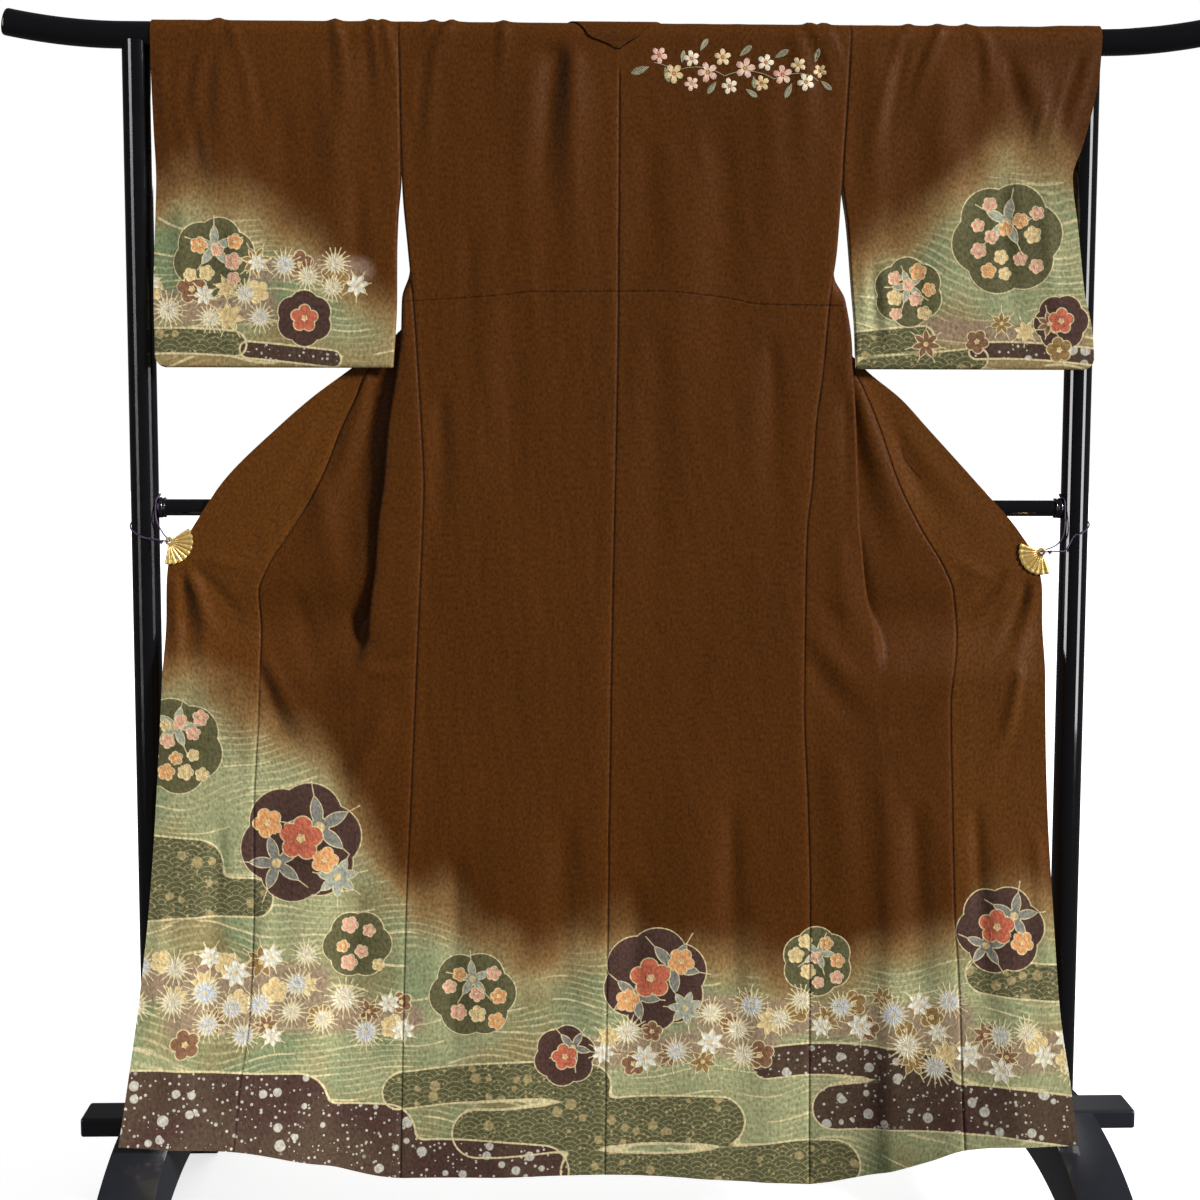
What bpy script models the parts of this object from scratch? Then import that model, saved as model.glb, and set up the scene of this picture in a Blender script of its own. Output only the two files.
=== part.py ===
# Silk visiting kimono hung on a black lacquer kimono stand.
# Metres, Z up. The back of the garment faces -Y, the floor is z = 0.
import math

import bmesh
import bpy
import numpy as np

# Cloth walls and seams
WALL = 0.0015
SEAM_GAP = 0.0003
COLLAR_WALL = 0.0030
COLLAR_WIDTH = 0.055
COLLAR_SLACK = 0.0007

# Stand
ROD_Z = 1.748
ROD_RADIUS = 0.019
ROD_STRAIGHT = 0.690
ROD_END = 0.858
ROD_RISE = 0.62
POST_X = 0.675
POST_RADIUS = 0.020
POST_TOP = 1.740
SADDLE_RADIUS = 0.0193
CROSS_Z = 1.082
CROSS_RADIUS = 0.012
FERRULE_RADIUS = 0.015
FERRULE_BORE = 0.0123
FERRULE_LENGTH = 0.010
BASE_HALF_LENGTH = 0.781
BASE_HALF_DEPTH = 0.036
BASE_BOTTOM = 0.1575
BASE_TOP = 0.186
FOOT_X0 = 0.635
FOOT_X1 = 0.715
FOOT_OUTER_Y = 0.390
FOOT_INNER_Y = 0.310
FOOT_INNER_Z = 0.100

# Cloth on the rod
DRAPE_RADIUS = 0.0197 + WALL / 2
COLLAR_RADIUS = 0.0206 + COLLAR_WALL / 2
TURN_RADIUS = 0.004
TURN_ARC = math.pi * TURN_RADIUS
ARMHOLE_Z = 1.556
SIDE_SEAM_TOP = 1.380
KENSAKI_Z = 1.530
LOWER_ZONE = 0.500

# Height and depth of the back panel's middle plane
BACK_PLANE = ((0.080, -0.0450), (0.600, -0.0400), (1.087, -0.0340), (1.380, -0.0270),
              (1.556, -0.0235), (1.650, -0.0222), (1.720, -0.0210), (1.748, -0.02045))
# Height and depth of the front panel's outer edge behind the rod, down to the side seam
FAR_PLANE = ((1.380, -0.0270), (1.420, -0.0250), (1.460, -0.0115), (1.546, -0.0020),
             (1.620, 0.0070), (1.700, 0.0165), (1.748, 0.02045))
# Distance out from the side seam and share of the forward lean of the front panels
LEAN_SHARE = ((0.0, 0.0), (0.06, 0.010), (0.228, 0.075), (0.390, 0.115), (0.450, 0.128))

# height, centre seam x
CENTRE_SEAM = ((0.080, -0.0115), (0.890, -0.0030), (1.390, 0.0050), (1.760, 0.0060))

# Back panel outer edge: height, distance out
EDGE_LEFT = ((0.080, 0.3132), (0.170, 0.3110), (0.350, 0.3065), (0.500, 0.3019), (0.650, 0.2945),
             (0.800, 0.2872), (0.960, 0.2796), (1.050, 0.2752), (1.120, 0.2729), (1.200, 0.2761),
             (1.280, 0.2803), (1.380, 0.2868), (1.450, 0.2932), (1.530, 0.3002), (1.620, 0.3032),
             (1.748, 0.3045))
EDGE_RIGHT = ((0.080, 0.2925), (0.170, 0.2913), (0.350, 0.2898), (0.500, 0.2889), (0.650, 0.2840),
              (0.800, 0.2770), (0.960, 0.2769), (1.050, 0.2783), (1.120, 0.2853), (1.200, 0.2894),
              (1.280, 0.2990), (1.380, 0.3075), (1.450, 0.3175), (1.530, 0.3225), (1.620, 0.3272),
              (1.748, 0.3337))

# Front panel by height: height, first run, second run, okumi seam, free edge (distance out)
FRONT_LEFT = ((0.080, 0.0660, 0.0030, 0.5560, 0.7120), (0.170, 0.0660, 0.0030, 0.5451, 0.7032),
              (0.250, 0.0660, 0.0030, 0.5385, 0.6945), (0.350, 0.0660, 0.0030, 0.5257, 0.6838),
              (0.500, 0.0660, 0.0030, 0.5203, 0.6699), (0.650, 0.0660, 0.0030, 0.5197, 0.6603),
              (0.800, 0.0660, 0.0030, 0.5110, 0.6510), (0.900, 0.0660, 0.0030, 0.5087, 0.6453),
              (0.960, 0.0640, 0.0030, 0.5116, 0.6435), (1.000, 0.0609, 0.0106, 0.4969, 0.6403),
              (1.050, 0.0600, 0.0242, 0.4638, 0.6072), (1.120, 0.0528, 0.0367, 0.4219, 0.5602),
              (1.200, 0.0427, 0.0498, 0.3895, 0.4787), (1.240, 0.0344, 0.0632, 0.3697, 0.4325),
              (1.280, 0.0254, 0.0917, 0.3500, 0.3783), (1.330, 0.0159, 0.1174, 0.2750, 0.3118),
              (1.380, 0.0107, 0.1475, 0.2220, 0.2700), (1.420, 0.0020, 0.1352, 0.2150, 0.2540),
              (1.460, 0.0020, 0.1345, 0.2080, 0.2380),
              (1.530, 0.0020, 0.1416, 0.2010, 0.2050), (1.620, 0.0020, 0.1666, 0.1540, 0.1580),
              (1.700, 0.0020, 0.1820, 0.1140, 0.1180), (1.748, 0.0020, 0.1835, 0.0900, 0.0900))
FRONT_RIGHT = ((0.080, 0.0980, 0.0030, 0.5090, 0.6660), (0.170, 0.0980, 0.0030, 0.5078, 0.6639),
               (0.250, 0.0980, 0.0030, 0.5064, 0.6589), (0.350, 0.0980, 0.0030, 0.5058, 0.6488),
               (0.500, 0.0980, 0.0030, 0.4989, 0.6423), (0.650, 0.0980, 0.0030, 0.4953, 0.6352),
               (0.800, 0.0980, 0.0030, 0.4909, 0.6297), (0.900, 0.0980, 0.0030, 0.5010, 0.6278),
               (0.960, 0.0853, 0.0030, 0.4955, 0.6260), (1.000, 0.0801, 0.0100, 0.4786, 0.6188),
               (1.050, 0.0737, 0.0220, 0.4475, 0.5888), (1.120, 0.0627, 0.0370, 0.4118, 0.5263),
               (1.200, 0.0548, 0.0532, 0.3829, 0.4523), (1.240, 0.0479, 0.0702, 0.3661, 0.4150),
               (1.280, 0.0395, 0.1000, 0.3440, 0.3652), (1.330, 0.0322, 0.1420, 0.2750, 0.3180),
               (1.380, 0.0188, 0.1663, 0.2250, 0.2760), (1.420, 0.0020, 0.1491, 0.2180, 0.2585),
               (1.460, 0.0020, 0.1515, 0.2120, 0.2410),
               (1.530, 0.0020, 0.1589, 0.2040, 0.2080), (1.620, 0.0020, 0.1836, 0.1560, 0.1600),
               (1.700, 0.0020, 0.2050, 0.1170, 0.1210), (1.748, 0.0020, 0.2110, 0.0920, 0.0920))

# Hem heights of the back (x, height) and of the front (distance out from the side seam, height)
BACK_HEM = ((-0.3132, 0.0955), (-0.1412, 0.0960), (-0.0177, 0.0977), (0.0777, 0.0950),
            (0.1771, 0.0874), (0.2925, 0.0803))
FRONT_HEM_LEFT = ((0.0, 0.0955), (0.030, 0.1010), (0.120, 0.1328), (0.234, 0.1670), (0.392, 0.1874))
FRONT_HEM_RIGHT = ((0.0, 0.0803), (0.030, 0.0860), (0.098, 0.1068), (0.168, 0.1362), (0.217, 0.1584),
                   (0.285, 0.1699), (0.372, 0.1773))

# Sleeve edges: height, distance out at the inner edge, at the outer edge near and far
SLEEVE_LEFT = ((1.283, 0.3150, 0.6510, 0.6510), (1.380, 0.3092, 0.6512, 0.6512),
               (1.450, 0.3088, 0.6490, 0.6490), (1.500, 0.3069, 0.6474, 0.6474),
               (1.550, 0.3030, 0.6460, 0.6460), (1.620, 0.3035, 0.6486, 0.6480),
               (1.700, 0.3044, 0.6510, 0.6500), (1.748, 0.3048, 0.6515, 0.6515))
SLEEVE_RIGHT = ((1.283, 0.3460, 0.6900, 0.6900), (1.340, 0.3438, 0.6853, 0.6853),
                (1.390, 0.3395, 0.6736, 0.6736), (1.486, 0.3320, 0.6607, 0.6607),
                (1.554, 0.3242, 0.6524, 0.6515), (1.600, 0.3262, 0.6670, 0.6465),
                (1.660, 0.3298, 0.6820, 0.6465), (1.700, 0.3315, 0.6890, 0.6480),
                (1.724, 0.3328, 0.6905, 0.6700), (1.748, 0.3340, 0.6918, 0.6918))
# Sleeve depths: height, near sheet, far sheet (plain run) and near, far close to the post
SLEEVE_DEPTH = ((1.283, -0.0315, -0.0260, -0.0318, -0.0262), (1.380, -0.0286, -0.0205, -0.0310, -0.0247),
                (1.450, -0.0264, -0.0140, -0.0303, -0.0240), (1.500, -0.0250, -0.0075, -0.0300, -0.0235),
                (1.550, -0.0237, -0.0016, -0.0288, -0.0225), (1.600, -0.0229, 0.0046, -0.0250, -0.0060),
                (1.660, -0.0221, 0.0118, -0.0232, 0.0150), (1.700, -0.0214, 0.0165, -0.0224, 0.0218),
                (1.724, -0.0209, 0.0185, -0.0222, 0.0221), (1.748, -0.02045, 0.02045, -0.0221, 0.0221))
SLEEVE_BOTTOM = 1.2830
SLEEVE_CORNER = 0.017
CUFF_BOTTOM_LEFT = 1.530
CUFF_BOTTOM_RIGHT = 1.550

# Main folds on the side that faces -Y: x high, z high, x low, z low, half width, height
BACK_FOLDS = ((-0.050, 1.735, -0.062, 1.30, 0.022, 0.0030), (-0.108, 1.735, -0.130, 1.33, 0.024, 0.0026),
              (-0.200, 1.600, -0.205, 1.05, 0.040, 0.0022), (0.090, 1.600, 0.075, 1.15, 0.045, 0.0020),
              (0.215, 1.735, 0.235, 1.42, 0.022, 0.0022), (-0.150, 0.700, -0.165, 0.08, 0.050, 0.0040),
              (0.110, 0.760, 0.125, 0.08, 0.050, 0.0040), (0.225, 0.520, 0.235, 0.08, 0.030, 0.0030))
SLEEVE_FOLDS = ((-0.552, 1.735, -0.560, 1.46, 0.024, 0.0040), (-0.395, 1.735, -0.402, 1.40, 0.022, 0.0032),
                (-0.600, 1.700, -0.630, 1.50, 0.018, 0.0030), (-0.480, 1.600, -0.470, 1.29, 0.030, 0.0024),
                (0.375, 1.735, 0.368, 1.46, 0.018, 0.0030), (0.470, 1.735, 0.462, 1.38, 0.024, 0.0036),
                (0.580, 1.720, 0.640, 1.565, 0.020, 0.0045), (0.560, 1.500, 0.535, 1.29, 0.032, 0.0026))
PANEL_FOLDS = ((-0.625, 0.985, -0.560, 0.880, 0.016, 0.0035), (-0.636, 0.980, -0.628, 0.840, 0.012, 0.0030),
               (-0.560, 0.850, -0.500, 0.700, 0.026, 0.0030), (-0.430, 0.700, -0.450, 0.140, 0.045, 0.0060),
               (-0.600, 0.600, -0.625, 0.180, 0.035, 0.0050), (0.610, 0.975, 0.530, 0.800, 0.018, 0.0040),
               (0.600, 0.860, 0.570, 0.730, 0.016, 0.0028), (0.390, 0.720, 0.400, 0.110, 0.042, 0.0055),
               (0.570, 0.620, 0.590, 0.170, 0.036, 0.0050))

# Rows down the body above the lower zone
TOP_ROWS = (1.736, 1.724, 1.712, 1.700, 1.660, 1.610, 1.556)
MID_ROWS = (1.530, 1.500, 1.460, 1.420, 1.380, 1.330, 1.280, 1.240, 1.200, 1.120, 1.050, 1.000,
            0.960, 0.925, 0.890, 0.800, 0.650)
BACK_ROWS = (0.650, 0.800, 0.890, 0.960, 1.000, 1.050, 1.120, 1.200, 1.280, 1.380, 1.460, 1.556, 1.610,
             1.660, 1.700, 1.730)
LOWER_STEPS = (0.0, 0.40, 0.74, 1.0)
ROD_STEPS = 8
RUN_COLUMNS = (1, 3, 5, 3, 2)
OKUMI_COLUMNS = 3
SLEEVE_STATIONS = 11

# Neck seam on the rod: distance out on the near side and on the far side
NECK_LEFT = (0.0370, 0.0900)
NECK_RIGHT = (0.0335, 0.0920)
# Collar below the rod on the near side: share of the seam's distance out, fall, fold edge out, run
NECK_POINT = ((0.0, -0.0170, 0.0000, 0.0440), (0.45, -0.0085, 0.0060, 0.0450))
# Collar's fold edge over the rod: distance out, run
NECK_FOLD = ((0.0140, 0.0500), (0.0190, 0.0590), (0.0245, 0.0680), (0.0300, 0.0770), (0.0355, 0.0850),
             (0.0410, 0.0920), (0.0465, 0.1000))
# Collar just below the rod on the far side: distance out, run past the rod, fold edge out, run
NECK_FALL = ((0.0940, 0.0120, 0.0510, 0.1130), (0.0990, 0.0240, 0.0570, 0.1270),
             (0.1070, 0.0360, 0.0645, 0.1380))
COLLAR_COLUMNS = 4
COLLAR_ROWS = (1.700, 1.660, 1.610, 1.556, 1.500, 1.440, 1.380, 1.330, 1.280, 1.240, 1.200, 1.160,
               1.120, 1.090)
COLLAR_END_LEFT = 1.062
COLLAR_END_RIGHT = 1.052
# Depth of the collar behind the neck: height, depth
COLLAR_NECK = ((1.700, 0.0286), (1.712, 0.0332), (1.724, 0.0344), (1.736, 0.0306), (1.748, 0.0221))

# Clips: hub x, hub z, middle direction in degrees
CLIP_LEFT = (-0.6377, 1.0349, -34.0)
CLIP_RIGHT = (0.6232, 1.0198, 226.0)
FAN_RADIUS = 0.034
FAN_SPREAD = 136.0
FAN_RIBS = 9
FAN_BACK_Y = -0.0203
FAN_WALL = 0.0016
FAN_RIB = 0.0009
JAW_FRONT_Y = -0.0171
JAW_WALL = 0.0015
CORD_RADIUS = 0.0011


def clear_scene():
    """Remove every object already in the file."""
    for item in list(bpy.data.objects):
        bpy.data.objects.remove(item, do_unlink=True)


def curve_value(table, column, x):
    """Smooth monotone value of one table column at the heights x."""
    rows = np.asarray(table, dtype=float)
    xs = rows[:, 0]
    ys = rows[:, column]
    step = np.diff(xs)
    slope = np.diff(ys) / step
    tangent = np.zeros_like(ys)
    tangent[0] = slope[0]
    tangent[-1] = slope[-1]
    same = slope[:-1] * slope[1:] > 0
    weight_a = 2 * step[1:] + step[:-1]
    weight_b = step[1:] + 2 * step[:-1]
    safe_a = np.where(same, slope[:-1], 1.0)
    safe_b = np.where(same, slope[1:], 1.0)
    tangent[1:-1] = np.where(same, (weight_a + weight_b) / (weight_a / safe_a + weight_b / safe_b), 0.0)
    x = np.clip(np.asarray(x, dtype=float), xs[0], xs[-1])
    at = np.clip(np.searchsorted(xs, x, side="right") - 1, 0, len(xs) - 2)
    h = step[at]
    t = (x - xs[at]) / h
    a = (1 + 2 * t) * (1 - t) ** 2 * ys[at]
    b = t * (1 - t) ** 2 * h * tangent[at]
    c = t * t * (3 - 2 * t) * ys[at + 1]
    d = t * t * (t - 1) * h * tangent[at + 1]
    return a + b + c + d


def ease(x, low, high):
    """Smooth step from 0 at low to 1 at high."""
    t = np.clip((np.asarray(x, dtype=float) - low) / (high - low), 0.0, 1.0)
    return t * t * (3 - 2 * t)


def fold_height(folds, x, z):
    """Height of the listed folds at x, z."""
    total = np.zeros(np.broadcast(x, z).shape)
    for x_high, z_high, x_low, z_low, width, height in folds:
        dx = x_low - x_high
        dz = z_low - z_high
        length = math.hypot(dx, dz)
        along = ((x - x_high) * dx + (z - z_high) * dz) / length
        across = ((x - x_high) * dz - (z - z_high) * dx) / length
        fade = ease(along, -0.25 * width, 0.20 * length)
        if z_low > 0.2:
            fade = fade * (1 - ease(along, 0.55 * length, length + 0.5 * width))
        total = total + height * fade * np.exp(-(across / width) ** 2)
    return total


def turned(angle_0, angle_1, arc, share):
    """Advance along an arc that turns from one heading to another, at the given share of it."""
    bend = angle_1 - angle_0
    here = angle_0 + bend * share
    flat = np.abs(bend) < 1e-4
    safe = np.where(flat, 1.0, bend)
    out = np.where(flat, arc * share * np.cos(angle_0), arc / safe * (np.sin(here) - np.sin(angle_0)))
    away = np.where(flat, arc * share * np.sin(angle_0), arc / safe * (np.cos(angle_0) - np.cos(here)))
    return out, away


class Side:
    """One half of the garment, measured outwards from the middle."""

    def __init__(self, sign, edge, front, front_hem):
        self.sign = sign
        self.edge = edge
        self.front = front
        self.front_hem = front_hem

    def lean(self, z):
        """Forward lean of the lower front panels."""
        return np.clip((0.75 - z) / 0.57, 0.0, 1.2) ** 2

    def start_depth(self, z):
        """Depth of the front panel's outer edge."""
        return np.where(z < SIDE_SEAM_TOP, curve_value(BACK_PLANE, 1, z), curve_value(FAR_PLANE, 1, z))

    def panel_end(self, z):
        """Distance out of the front panel's inner sewn edge."""
        seam = curve_value(self.front, 3, z) - SEAM_GAP / 2
        return np.where(z > KENSAKI_Z + 0.002, curve_value(self.front, 4, z), seam)

    def panel_point(self, run, share, z):
        """Distance out and depth of a front panel point on one of its five runs."""
        first = np.where(z > 1.45, math.pi, math.pi * ease(z, SIDE_SEAM_TOP, 1.46))
        second = math.pi * ease(z, 0.86, 0.97)
        roll = second * (1 - ease(z, 1.700, 1.748))
        last = second - roll
        length_1 = curve_value(self.front, 1, z)
        length_2 = curve_value(self.front, 2, z)
        out = curve_value(self.edge, 1, z) + SEAM_GAP / 2
        away = self.start_depth(z)
        turn_a = turned(first, second, TURN_ARC, 1.0)
        turn_b = turned(second, last, TURN_ARC, 1.0)
        base = out + length_1 * np.cos(first) + turn_a[0] + length_2 * np.cos(second) + turn_b[0]
        length_3 = np.where(z < 1.700, self.panel_end(z) - base, 0.0)
        top = self.panel_end(np.full_like(z, 1.700)) - self.roll_base(np.full_like(z, 1.700))
        length_3 = np.where(z < 1.700, length_3, top * (1 - 0.6 * ease(z, 1.700, 1.716)))
        self.lengths = (length_1, TURN_ARC, length_2, TURN_ARC, length_3)
        if run == 0:
            return out + share * length_1 * np.cos(first), away + share * length_1 * np.sin(first)
        out = out + length_1 * np.cos(first)
        away = away + length_1 * np.sin(first)
        if run == 1:
            part = turned(first, second, TURN_ARC, share)
            return out + part[0], away + part[1]
        out = out + turn_a[0]
        away = away + turn_a[1]
        if run == 2:
            return out + share * length_2 * np.cos(second), away + share * length_2 * np.sin(second)
        out = out + length_2 * np.cos(second)
        away = away + length_2 * np.sin(second)
        if run == 3:
            part = turned(second, last, TURN_ARC, share)
            return out + part[0], away + part[1]
        out = out + turn_b[0]
        away = away + turn_b[1]
        return out + share * length_3 * np.cos(last), away + share * length_3 * np.sin(last)

    def roll_base(self, z):
        """Distance out where the last run starts, with both turns whole."""
        edge = curve_value(self.edge, 1, z) + SEAM_GAP / 2
        return edge - curve_value(self.front, 1, z) - TURN_ARC - curve_value(self.front, 2, z)

    def shear(self, out, z):
        """Forward lean at a distance out."""
        gap = np.maximum(out - curve_value(self.edge, 1, z), 0.0)
        return -self.lean(z) * curve_value(LEAN_SHARE, 1, gap)

    def run_depth(self, z):
        """Depth of the last run, where the okumi and the collar lie."""
        return self.panel_point(3, 1.0, z)[1]

    def front_hem_height(self, gap):
        """Hem height at a distance out from the side seam."""
        return curve_value(self.front_hem, 1, gap)

    def cloth_shares(self, runs, z):
        """Share of the cloth's width at each column, at one height."""
        self.panel_point(0, 0.0, np.array([z]))
        lengths = [float(np.ravel(length)[0]) for length in self.lengths]
        return np.array([sum(lengths[:run]) + share * lengths[run] for run, share in runs]) / sum(lengths)

    def flat_gap(self, run, share):
        """Distance out from the side seam of a place on the flat lower panel."""
        z = np.array([0.17])
        return float(self.panel_point(run, share, z)[0][0] - curve_value(self.edge, 1, 0.17))


LEFT = Side(-1, EDGE_LEFT, FRONT_LEFT, FRONT_HEM_LEFT)
RIGHT = Side(1, EDGE_RIGHT, FRONT_RIGHT, FRONT_HEM_RIGHT)


def lower_heights(hem):
    """Heights of the rows from the lower zone down to a hem height."""
    return [LOWER_ZONE - (LOWER_ZONE - hem) * step for step in LOWER_STEPS]


def body_grid(side):
    """Middle surface of one body panel, from the back hem over the rod to the front hem."""
    runs = []
    for run, count in enumerate(RUN_COLUMNS):
        last = run == len(RUN_COLUMNS) - 1
        for index in range(count + (1 if last else 0)):
            runs.append((run, index / count))
    even = np.linspace(0.0, 1.0, len(runs))
    packed = side.cloth_shares(runs, ROD_Z)
    rows = []
    for step in reversed(LOWER_STEPS):
        z = np.full(even.shape, LOWER_ZONE)
        for _ in range(3):
            out = curve_value(side.edge, 1, z) - SEAM_GAP / 2
            inner = side.sign * curve_value(CENTRE_SEAM, 1, z) + SEAM_GAP / 2
            u = out + (inner - out) * even
            z = LOWER_ZONE - (LOWER_ZONE - curve_value(BACK_HEM, 1, side.sign * u)) * step
        rows.append((u, curve_value(BACK_PLANE, 1, z), z, True))
    for height in BACK_ROWS:
        z = np.full(even.shape, height)
        mix = float(ease(height, 1.40, 1.72))
        shares = even * (1 - mix) + packed * mix
        out = curve_value(side.edge, 1, z) - np.where(z < SIDE_SEAM_TOP + 0.001, SEAM_GAP / 2, 0.0)
        inner = side.sign * curve_value(CENTRE_SEAM, 1, z) + SEAM_GAP / 2
        rows.append((out + (inner - out) * shares, curve_value(BACK_PLANE, 1, z), z, True))
    outer = curve_value(side.edge, 1, ROD_Z)
    neck, far = NECK_LEFT if side.sign < 0 else NECK_RIGHT
    for index in range(ROD_STEPS + 1):
        turn = math.pi * index / ROD_STEPS
        inner = neck + (far - neck) * index / ROD_STEPS
        u = outer + (inner - outer) * packed
        y = np.full(even.shape, -DRAPE_RADIUS * math.cos(turn))
        z = np.full(even.shape, ROD_Z + DRAPE_RADIUS * math.sin(turn))
        rows.append((u, y, z, False))
    heights = [np.full(len(runs), height) for height in TOP_ROWS + MID_ROWS]
    gaps = np.array([side.flat_gap(run, share) for run, share in runs])
    heights += lower_heights(side.front_hem_height(gaps))
    for z in heights:
        u = np.zeros(len(runs))
        y = np.zeros(len(runs))
        for index, (run, share) in enumerate(runs):
            out, away = side.panel_point(run, share, z[index:index + 1])
            u[index] = out[0]
            y[index] = away[0]
        y = y + side.shear(u, z) - panel_fold(side, u, z)
        rows.append((u, y, z, False))
    return rows


def panel_fold(side, u, z):
    """Height of the main folds on the spread part of a front panel."""
    outside = ease(u - curve_value(side.edge, 1, z), 0.085, 0.12) * (1 - ease(z, 0.90, 0.97))
    return outside * fold_height(PANEL_FOLDS, side.sign * u, z)


def lay_rows(side, rows):
    """Points and faces of a grid of rows, with the main folds on the back."""
    points = []
    for u, y, z, back in rows:
        x = side.sign * u
        if back:
            y = y - fold_height(BACK_FOLDS, x, z)
        points += [(float(a), float(b), float(c)) for a, b, c in zip(x, y, z)]
    across = len(rows[0][0])
    faces = []
    for row in range(len(rows) - 1):
        for column in range(across - 1):
            a = row * across + column
            faces.append((a, a + 1, a + across + 1, a + across))
    return points, faces


def okumi_rows(side):
    """Middle surface of one overlap panel, from its point down to the hem."""
    shares = np.linspace(0.0, 1.0, OKUMI_COLUMNS + 1)
    heights = [np.full(shares.shape, KENSAKI_Z - 0.001)]
    heights += [np.full(shares.shape, height) for height in MID_ROWS if height < KENSAKI_Z - 0.002]
    seam = curve_value(side.front, 3, 0.17)
    free = curve_value(side.front, 4, 0.17)
    gaps = seam + (free - seam) * shares - curve_value(side.edge, 1, 0.17)
    heights += lower_heights(side.front_hem_height(gaps))
    rows = []
    for z in heights:
        start = curve_value(side.front, 3, z) + SEAM_GAP / 2
        u = start + (curve_value(side.front, 4, z) - start) * shares
        y = side.run_depth(z) + side.shear(u, z) - panel_fold(side, u, z)
        rows.append((u, y, z, False))
    return rows


def sleeve_ring(cuff_bottom):
    """Kind and place of every point round a sleeve, from the far side over the rod."""
    heights = [1.724, 1.700, 1.660, 1.610, 1.556, cuff_bottom - 0.02, 1.440, 1.380, 1.330, 1.300]
    ring = [("rod", math.pi - math.pi * index / ROD_STEPS) for index in range(ROD_STEPS + 1)]
    ring += [("near", height) for height in heights]
    ring += [("bottom", math.radians(angle)) for angle in (0, 60, 120, 180)]
    ring += [("far", height) for height in reversed(heights)]
    return ring


def sleeve_edges(table, kind, value, z):
    """Distance out of the inner and the outer edge at one ring place."""
    inner = float(curve_value(table, 1, z)) + SEAM_GAP / 2
    near_edge = float(curve_value(table, 2, z))
    far_edge = float(curve_value(table, 3, z))
    if kind == "rod":
        mix = 0.5 + 0.5 * math.cos(value)
        outer = near_edge * mix + far_edge * (1 - mix)
    elif kind == "far":
        outer = far_edge
    else:
        outer = near_edge
    level = 0.004 - 0.004 * math.sin(value) if kind == "bottom" else z - SLEEVE_BOTTOM
    if level < SLEEVE_CORNER:
        drop = SLEEVE_CORNER - level
        outer -= SLEEVE_CORNER - math.sqrt(max(SLEEVE_CORNER ** 2 - drop ** 2, 0.0))
    return inner, outer


def sleeve_point(side, kind, value, z, u):
    """One point of a sleeve's middle surface at the distance out u."""
    close = float(ease(u, 0.50, 0.64)) if side.sign > 0 else 0.0
    depths = [float(curve_value(SLEEVE_DEPTH, column, z)) for column in (1, 2, 3, 4)]
    plain_near, plain_far, post_near, post_far = depths
    near = plain_near * (1 - close) + post_near * close
    far = plain_far * (1 - close) + post_far * close
    if kind == "rod":
        wide = float(ease(u, 0.60, 0.645)) if side.sign > 0 else 0.0
        radius = DRAPE_RADIUS + 0.00165 * wide
        return side.sign * u, -radius * math.cos(value), ROD_Z + radius * math.sin(value)
    if kind == "near":
        fold = float(fold_height(SLEEVE_FOLDS, np.array(side.sign * u), np.array(z)))
        return side.sign * u, near - fold, z
    if kind == "far":
        return side.sign * u, far, z
    depth = (near + far) / 2 + (near - far) / 2 * math.cos(value)
    return side.sign * u, depth, z - 0.004 * math.sin(value)


def sleeve_surface(side, table, cuff_bottom):
    """Middle surface of one sleeve: near sheet, bottom fold, far sheet and the run over the rod."""
    ring = sleeve_ring(cuff_bottom)
    count = len(ring)
    points = []
    for station in range(SLEEVE_STATIONS + 1):
        share = station / SLEEVE_STATIONS
        for kind, value in ring:
            z = {"rod": ROD_Z, "bottom": SLEEVE_BOTTOM + 0.004}.get(kind, value)
            inner, outer = sleeve_edges(table, kind, value, z)
            points.append(sleeve_point(side, kind, value, z, inner + (outer - inner) * share))
    faces = []
    for station in range(SLEEVE_STATIONS):
        for place in range(count):
            after = (place + 1) % count
            a = station * count
            faces.append((a + place, a + count + place, a + count + after, a + after))
    near_side = []
    far_side = []
    for place, (kind, value) in enumerate(ring):
        if (kind == "near" and value < cuff_bottom) or (kind == "bottom" and value < 1.2):
            near_side.append(place)
        if (kind == "far" and value < cuff_bottom) or (kind == "bottom" and value > 1.9):
            far_side.append(place)
    far_side = far_side[::-1]
    last = SLEEVE_STATIONS * count
    for index in range(len(near_side) - 1):
        faces.append((last + near_side[index], last + far_side[index],
                      last + far_side[index + 1], last + near_side[index + 1]))
    return points, faces


def collar_depth(side, z):
    """Depth of the collar behind the front panel's last run."""
    if z > 1.700:
        return float(curve_value(COLLAR_NECK, 1, z))
    levels = np.array(sorted(TOP_ROWS + MID_ROWS))
    behind = float(np.interp(z, levels, side.run_depth(levels)))
    slack = COLLAR_SLACK + 0.0008 * float(ease(z, 1.60, 1.70))
    return behind + WALL / 2 + SEAM_GAP + slack + COLLAR_WALL / 2


def neck_point(side, out, run):
    """Point on the collar where it lies over the rod."""
    radius = COLLAR_RADIUS
    arc = math.pi * radius
    if run < 0:
        return side.sign * out, -radius, ROD_Z + run
    if run < arc:
        turn = run / radius
        return side.sign * out, -radius * math.cos(turn), ROD_Z + radius * math.sin(turn)
    z = ROD_Z - (run - arc)
    return side.sign * out, collar_depth(side, z), z


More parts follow.
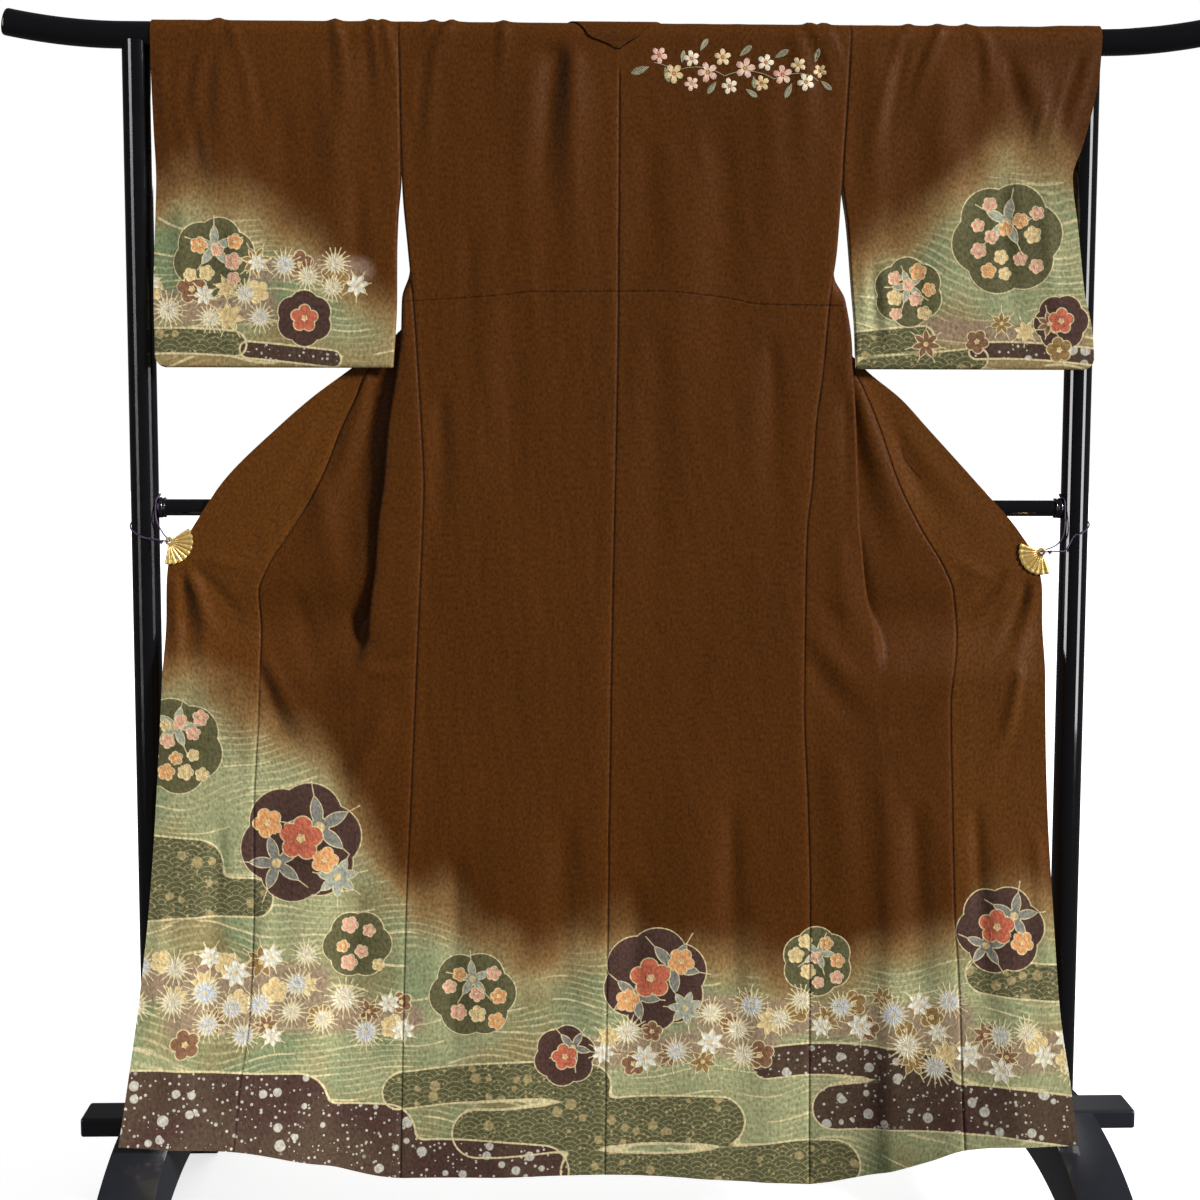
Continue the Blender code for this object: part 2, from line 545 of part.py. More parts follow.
def collar_half(side, neck, end):
    """Rows of three points along one half of the collar, from the middle of the neck to its end."""
    part = []
    shares = [index / COLLAR_COLUMNS for index in range(COLLAR_COLUMNS + 1)]
    middle = side.sign * 0.0045
    arc = math.pi * COLLAR_RADIUS
    lines = []
    for share, fall, fold_out, fold_run in NECK_POINT:
        lines.append((middle + (neck[0] - 0.0012 - middle) * share, fall, middle + fold_out, fold_run))
    for index, (fold_out, fold_run) in enumerate(NECK_FOLD):
        turn = index / (len(NECK_FOLD) - 1)
        seam_out = neck[0] + (neck[1] - neck[0]) * turn - 0.0012
        lines.append((seam_out, arc * turn + 0.0004, fold_out, fold_run))
    for out, past, fold_out, fold_run in NECK_FALL:
        lines.append((out + neck[1] - NECK_LEFT[1], arc + past, fold_out, fold_run))
    for out_u, out_s, fold_u, fold_s in lines:
        part.append([neck_point(side, out_u + (fold_u - out_u) * t, out_s + (fold_s - out_s) * t)
                     for t in shares])
    for height in [height for height in COLLAR_ROWS if height > end + 0.004] + [end]:
        edge = float(curve_value(side.front, 4, height))
        above = float(curve_value(side.front, 4, height + 0.01))
        below = float(curve_value(side.front, 4, height - 0.01))
        length = math.hypot(below - above, 0.02)
        place = []
        for t in shares:
            u = edge - 0.02 / length * COLLAR_WIDTH * t
            z = height - (below - above) / length * COLLAR_WIDTH * t
            place.append((side.sign * u, collar_depth(side, z), z))
        part.append(place)
    return part


def collar_surface():
    """Middle surface of the collar, from one clip round the neck to the other clip."""
    left = collar_half(LEFT, NECK_LEFT, COLLAR_END_LEFT)
    right = collar_half(RIGHT, NECK_RIGHT, COLLAR_END_RIGHT)
    rows = left[::-1] + right[1:]
    points = [point for row in rows for point in row]
    across = len(rows[0])
    faces = []
    for row in range(len(rows) - 1):
        for column in range(across - 1):
            a = row * across + column
            faces.append((a, a + across, a + across + 1, a + 1))
    return points, faces


def split_face(p, face):
    """Two triangles of a four-sided face, cut along its shorter diagonal."""
    a, b, c, d = face
    if np.linalg.norm(p[a] - p[c]) <= np.linalg.norm(p[b] - p[d]):
        return ((a, b, c), (a, c, d))
    return ((a, b, d), (b, c, d))


def thicken(points, faces, wall):
    """Closed wall of even thickness round a middle surface."""
    p = np.array(points)
    faces = [part for face in faces for part in split_face(p, face)]
    normal = np.zeros_like(p)
    face_normals = []
    for face in faces:
        q = p[list(face)]
        n = np.zeros(3)
        for index in range(1, len(face) - 1):
            n += np.cross(q[index] - q[0], q[index + 1] - q[0])
        face_normals.append(n / max(np.linalg.norm(n), 1e-12))
        for vertex in face:
            normal[vertex] += n
    normal = normal / np.maximum(np.linalg.norm(normal, axis=1), 1e-12)[:, None]
    agree = np.ones(len(p))
    for face, n in zip(faces, face_normals):
        for vertex in face:
            agree[vertex] = min(agree[vertex], float(np.dot(normal[vertex], n)))
    reach = (wall / 2) / np.clip(agree, 0.75, 1.0)
    shell_points = np.vstack([p + normal * reach[:, None], p - normal * reach[:, None]])
    count = len(p)
    shell = [tuple(face) for face in faces]
    shell += [tuple(vertex + count for vertex in reversed(face)) for face in faces]
    edges = set()
    for face in faces:
        for index in range(len(face)):
            edges.add((face[index], face[(index + 1) % len(face)]))
    for a, b in sorted(edges):
        if (b, a) not in edges:
            shell.append((b, a, a + count, b + count))
    return shell_points, shell


def material(name, colour, roughness, metallic=0.0):
    """Plain material for one solid."""
    item = bpy.data.materials.new(name)
    item.use_nodes = True
    shader = item.node_tree.nodes["Principled BSDF"]
    shader.inputs["Base Color"].default_value = (*colour, 1.0)
    shader.inputs["Roughness"].default_value = roughness
    shader.inputs["Metallic"].default_value = metallic
    item.diffuse_color = (*colour, 1.0)
    return item


def add_mesh(name, points, faces, finish, smooth=True):
    """Add one closed body with outward faces."""
    mesh = bpy.data.meshes.new(name)
    mesh.from_pydata([tuple(map(float, point)) for point in points], [], [tuple(face) for face in faces])
    work = bmesh.new()
    work.from_mesh(mesh)
    bmesh.ops.recalc_face_normals(work, faces=work.faces)
    work.to_mesh(mesh)
    work.free()
    for polygon in mesh.polygons:
        polygon.use_smooth = smooth
    if smooth:
        mesh.set_sharp_from_angle(angle=math.radians(38))
    item = bpy.data.objects.new(name, mesh)
    item.data.materials.append(finish)
    bpy.context.scene.collection.objects.link(item)
    return item


def prism(outline, low, high, axis):
    """Points and faces of an outline pushed from low to high along x or y."""
    points = []
    for level in (low, high):
        for a, b in outline:
            points.append((level, a, b) if axis == "x" else (a, level, b))
    count = len(outline)
    faces = [tuple(range(count)), tuple(range(2 * count - 1, count - 1, -1))]
    for index in range(count):
        after = (index + 1) % count
        faces.append((index, index + count, after + count, after))
    return points, faces


def bar(centres, radii, steps, upright=False):
    """Capped round bar through rings across the x-z path, or across z when upright."""
    points = []
    for place, (x, y, z) in enumerate(centres):
        before = centres[max(place - 1, 0)]
        after = centres[min(place + 1, len(centres) - 1)]
        tilt = math.atan2(after[2] - before[2], after[0] - before[0])
        for index in range(steps):
            turn = 2 * math.pi * index / steps
            a = radii[place] * math.cos(turn)
            b = radii[place] * math.sin(turn)
            if upright:
                points.append((x + a, y + b, z))
            else:
                points.append((x - b * math.sin(tilt), y + a, z + b * math.cos(tilt)))
    rings = len(centres)
    faces = []
    for ring in range(rings - 1):
        for index in range(steps):
            after = (index + 1) % steps
            a = ring * steps
            faces.append((a + index, a + after, a + steps + after, a + steps + index))
    faces.append(tuple(range(steps)))
    faces.append(tuple(range(rings * steps - 1, (rings - 1) * steps - 1, -1)))
    return points, faces


def looped(rings, steps):
    """Faces of a body made of rings that close on themselves both ways."""
    faces = []
    for ring in range(rings):
        for index in range(steps):
            after = (index + 1) % steps
            a = ring * steps
            b = (ring + 1) % rings * steps
            faces.append((a + index, a + after, b + after, b + index))
    return faces


def cut_with(item, cutter):
    """Subtract a hidden body from another."""
    cutter.hide_render = True
    cutter.display_type = "WIRE"
    change = item.modifiers.new("cut", "BOOLEAN")
    change.operation = "DIFFERENCE"
    change.solver = "EXACT"
    change.object = cutter


def soften(item, width, segments, angle):
    """Round the hard edges of a body."""
    change = item.modifiers.new("edges", "BEVEL")
    change.width = width
    change.segments = segments
    change.limit_method = "ANGLE"
    change.angle_limit = math.radians(angle)


def build_top_bar(finish):
    """Round rod with ends that sweep up."""
    xs = [-ROD_END, -ROD_END + 0.0015, -0.830, -0.795, -0.750, -ROD_STRAIGHT]
    radii = [ROD_RADIUS - 0.0015] + [ROD_RADIUS] * 5
    xs = xs + [-x for x in reversed(xs)]
    radii = radii + radii[::-1]
    centres = [(x, 0.0, ROD_Z + ROD_RISE * max(abs(x) - ROD_STRAIGHT, 0.0) ** 2) for x in xs]
    points, faces = bar(centres, radii, 28)
    add_mesh("top_bar", points, faces, finish)


def build_posts(finish):
    """Two round posts with a saddle for the rod on top."""
    for name, x in (("post_left", -POST_X), ("post_right", POST_X)):
        centres = [(x, 0.0, BASE_TOP + SEAM_GAP), (x, 0.0, POST_TOP)]
        points, faces = bar(centres, [POST_RADIUS] * 2, 32, upright=True)
        post = add_mesh(name, points, faces, finish)
        points, faces = bar([(x - 0.04, 0.0, ROD_Z), (x + 0.04, 0.0, ROD_Z)], [SADDLE_RADIUS] * 2, 48)
        cut_with(post, add_mesh("cut_" + name, points, faces, finish))


def build_crossbar(finish):
    """Crossbar with a ferrule at each post."""
    ends = [(-POST_X + 0.010, 0.0, CROSS_Z), (POST_X - 0.010, 0.0, CROSS_Z)]
    points, faces = bar(ends, [CROSS_RADIUS] * 2, 24)
    cross = add_mesh("crossbar", points, faces, finish)
    for name, x in (("cut_cross_left", -POST_X), ("cut_cross_right", POST_X)):
        centres = [(x, 0.0, CROSS_Z - 0.03), (x, 0.0, CROSS_Z + 0.03)]
        points, faces = bar(centres, [POST_RADIUS + SEAM_GAP] * 2, 48, upright=True)
        cut_with(cross, add_mesh(name, points, faces, finish))
    end = POST_X - POST_RADIUS - SEAM_GAP - 0.0002
    steps = 24
    for name, sign in (("ferrule_left", -1), ("ferrule_right", 1)):
        points = []
        near = sign * (end - FERRULE_LENGTH)
        far = sign * end
        section = ((near, FERRULE_BORE), (near, FERRULE_RADIUS), (far, FERRULE_RADIUS), (far, FERRULE_BORE))
        for x, radius in section:
            for index in range(steps):
                turn = 2 * math.pi * index / steps
                points.append((x, radius * math.cos(turn), CROSS_Z + radius * math.sin(turn)))
        add_mesh(name, points, looped(4, steps), finish)


def build_base(finish):
    """Base plank and two arched feet."""
    outline = [(-BASE_HALF_DEPTH, BASE_BOTTOM), (BASE_HALF_DEPTH, BASE_BOTTOM),
               (BASE_HALF_DEPTH, BASE_TOP), (-BASE_HALF_DEPTH, BASE_TOP)]
    points, faces = prism(outline, -BASE_HALF_LENGTH, BASE_HALF_LENGTH, "x")
    soften(add_mesh("base_bar", points, faces, finish, smooth=False), 0.004, 3, 30)
    notch_y = BASE_HALF_DEPTH + SEAM_GAP
    notch_z = BASE_BOTTOM - SEAM_GAP
    start = math.acos(notch_y / FOOT_OUTER_Y)
    outer = []
    for index in range(12):
        turn = start * (1 - index / 11)
        outer.append((FOOT_OUTER_Y * math.cos(turn), BASE_TOP * math.sin(turn)))
    under = []
    for index in range(19):
        turn = math.pi * index / 18
        under.append((FOOT_INNER_Y * math.cos(turn), FOOT_INNER_Z * math.sin(turn)))
    outline = [(notch_y, notch_z)] + outer + under + [(-y, z) for y, z in reversed(outer)]
    outline.append((-notch_y, notch_z))
    for name, sign in (("foot_left", -1), ("foot_right", 1)):
        points, faces = prism(outline, sign * FOOT_X0, sign * FOOT_X1, "x")
        soften(add_mesh(name, points, faces, finish, smooth=False), 0.003, 2, 50)


def build_clip(prefix, clip, finish):
    """Fan-shaped plate with ribs and an eye, a hinge pin and the jaw behind the cloth."""
    x, z, middle = clip
    steps = FAN_RIBS * 2
    rim = []
    for index in range(steps + 1):
        turn = math.radians(middle - FAN_SPREAD / 2 + FAN_SPREAD * index / steps)
        wave = index % 2
        rim.append((FAN_RADIUS - 0.0016 * (1 - wave), turn, FAN_RIB * wave, 0.36))
    for index in range(9):
        turn = math.radians(middle + 88 + 184 * index / 8)
        rim.append((0.0058, turn, 0.0, 0.72))
    front = FAN_BACK_Y - FAN_WALL
    points = []
    for ring in range(5):
        for radius, turn, relief, inner in rim:
            reach = (0.0024, radius, radius, radius * inner, 0.0024)[ring]
            depth = (FAN_BACK_Y, FAN_BACK_Y, front - relief * 0.6, front - relief, front)[ring]
            points.append((x + reach * math.cos(turn), depth, z + reach * math.sin(turn)))
    add_mesh(prefix + "_fan", points, looped(5, len(rim)), finish, smooth=False)
    lean_x = math.cos(math.radians(middle))
    lean_z = math.sin(math.radians(middle))
    outline = []
    for centre, radius, first in ((0.0180, 0.0080, -90), (0.0095, 0.0044, 90)):
        for index in range(9):
            turn = math.radians(middle + first + 180 * index / 8)
            along = centre * lean_x + radius * math.cos(turn)
            outline.append((x + along, z + centre * lean_z + radius * math.sin(turn)))
    points, faces = prism(outline, JAW_FRONT_Y, JAW_FRONT_Y + JAW_WALL, "y")
    add_mesh(prefix + "_jaw", points, faces, finish, smooth=False)
    outline = []
    for index in range(16):
        turn = 2 * math.pi * index / 16
        along = 0.0095 * lean_x + 0.0022 * math.cos(turn)
        outline.append((x + along, z + 0.0095 * lean_z + 0.0022 * math.sin(turn)))
    points, faces = prism(outline, FAN_BACK_Y + SEAM_GAP, JAW_FRONT_Y - SEAM_GAP, "y")
    add_mesh(prefix + "_pin", points, faces, finish)


def build_cord(name, sign, clip, inner_top, outer_z, finish):
    """Closed cord loop through the eye of the clip and round the post."""
    hub_x, hub_z, _ = clip
    centre = sign * POST_X
    reach = POST_RADIUS + CORD_RADIUS + 0.0006
    path = [(hub_x, FAN_BACK_Y - 0.0052, hub_z), (hub_x, FAN_BACK_Y - 0.0008, hub_z),
            (hub_x, FAN_BACK_Y + 0.0036, hub_z + 0.0005)]
    path.append((sign * 0.6465, -0.0165, hub_z + 0.010))
    path.append((sign * 0.6560, -0.0188, hub_z + 0.030))
    for degrees, z in ((-36, inner_top - 0.006), (-18, inner_top + 0.002), (0, inner_top + 0.0055),
                       (22, inner_top + 0.003), (50, inner_top - 0.003), (80, inner_top - 0.011),
                       (110, inner_top - 0.020), (140, outer_z + 0.009), (165, outer_z + 0.003),
                       (190, outer_z - 0.001), (215, outer_z - 0.006), (240, outer_z - 0.011),
                       (262, outer_z - 0.015), (284, outer_z - 0.018)):
        turn = math.radians(degrees)
        path.append((centre - sign * reach * math.cos(turn), reach * math.sin(turn), z))
    path.append((sign * 0.6580, -0.0246, hub_z + 0.0030))
    path.append((sign * 0.6480, -0.0262, hub_z + 0.0008))
    curve = bpy.data.curves.new(name, "CURVE")
    curve.dimensions = "3D"
    curve.bevel_depth = CORD_RADIUS
    curve.bevel_resolution = 2
    spline = curve.splines.new("POLY")
    fine = smooth_loop(path, 2)
    spline.points.add(len(fine) - 1)
    for point, place in zip(spline.points, fine):
        point.co = (*place, 1.0)
    spline.use_cyclic_u = True
    curve.materials.append(finish)
    item = bpy.data.objects.new(name, curve)
    bpy.context.scene.collection.objects.link(item)


def smooth_loop(path, parts):
    """Closed smooth curve through the path points."""
    p = np.array(path)
    count = len(p)
    fine = []
    for index in range(count):
        a = p[index - 1]
        b = p[index]
        c = p[(index + 1) % count]
        d = p[(index + 2) % count]
        for step in range(parts):
            t = step / parts
            fine.append(tuple(0.5 * (2 * b + (c - a) * t + (2 * a - 5 * b + 4 * c - d) * t * t
                                     + (3 * b - a - 3 * c + d) * t ** 3)))
    return fine


def build_knot(name, sign, clip, finish):
    """Bead of the knot in front of the cord."""
    x = clip[0] + sign * 0.0095
    points = []
    rings = 7
    steps = 14
    points.append((x, -0.0343, clip[1]))
    for ring in range(1, rings):
        turn = math.pi * ring / rings
        for index in range(steps):
            round_turn = 2 * math.pi * index / steps
            across = 0.0042 * math.sin(turn) * math.cos(round_turn)
            above = 0.0036 * math.sin(turn) * math.sin(round_turn)
            points.append((x + across, -0.0309 - 0.0034 * math.cos(turn), clip[1] + above))
    points.append((x, -0.0275, clip[1]))
    faces = []
    for index in range(steps):
        after = (index + 1) % steps
        faces.append((0, 1 + index, 1 + after))
        for ring in range(rings - 2):
            a = 1 + ring * steps
            faces.append((a + index, a + steps + index, a + steps + after, a + after))
        a = 1 + (rings - 2) * steps
        faces.append((a + after, a + index, len(points) - 1))
    add_mesh(name, points, faces, finish)


def build_cloth():
    """Every piece of the garment."""
    silk = (0.085, 0.040, 0.014)
    for name, side in (("body_left", LEFT), ("body_right", RIGHT)):
        points, faces = lay_rows(side, body_grid(side))
        points, faces = thicken(points, faces, WALL)
        add_mesh(name, points, faces, material(name + "_silk", silk, 0.62))
    for name, side in (("okumi_left", LEFT), ("okumi_right", RIGHT)):
        points, faces = lay_rows(side, okumi_rows(side))
        points, faces = thicken(points, faces, WALL)
        add_mesh(name, points, faces, material(name + "_silk", (0.100, 0.052, 0.020), 0.62))
    for name, side, table, cuff in (("sleeve_left", LEFT, SLEEVE_LEFT, CUFF_BOTTOM_LEFT),
                                    ("sleeve_right", RIGHT, SLEEVE_RIGHT, CUFF_BOTTOM_RIGHT)):
        points, faces = sleeve_surface(side, table, cuff)
        points, faces = thicken(points, faces, WALL)
        add_mesh(name, points, faces, material(name + "_silk", (0.088, 0.042, 0.015), 0.62))
    points, faces = collar_surface()
    points, faces = thicken(points, faces, COLLAR_WALL)
    add_mesh("collar", points, faces, material("collar_silk", silk, 0.62))


def main():
    """Build every solid."""
    clear_scene()
    lacquer = (0.006, 0.006, 0.008)
    build_cloth()
    build_top_bar(material("top_bar_lacquer", lacquer, 0.12))
    build_posts(material("post_lacquer", lacquer, 0.12))
    build_crossbar(material("crossbar_lacquer", lacquer, 0.14))
    build_base(material("base_lacquer", (0.010, 0.012, 0.018), 0.28))
    gold = (0.70, 0.48, 0.16)
    violet = (0.040, 0.012, 0.060)
    build_clip("clip_left", CLIP_LEFT, material("clip_left_gold", gold, 0.30, 1.0))
    build_clip("clip_right", CLIP_RIGHT, material("clip_right_gold", gold, 0.30, 1.0))
    build_cord("cord_left", -1, CLIP_LEFT, 1.0960, 1.0566, material("cord_left_silk", violet, 0.80))
    build_cord("cord_right", 1, CLIP_RIGHT, 1.0970, 1.0601, material("cord_right_silk", violet, 0.80))
    build_knot("knot_left", -1, CLIP_LEFT, material("knot_left_silk", violet, 0.80))
    build_knot("knot_right", 1, CLIP_RIGHT, material("knot_right_silk", violet, 0.80))


main()
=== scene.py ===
"""Looks of a silk visiting kimono that hangs on a lacquered kimono stand.

The garment hangs with its back to the viewer, over a rod that runs through both sleeves. Its front
panels lie behind it and are drawn out sideways by two fan clips. Metres, Z up, the floor is z = 0.
"""

import logging
import math
import random
from dataclasses import dataclass
from enum import Enum

import bmesh
import bpy
import numpy as np
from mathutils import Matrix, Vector
from mathutils.bvhtree import BVHTree


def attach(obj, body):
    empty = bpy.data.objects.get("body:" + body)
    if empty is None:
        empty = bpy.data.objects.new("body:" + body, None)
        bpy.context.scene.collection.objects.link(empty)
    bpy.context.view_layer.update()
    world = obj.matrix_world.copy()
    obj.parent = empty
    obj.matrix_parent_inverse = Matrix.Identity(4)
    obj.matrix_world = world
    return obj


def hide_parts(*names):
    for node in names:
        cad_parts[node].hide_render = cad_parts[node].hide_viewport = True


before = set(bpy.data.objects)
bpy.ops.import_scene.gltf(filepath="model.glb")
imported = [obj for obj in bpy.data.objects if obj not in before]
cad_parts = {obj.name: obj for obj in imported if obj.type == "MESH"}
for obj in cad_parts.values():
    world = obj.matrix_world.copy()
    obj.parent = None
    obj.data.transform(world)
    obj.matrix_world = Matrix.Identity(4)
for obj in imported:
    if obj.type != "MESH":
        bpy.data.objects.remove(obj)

LOG = logging.getLogger("kimono")
Table = tuple[tuple[float, ...], ...]
Pair = tuple[np.ndarray, np.ndarray]
Finish = bpy.types.Material
Piece = bpy.types.Object
Tree = bpy.types.NodeTree
Colour = tuple[float, float, float]
Vec3 = tuple[float, float, float]

# Cloth walls and seams
WALL = 0.0015
SEAM_GAP = 0.0003
SEAM_MEET = -0.0001
COLLAR_WALL = 0.0030
COLLAR_WIDTH = 0.055
COLLAR_SLACK = 0.0007
# Rod and the cloth on it
ROD_Z = 1.748
ROD_RADIUS = 0.019
DRAPE_RADIUS = 0.0197 + WALL / 2
COLLAR_RADIUS = 0.0206 + COLLAR_WALL / 2
TURN_RADIUS = 0.004
TURN_ARC = math.pi * TURN_RADIUS
SIDE_SEAM_TOP = 1.380
KENSAKI_Z = 1.530
LOWER_ZONE = 0.500
# A height that no crease reaches
AWAY = 3.0
# Heights where the front panel rolls in under the rod and between which its inner pleat opens
ROLL_Z = 1.700
PLEAT_OPENS = (0.83, 0.985)
# Distances from a sewn edge of the mesh's closest columns
EDGE_COLUMNS = np.array([0.0009, 0.0022, 0.0042])
# Rolled-in depth and reach of a panel's sewn edge, and distance between the tuck's stitches
SEAM_ROLL = (0.0008, 0.0024)
TUCK_PITCH = 0.021
# x, z and middle heading of each fan clip
CLIP_LEFT = (-0.6377, 1.0349, -34.0)
CLIP_RIGHT = (0.6232, 1.0198, 226.0)

# height, depth of the back panel's middle plane
BACK_PLANE: Table = (
    (0.08, -0.045), (0.6, -0.04), (1.087, -0.034), (1.38, -0.027), (1.556, -0.0235),
    (1.65, -0.0222), (1.72, -0.021), (1.748, -0.02045))
# height, depth of the front panel's outer edge behind the rod
FAR_PLANE: Table = (
    (1.38, -0.027), (1.42, -0.025), (1.46, -0.0115), (1.546, -0.002), (1.62, 0.007),
    (1.7, 0.0165), (1.748, 0.02045))
# distance out from the side seam, share of the forward lean
LEAN_SHARE: Table = ((0.0, 0.0), (0.06, 0.01), (0.228, 0.075), (0.39, 0.115), (0.45, 0.128))
# height, centre seam x
CENTRE_SEAM: Table = ((0.08, -0.0115), (0.89, -0.003), (1.39, 0.005), (1.76, 0.006))
# height, distance out of the back panel's outer edge
EDGE_LEFT: Table = (
    (0.08, 0.3132), (0.17, 0.311), (0.35, 0.3065), (0.5, 0.3019), (0.65, 0.2945),
    (0.8, 0.2872), (0.96, 0.2796), (1.05, 0.2752), (1.12, 0.2729), (1.2, 0.2761),
    (1.28, 0.2803), (1.38, 0.2868), (1.45, 0.2932), (1.53, 0.3002), (1.62, 0.3032), (1.748, 0.3045))
EDGE_RIGHT: Table = (
    (0.08, 0.2925), (0.17, 0.2913), (0.35, 0.2898), (0.5, 0.2889), (0.65, 0.284),
    (0.8, 0.277), (0.96, 0.2769), (1.05, 0.2783), (1.12, 0.2853), (1.2, 0.2894),
    (1.28, 0.299), (1.38, 0.3075), (1.45, 0.3175), (1.53, 0.3225), (1.62, 0.3272), (1.748, 0.3337))
# height, first run, second run, overlap seam, free edge of the front panel
FRONT_LEFT: Table = (
    (0.08, 0.066, 0.003, 0.556, 0.712), (0.17, 0.066, 0.003, 0.5451, 0.7032),
    (0.25, 0.066, 0.003, 0.5385, 0.6945), (0.35, 0.066, 0.003, 0.5257, 0.6838),
    (0.5, 0.066, 0.003, 0.5203, 0.6699), (0.65, 0.066, 0.003, 0.5197, 0.6603),
    (0.8, 0.066, 0.003, 0.511, 0.651), (0.9, 0.066, 0.003, 0.5087, 0.6453),
    (0.96, 0.064, 0.003, 0.5116, 0.6435), (1.0, 0.0609, 0.0106, 0.4969, 0.6403),
    (1.05, 0.06, 0.0242, 0.4638, 0.6072), (1.12, 0.0528, 0.0367, 0.4219, 0.5602),
    (1.2, 0.0427, 0.0498, 0.3895, 0.4787), (1.24, 0.0344, 0.0632, 0.3697, 0.4325),
    (1.28, 0.0254, 0.0917, 0.35, 0.3783), (1.33, 0.0159, 0.1174, 0.275, 0.3118),
    (1.38, 0.0107, 0.1475, 0.222, 0.27), (1.42, 0.002, 0.1352, 0.215, 0.254),
    (1.46, 0.002, 0.1345, 0.208, 0.238), (1.53, 0.002, 0.1416, 0.201, 0.205),
    (1.62, 0.002, 0.1666, 0.154, 0.158), (1.7, 0.002, 0.182, 0.114, 0.118),
    (1.748, 0.002, 0.1835, 0.09, 0.09))
FRONT_RIGHT: Table = (
    (0.08, 0.098, 0.003, 0.509, 0.666), (0.17, 0.098, 0.003, 0.5078, 0.6639),
    (0.25, 0.098, 0.003, 0.5064, 0.6589), (0.35, 0.098, 0.003, 0.5058, 0.6488),
    (0.5, 0.098, 0.003, 0.4989, 0.6423), (0.65, 0.098, 0.003, 0.4953, 0.6352),
    (0.8, 0.098, 0.003, 0.4909, 0.6297), (0.9, 0.098, 0.003, 0.501, 0.6278),
    (0.96, 0.0853, 0.003, 0.4955, 0.626), (1.0, 0.0801, 0.01, 0.4786, 0.6188),
    (1.05, 0.0737, 0.022, 0.4475, 0.5888), (1.12, 0.0627, 0.037, 0.4118, 0.5263),
    (1.2, 0.0548, 0.0532, 0.3829, 0.4523), (1.24, 0.0479, 0.0702, 0.3661, 0.415),
    (1.28, 0.0395, 0.1, 0.344, 0.3652), (1.33, 0.0322, 0.142, 0.275, 0.318),
    (1.38, 0.0188, 0.1663, 0.225, 0.276), (1.42, 0.002, 0.1491, 0.218, 0.2585),
    (1.46, 0.002, 0.1515, 0.212, 0.241), (1.53, 0.002, 0.1589, 0.204, 0.208),
    (1.62, 0.002, 0.1836, 0.156, 0.16), (1.7, 0.002, 0.205, 0.117, 0.121),
    (1.748, 0.002, 0.211, 0.092, 0.092))
# x, hem height of the back; distance out from the side seam, hem height of the front
BACK_HEM: Table = (
    (-0.3132, 0.0955), (-0.1412, 0.096), (-0.0177, 0.0977), (0.0777, 0.095), (0.1771, 0.0874),
    (0.2925, 0.0803))
FRONT_HEM_LEFT: Table = (
    (0.0, 0.0955), (0.03, 0.101), (0.12, 0.1328), (0.234, 0.167), (0.392, 0.1874))
FRONT_HEM_RIGHT: Table = (
    (0.0, 0.0803), (0.03, 0.086), (0.098, 0.1068), (0.168, 0.1362), (0.217, 0.1584),
    (0.285, 0.1699), (0.372, 0.1773))
# height, sleeve's inner edge, outer edge near, outer edge far
SLEEVE_LEFT: Table = (
    (1.283, 0.315, 0.651, 0.651), (1.38, 0.3092, 0.6512, 0.6512), (1.45, 0.3088, 0.649, 0.649),
    (1.5, 0.3069, 0.6474, 0.6474), (1.55, 0.303, 0.646, 0.646), (1.62, 0.3035, 0.6486, 0.648),
    (1.7, 0.3044, 0.651, 0.65), (1.748, 0.3048, 0.6515, 0.6515))
SLEEVE_RIGHT: Table = (
    (1.283, 0.346, 0.69, 0.69), (1.34, 0.3438, 0.6853, 0.6853), (1.39, 0.3395, 0.6736, 0.6736),
    (1.486, 0.332, 0.6607, 0.6607), (1.554, 0.3242, 0.6524, 0.6515), (1.6, 0.3262, 0.667, 0.6465),
    (1.66, 0.3298, 0.682, 0.6465), (1.7, 0.3315, 0.689, 0.648), (1.724, 0.3328, 0.6905, 0.67),
    (1.748, 0.334, 0.6918, 0.6918))
# height, depth of the near sheet, of the far sheet, of both close to the post
SLEEVE_DEPTH: Table = (
    (1.283, -0.0315, -0.026, -0.0318, -0.0262), (1.38, -0.0286, -0.0205, -0.031, -0.0247),
    (1.45, -0.0264, -0.014, -0.0303, -0.024), (1.5, -0.025, -0.0075, -0.03, -0.0235),
    (1.55, -0.0237, -0.0016, -0.0288, -0.0225), (1.6, -0.0229, 0.0046, -0.025, -0.006),
    (1.66, -0.0221, 0.0118, -0.0232, 0.015), (1.7, -0.0214, 0.0165, -0.0224, 0.0218),
    (1.724, -0.0209, 0.0185, -0.0222, 0.0221), (1.748, -0.02045, 0.02045, -0.0221, 0.0221))
SLEEVE_BOTTOM = 1.2830
SLEEVE_CORNER = 0.017

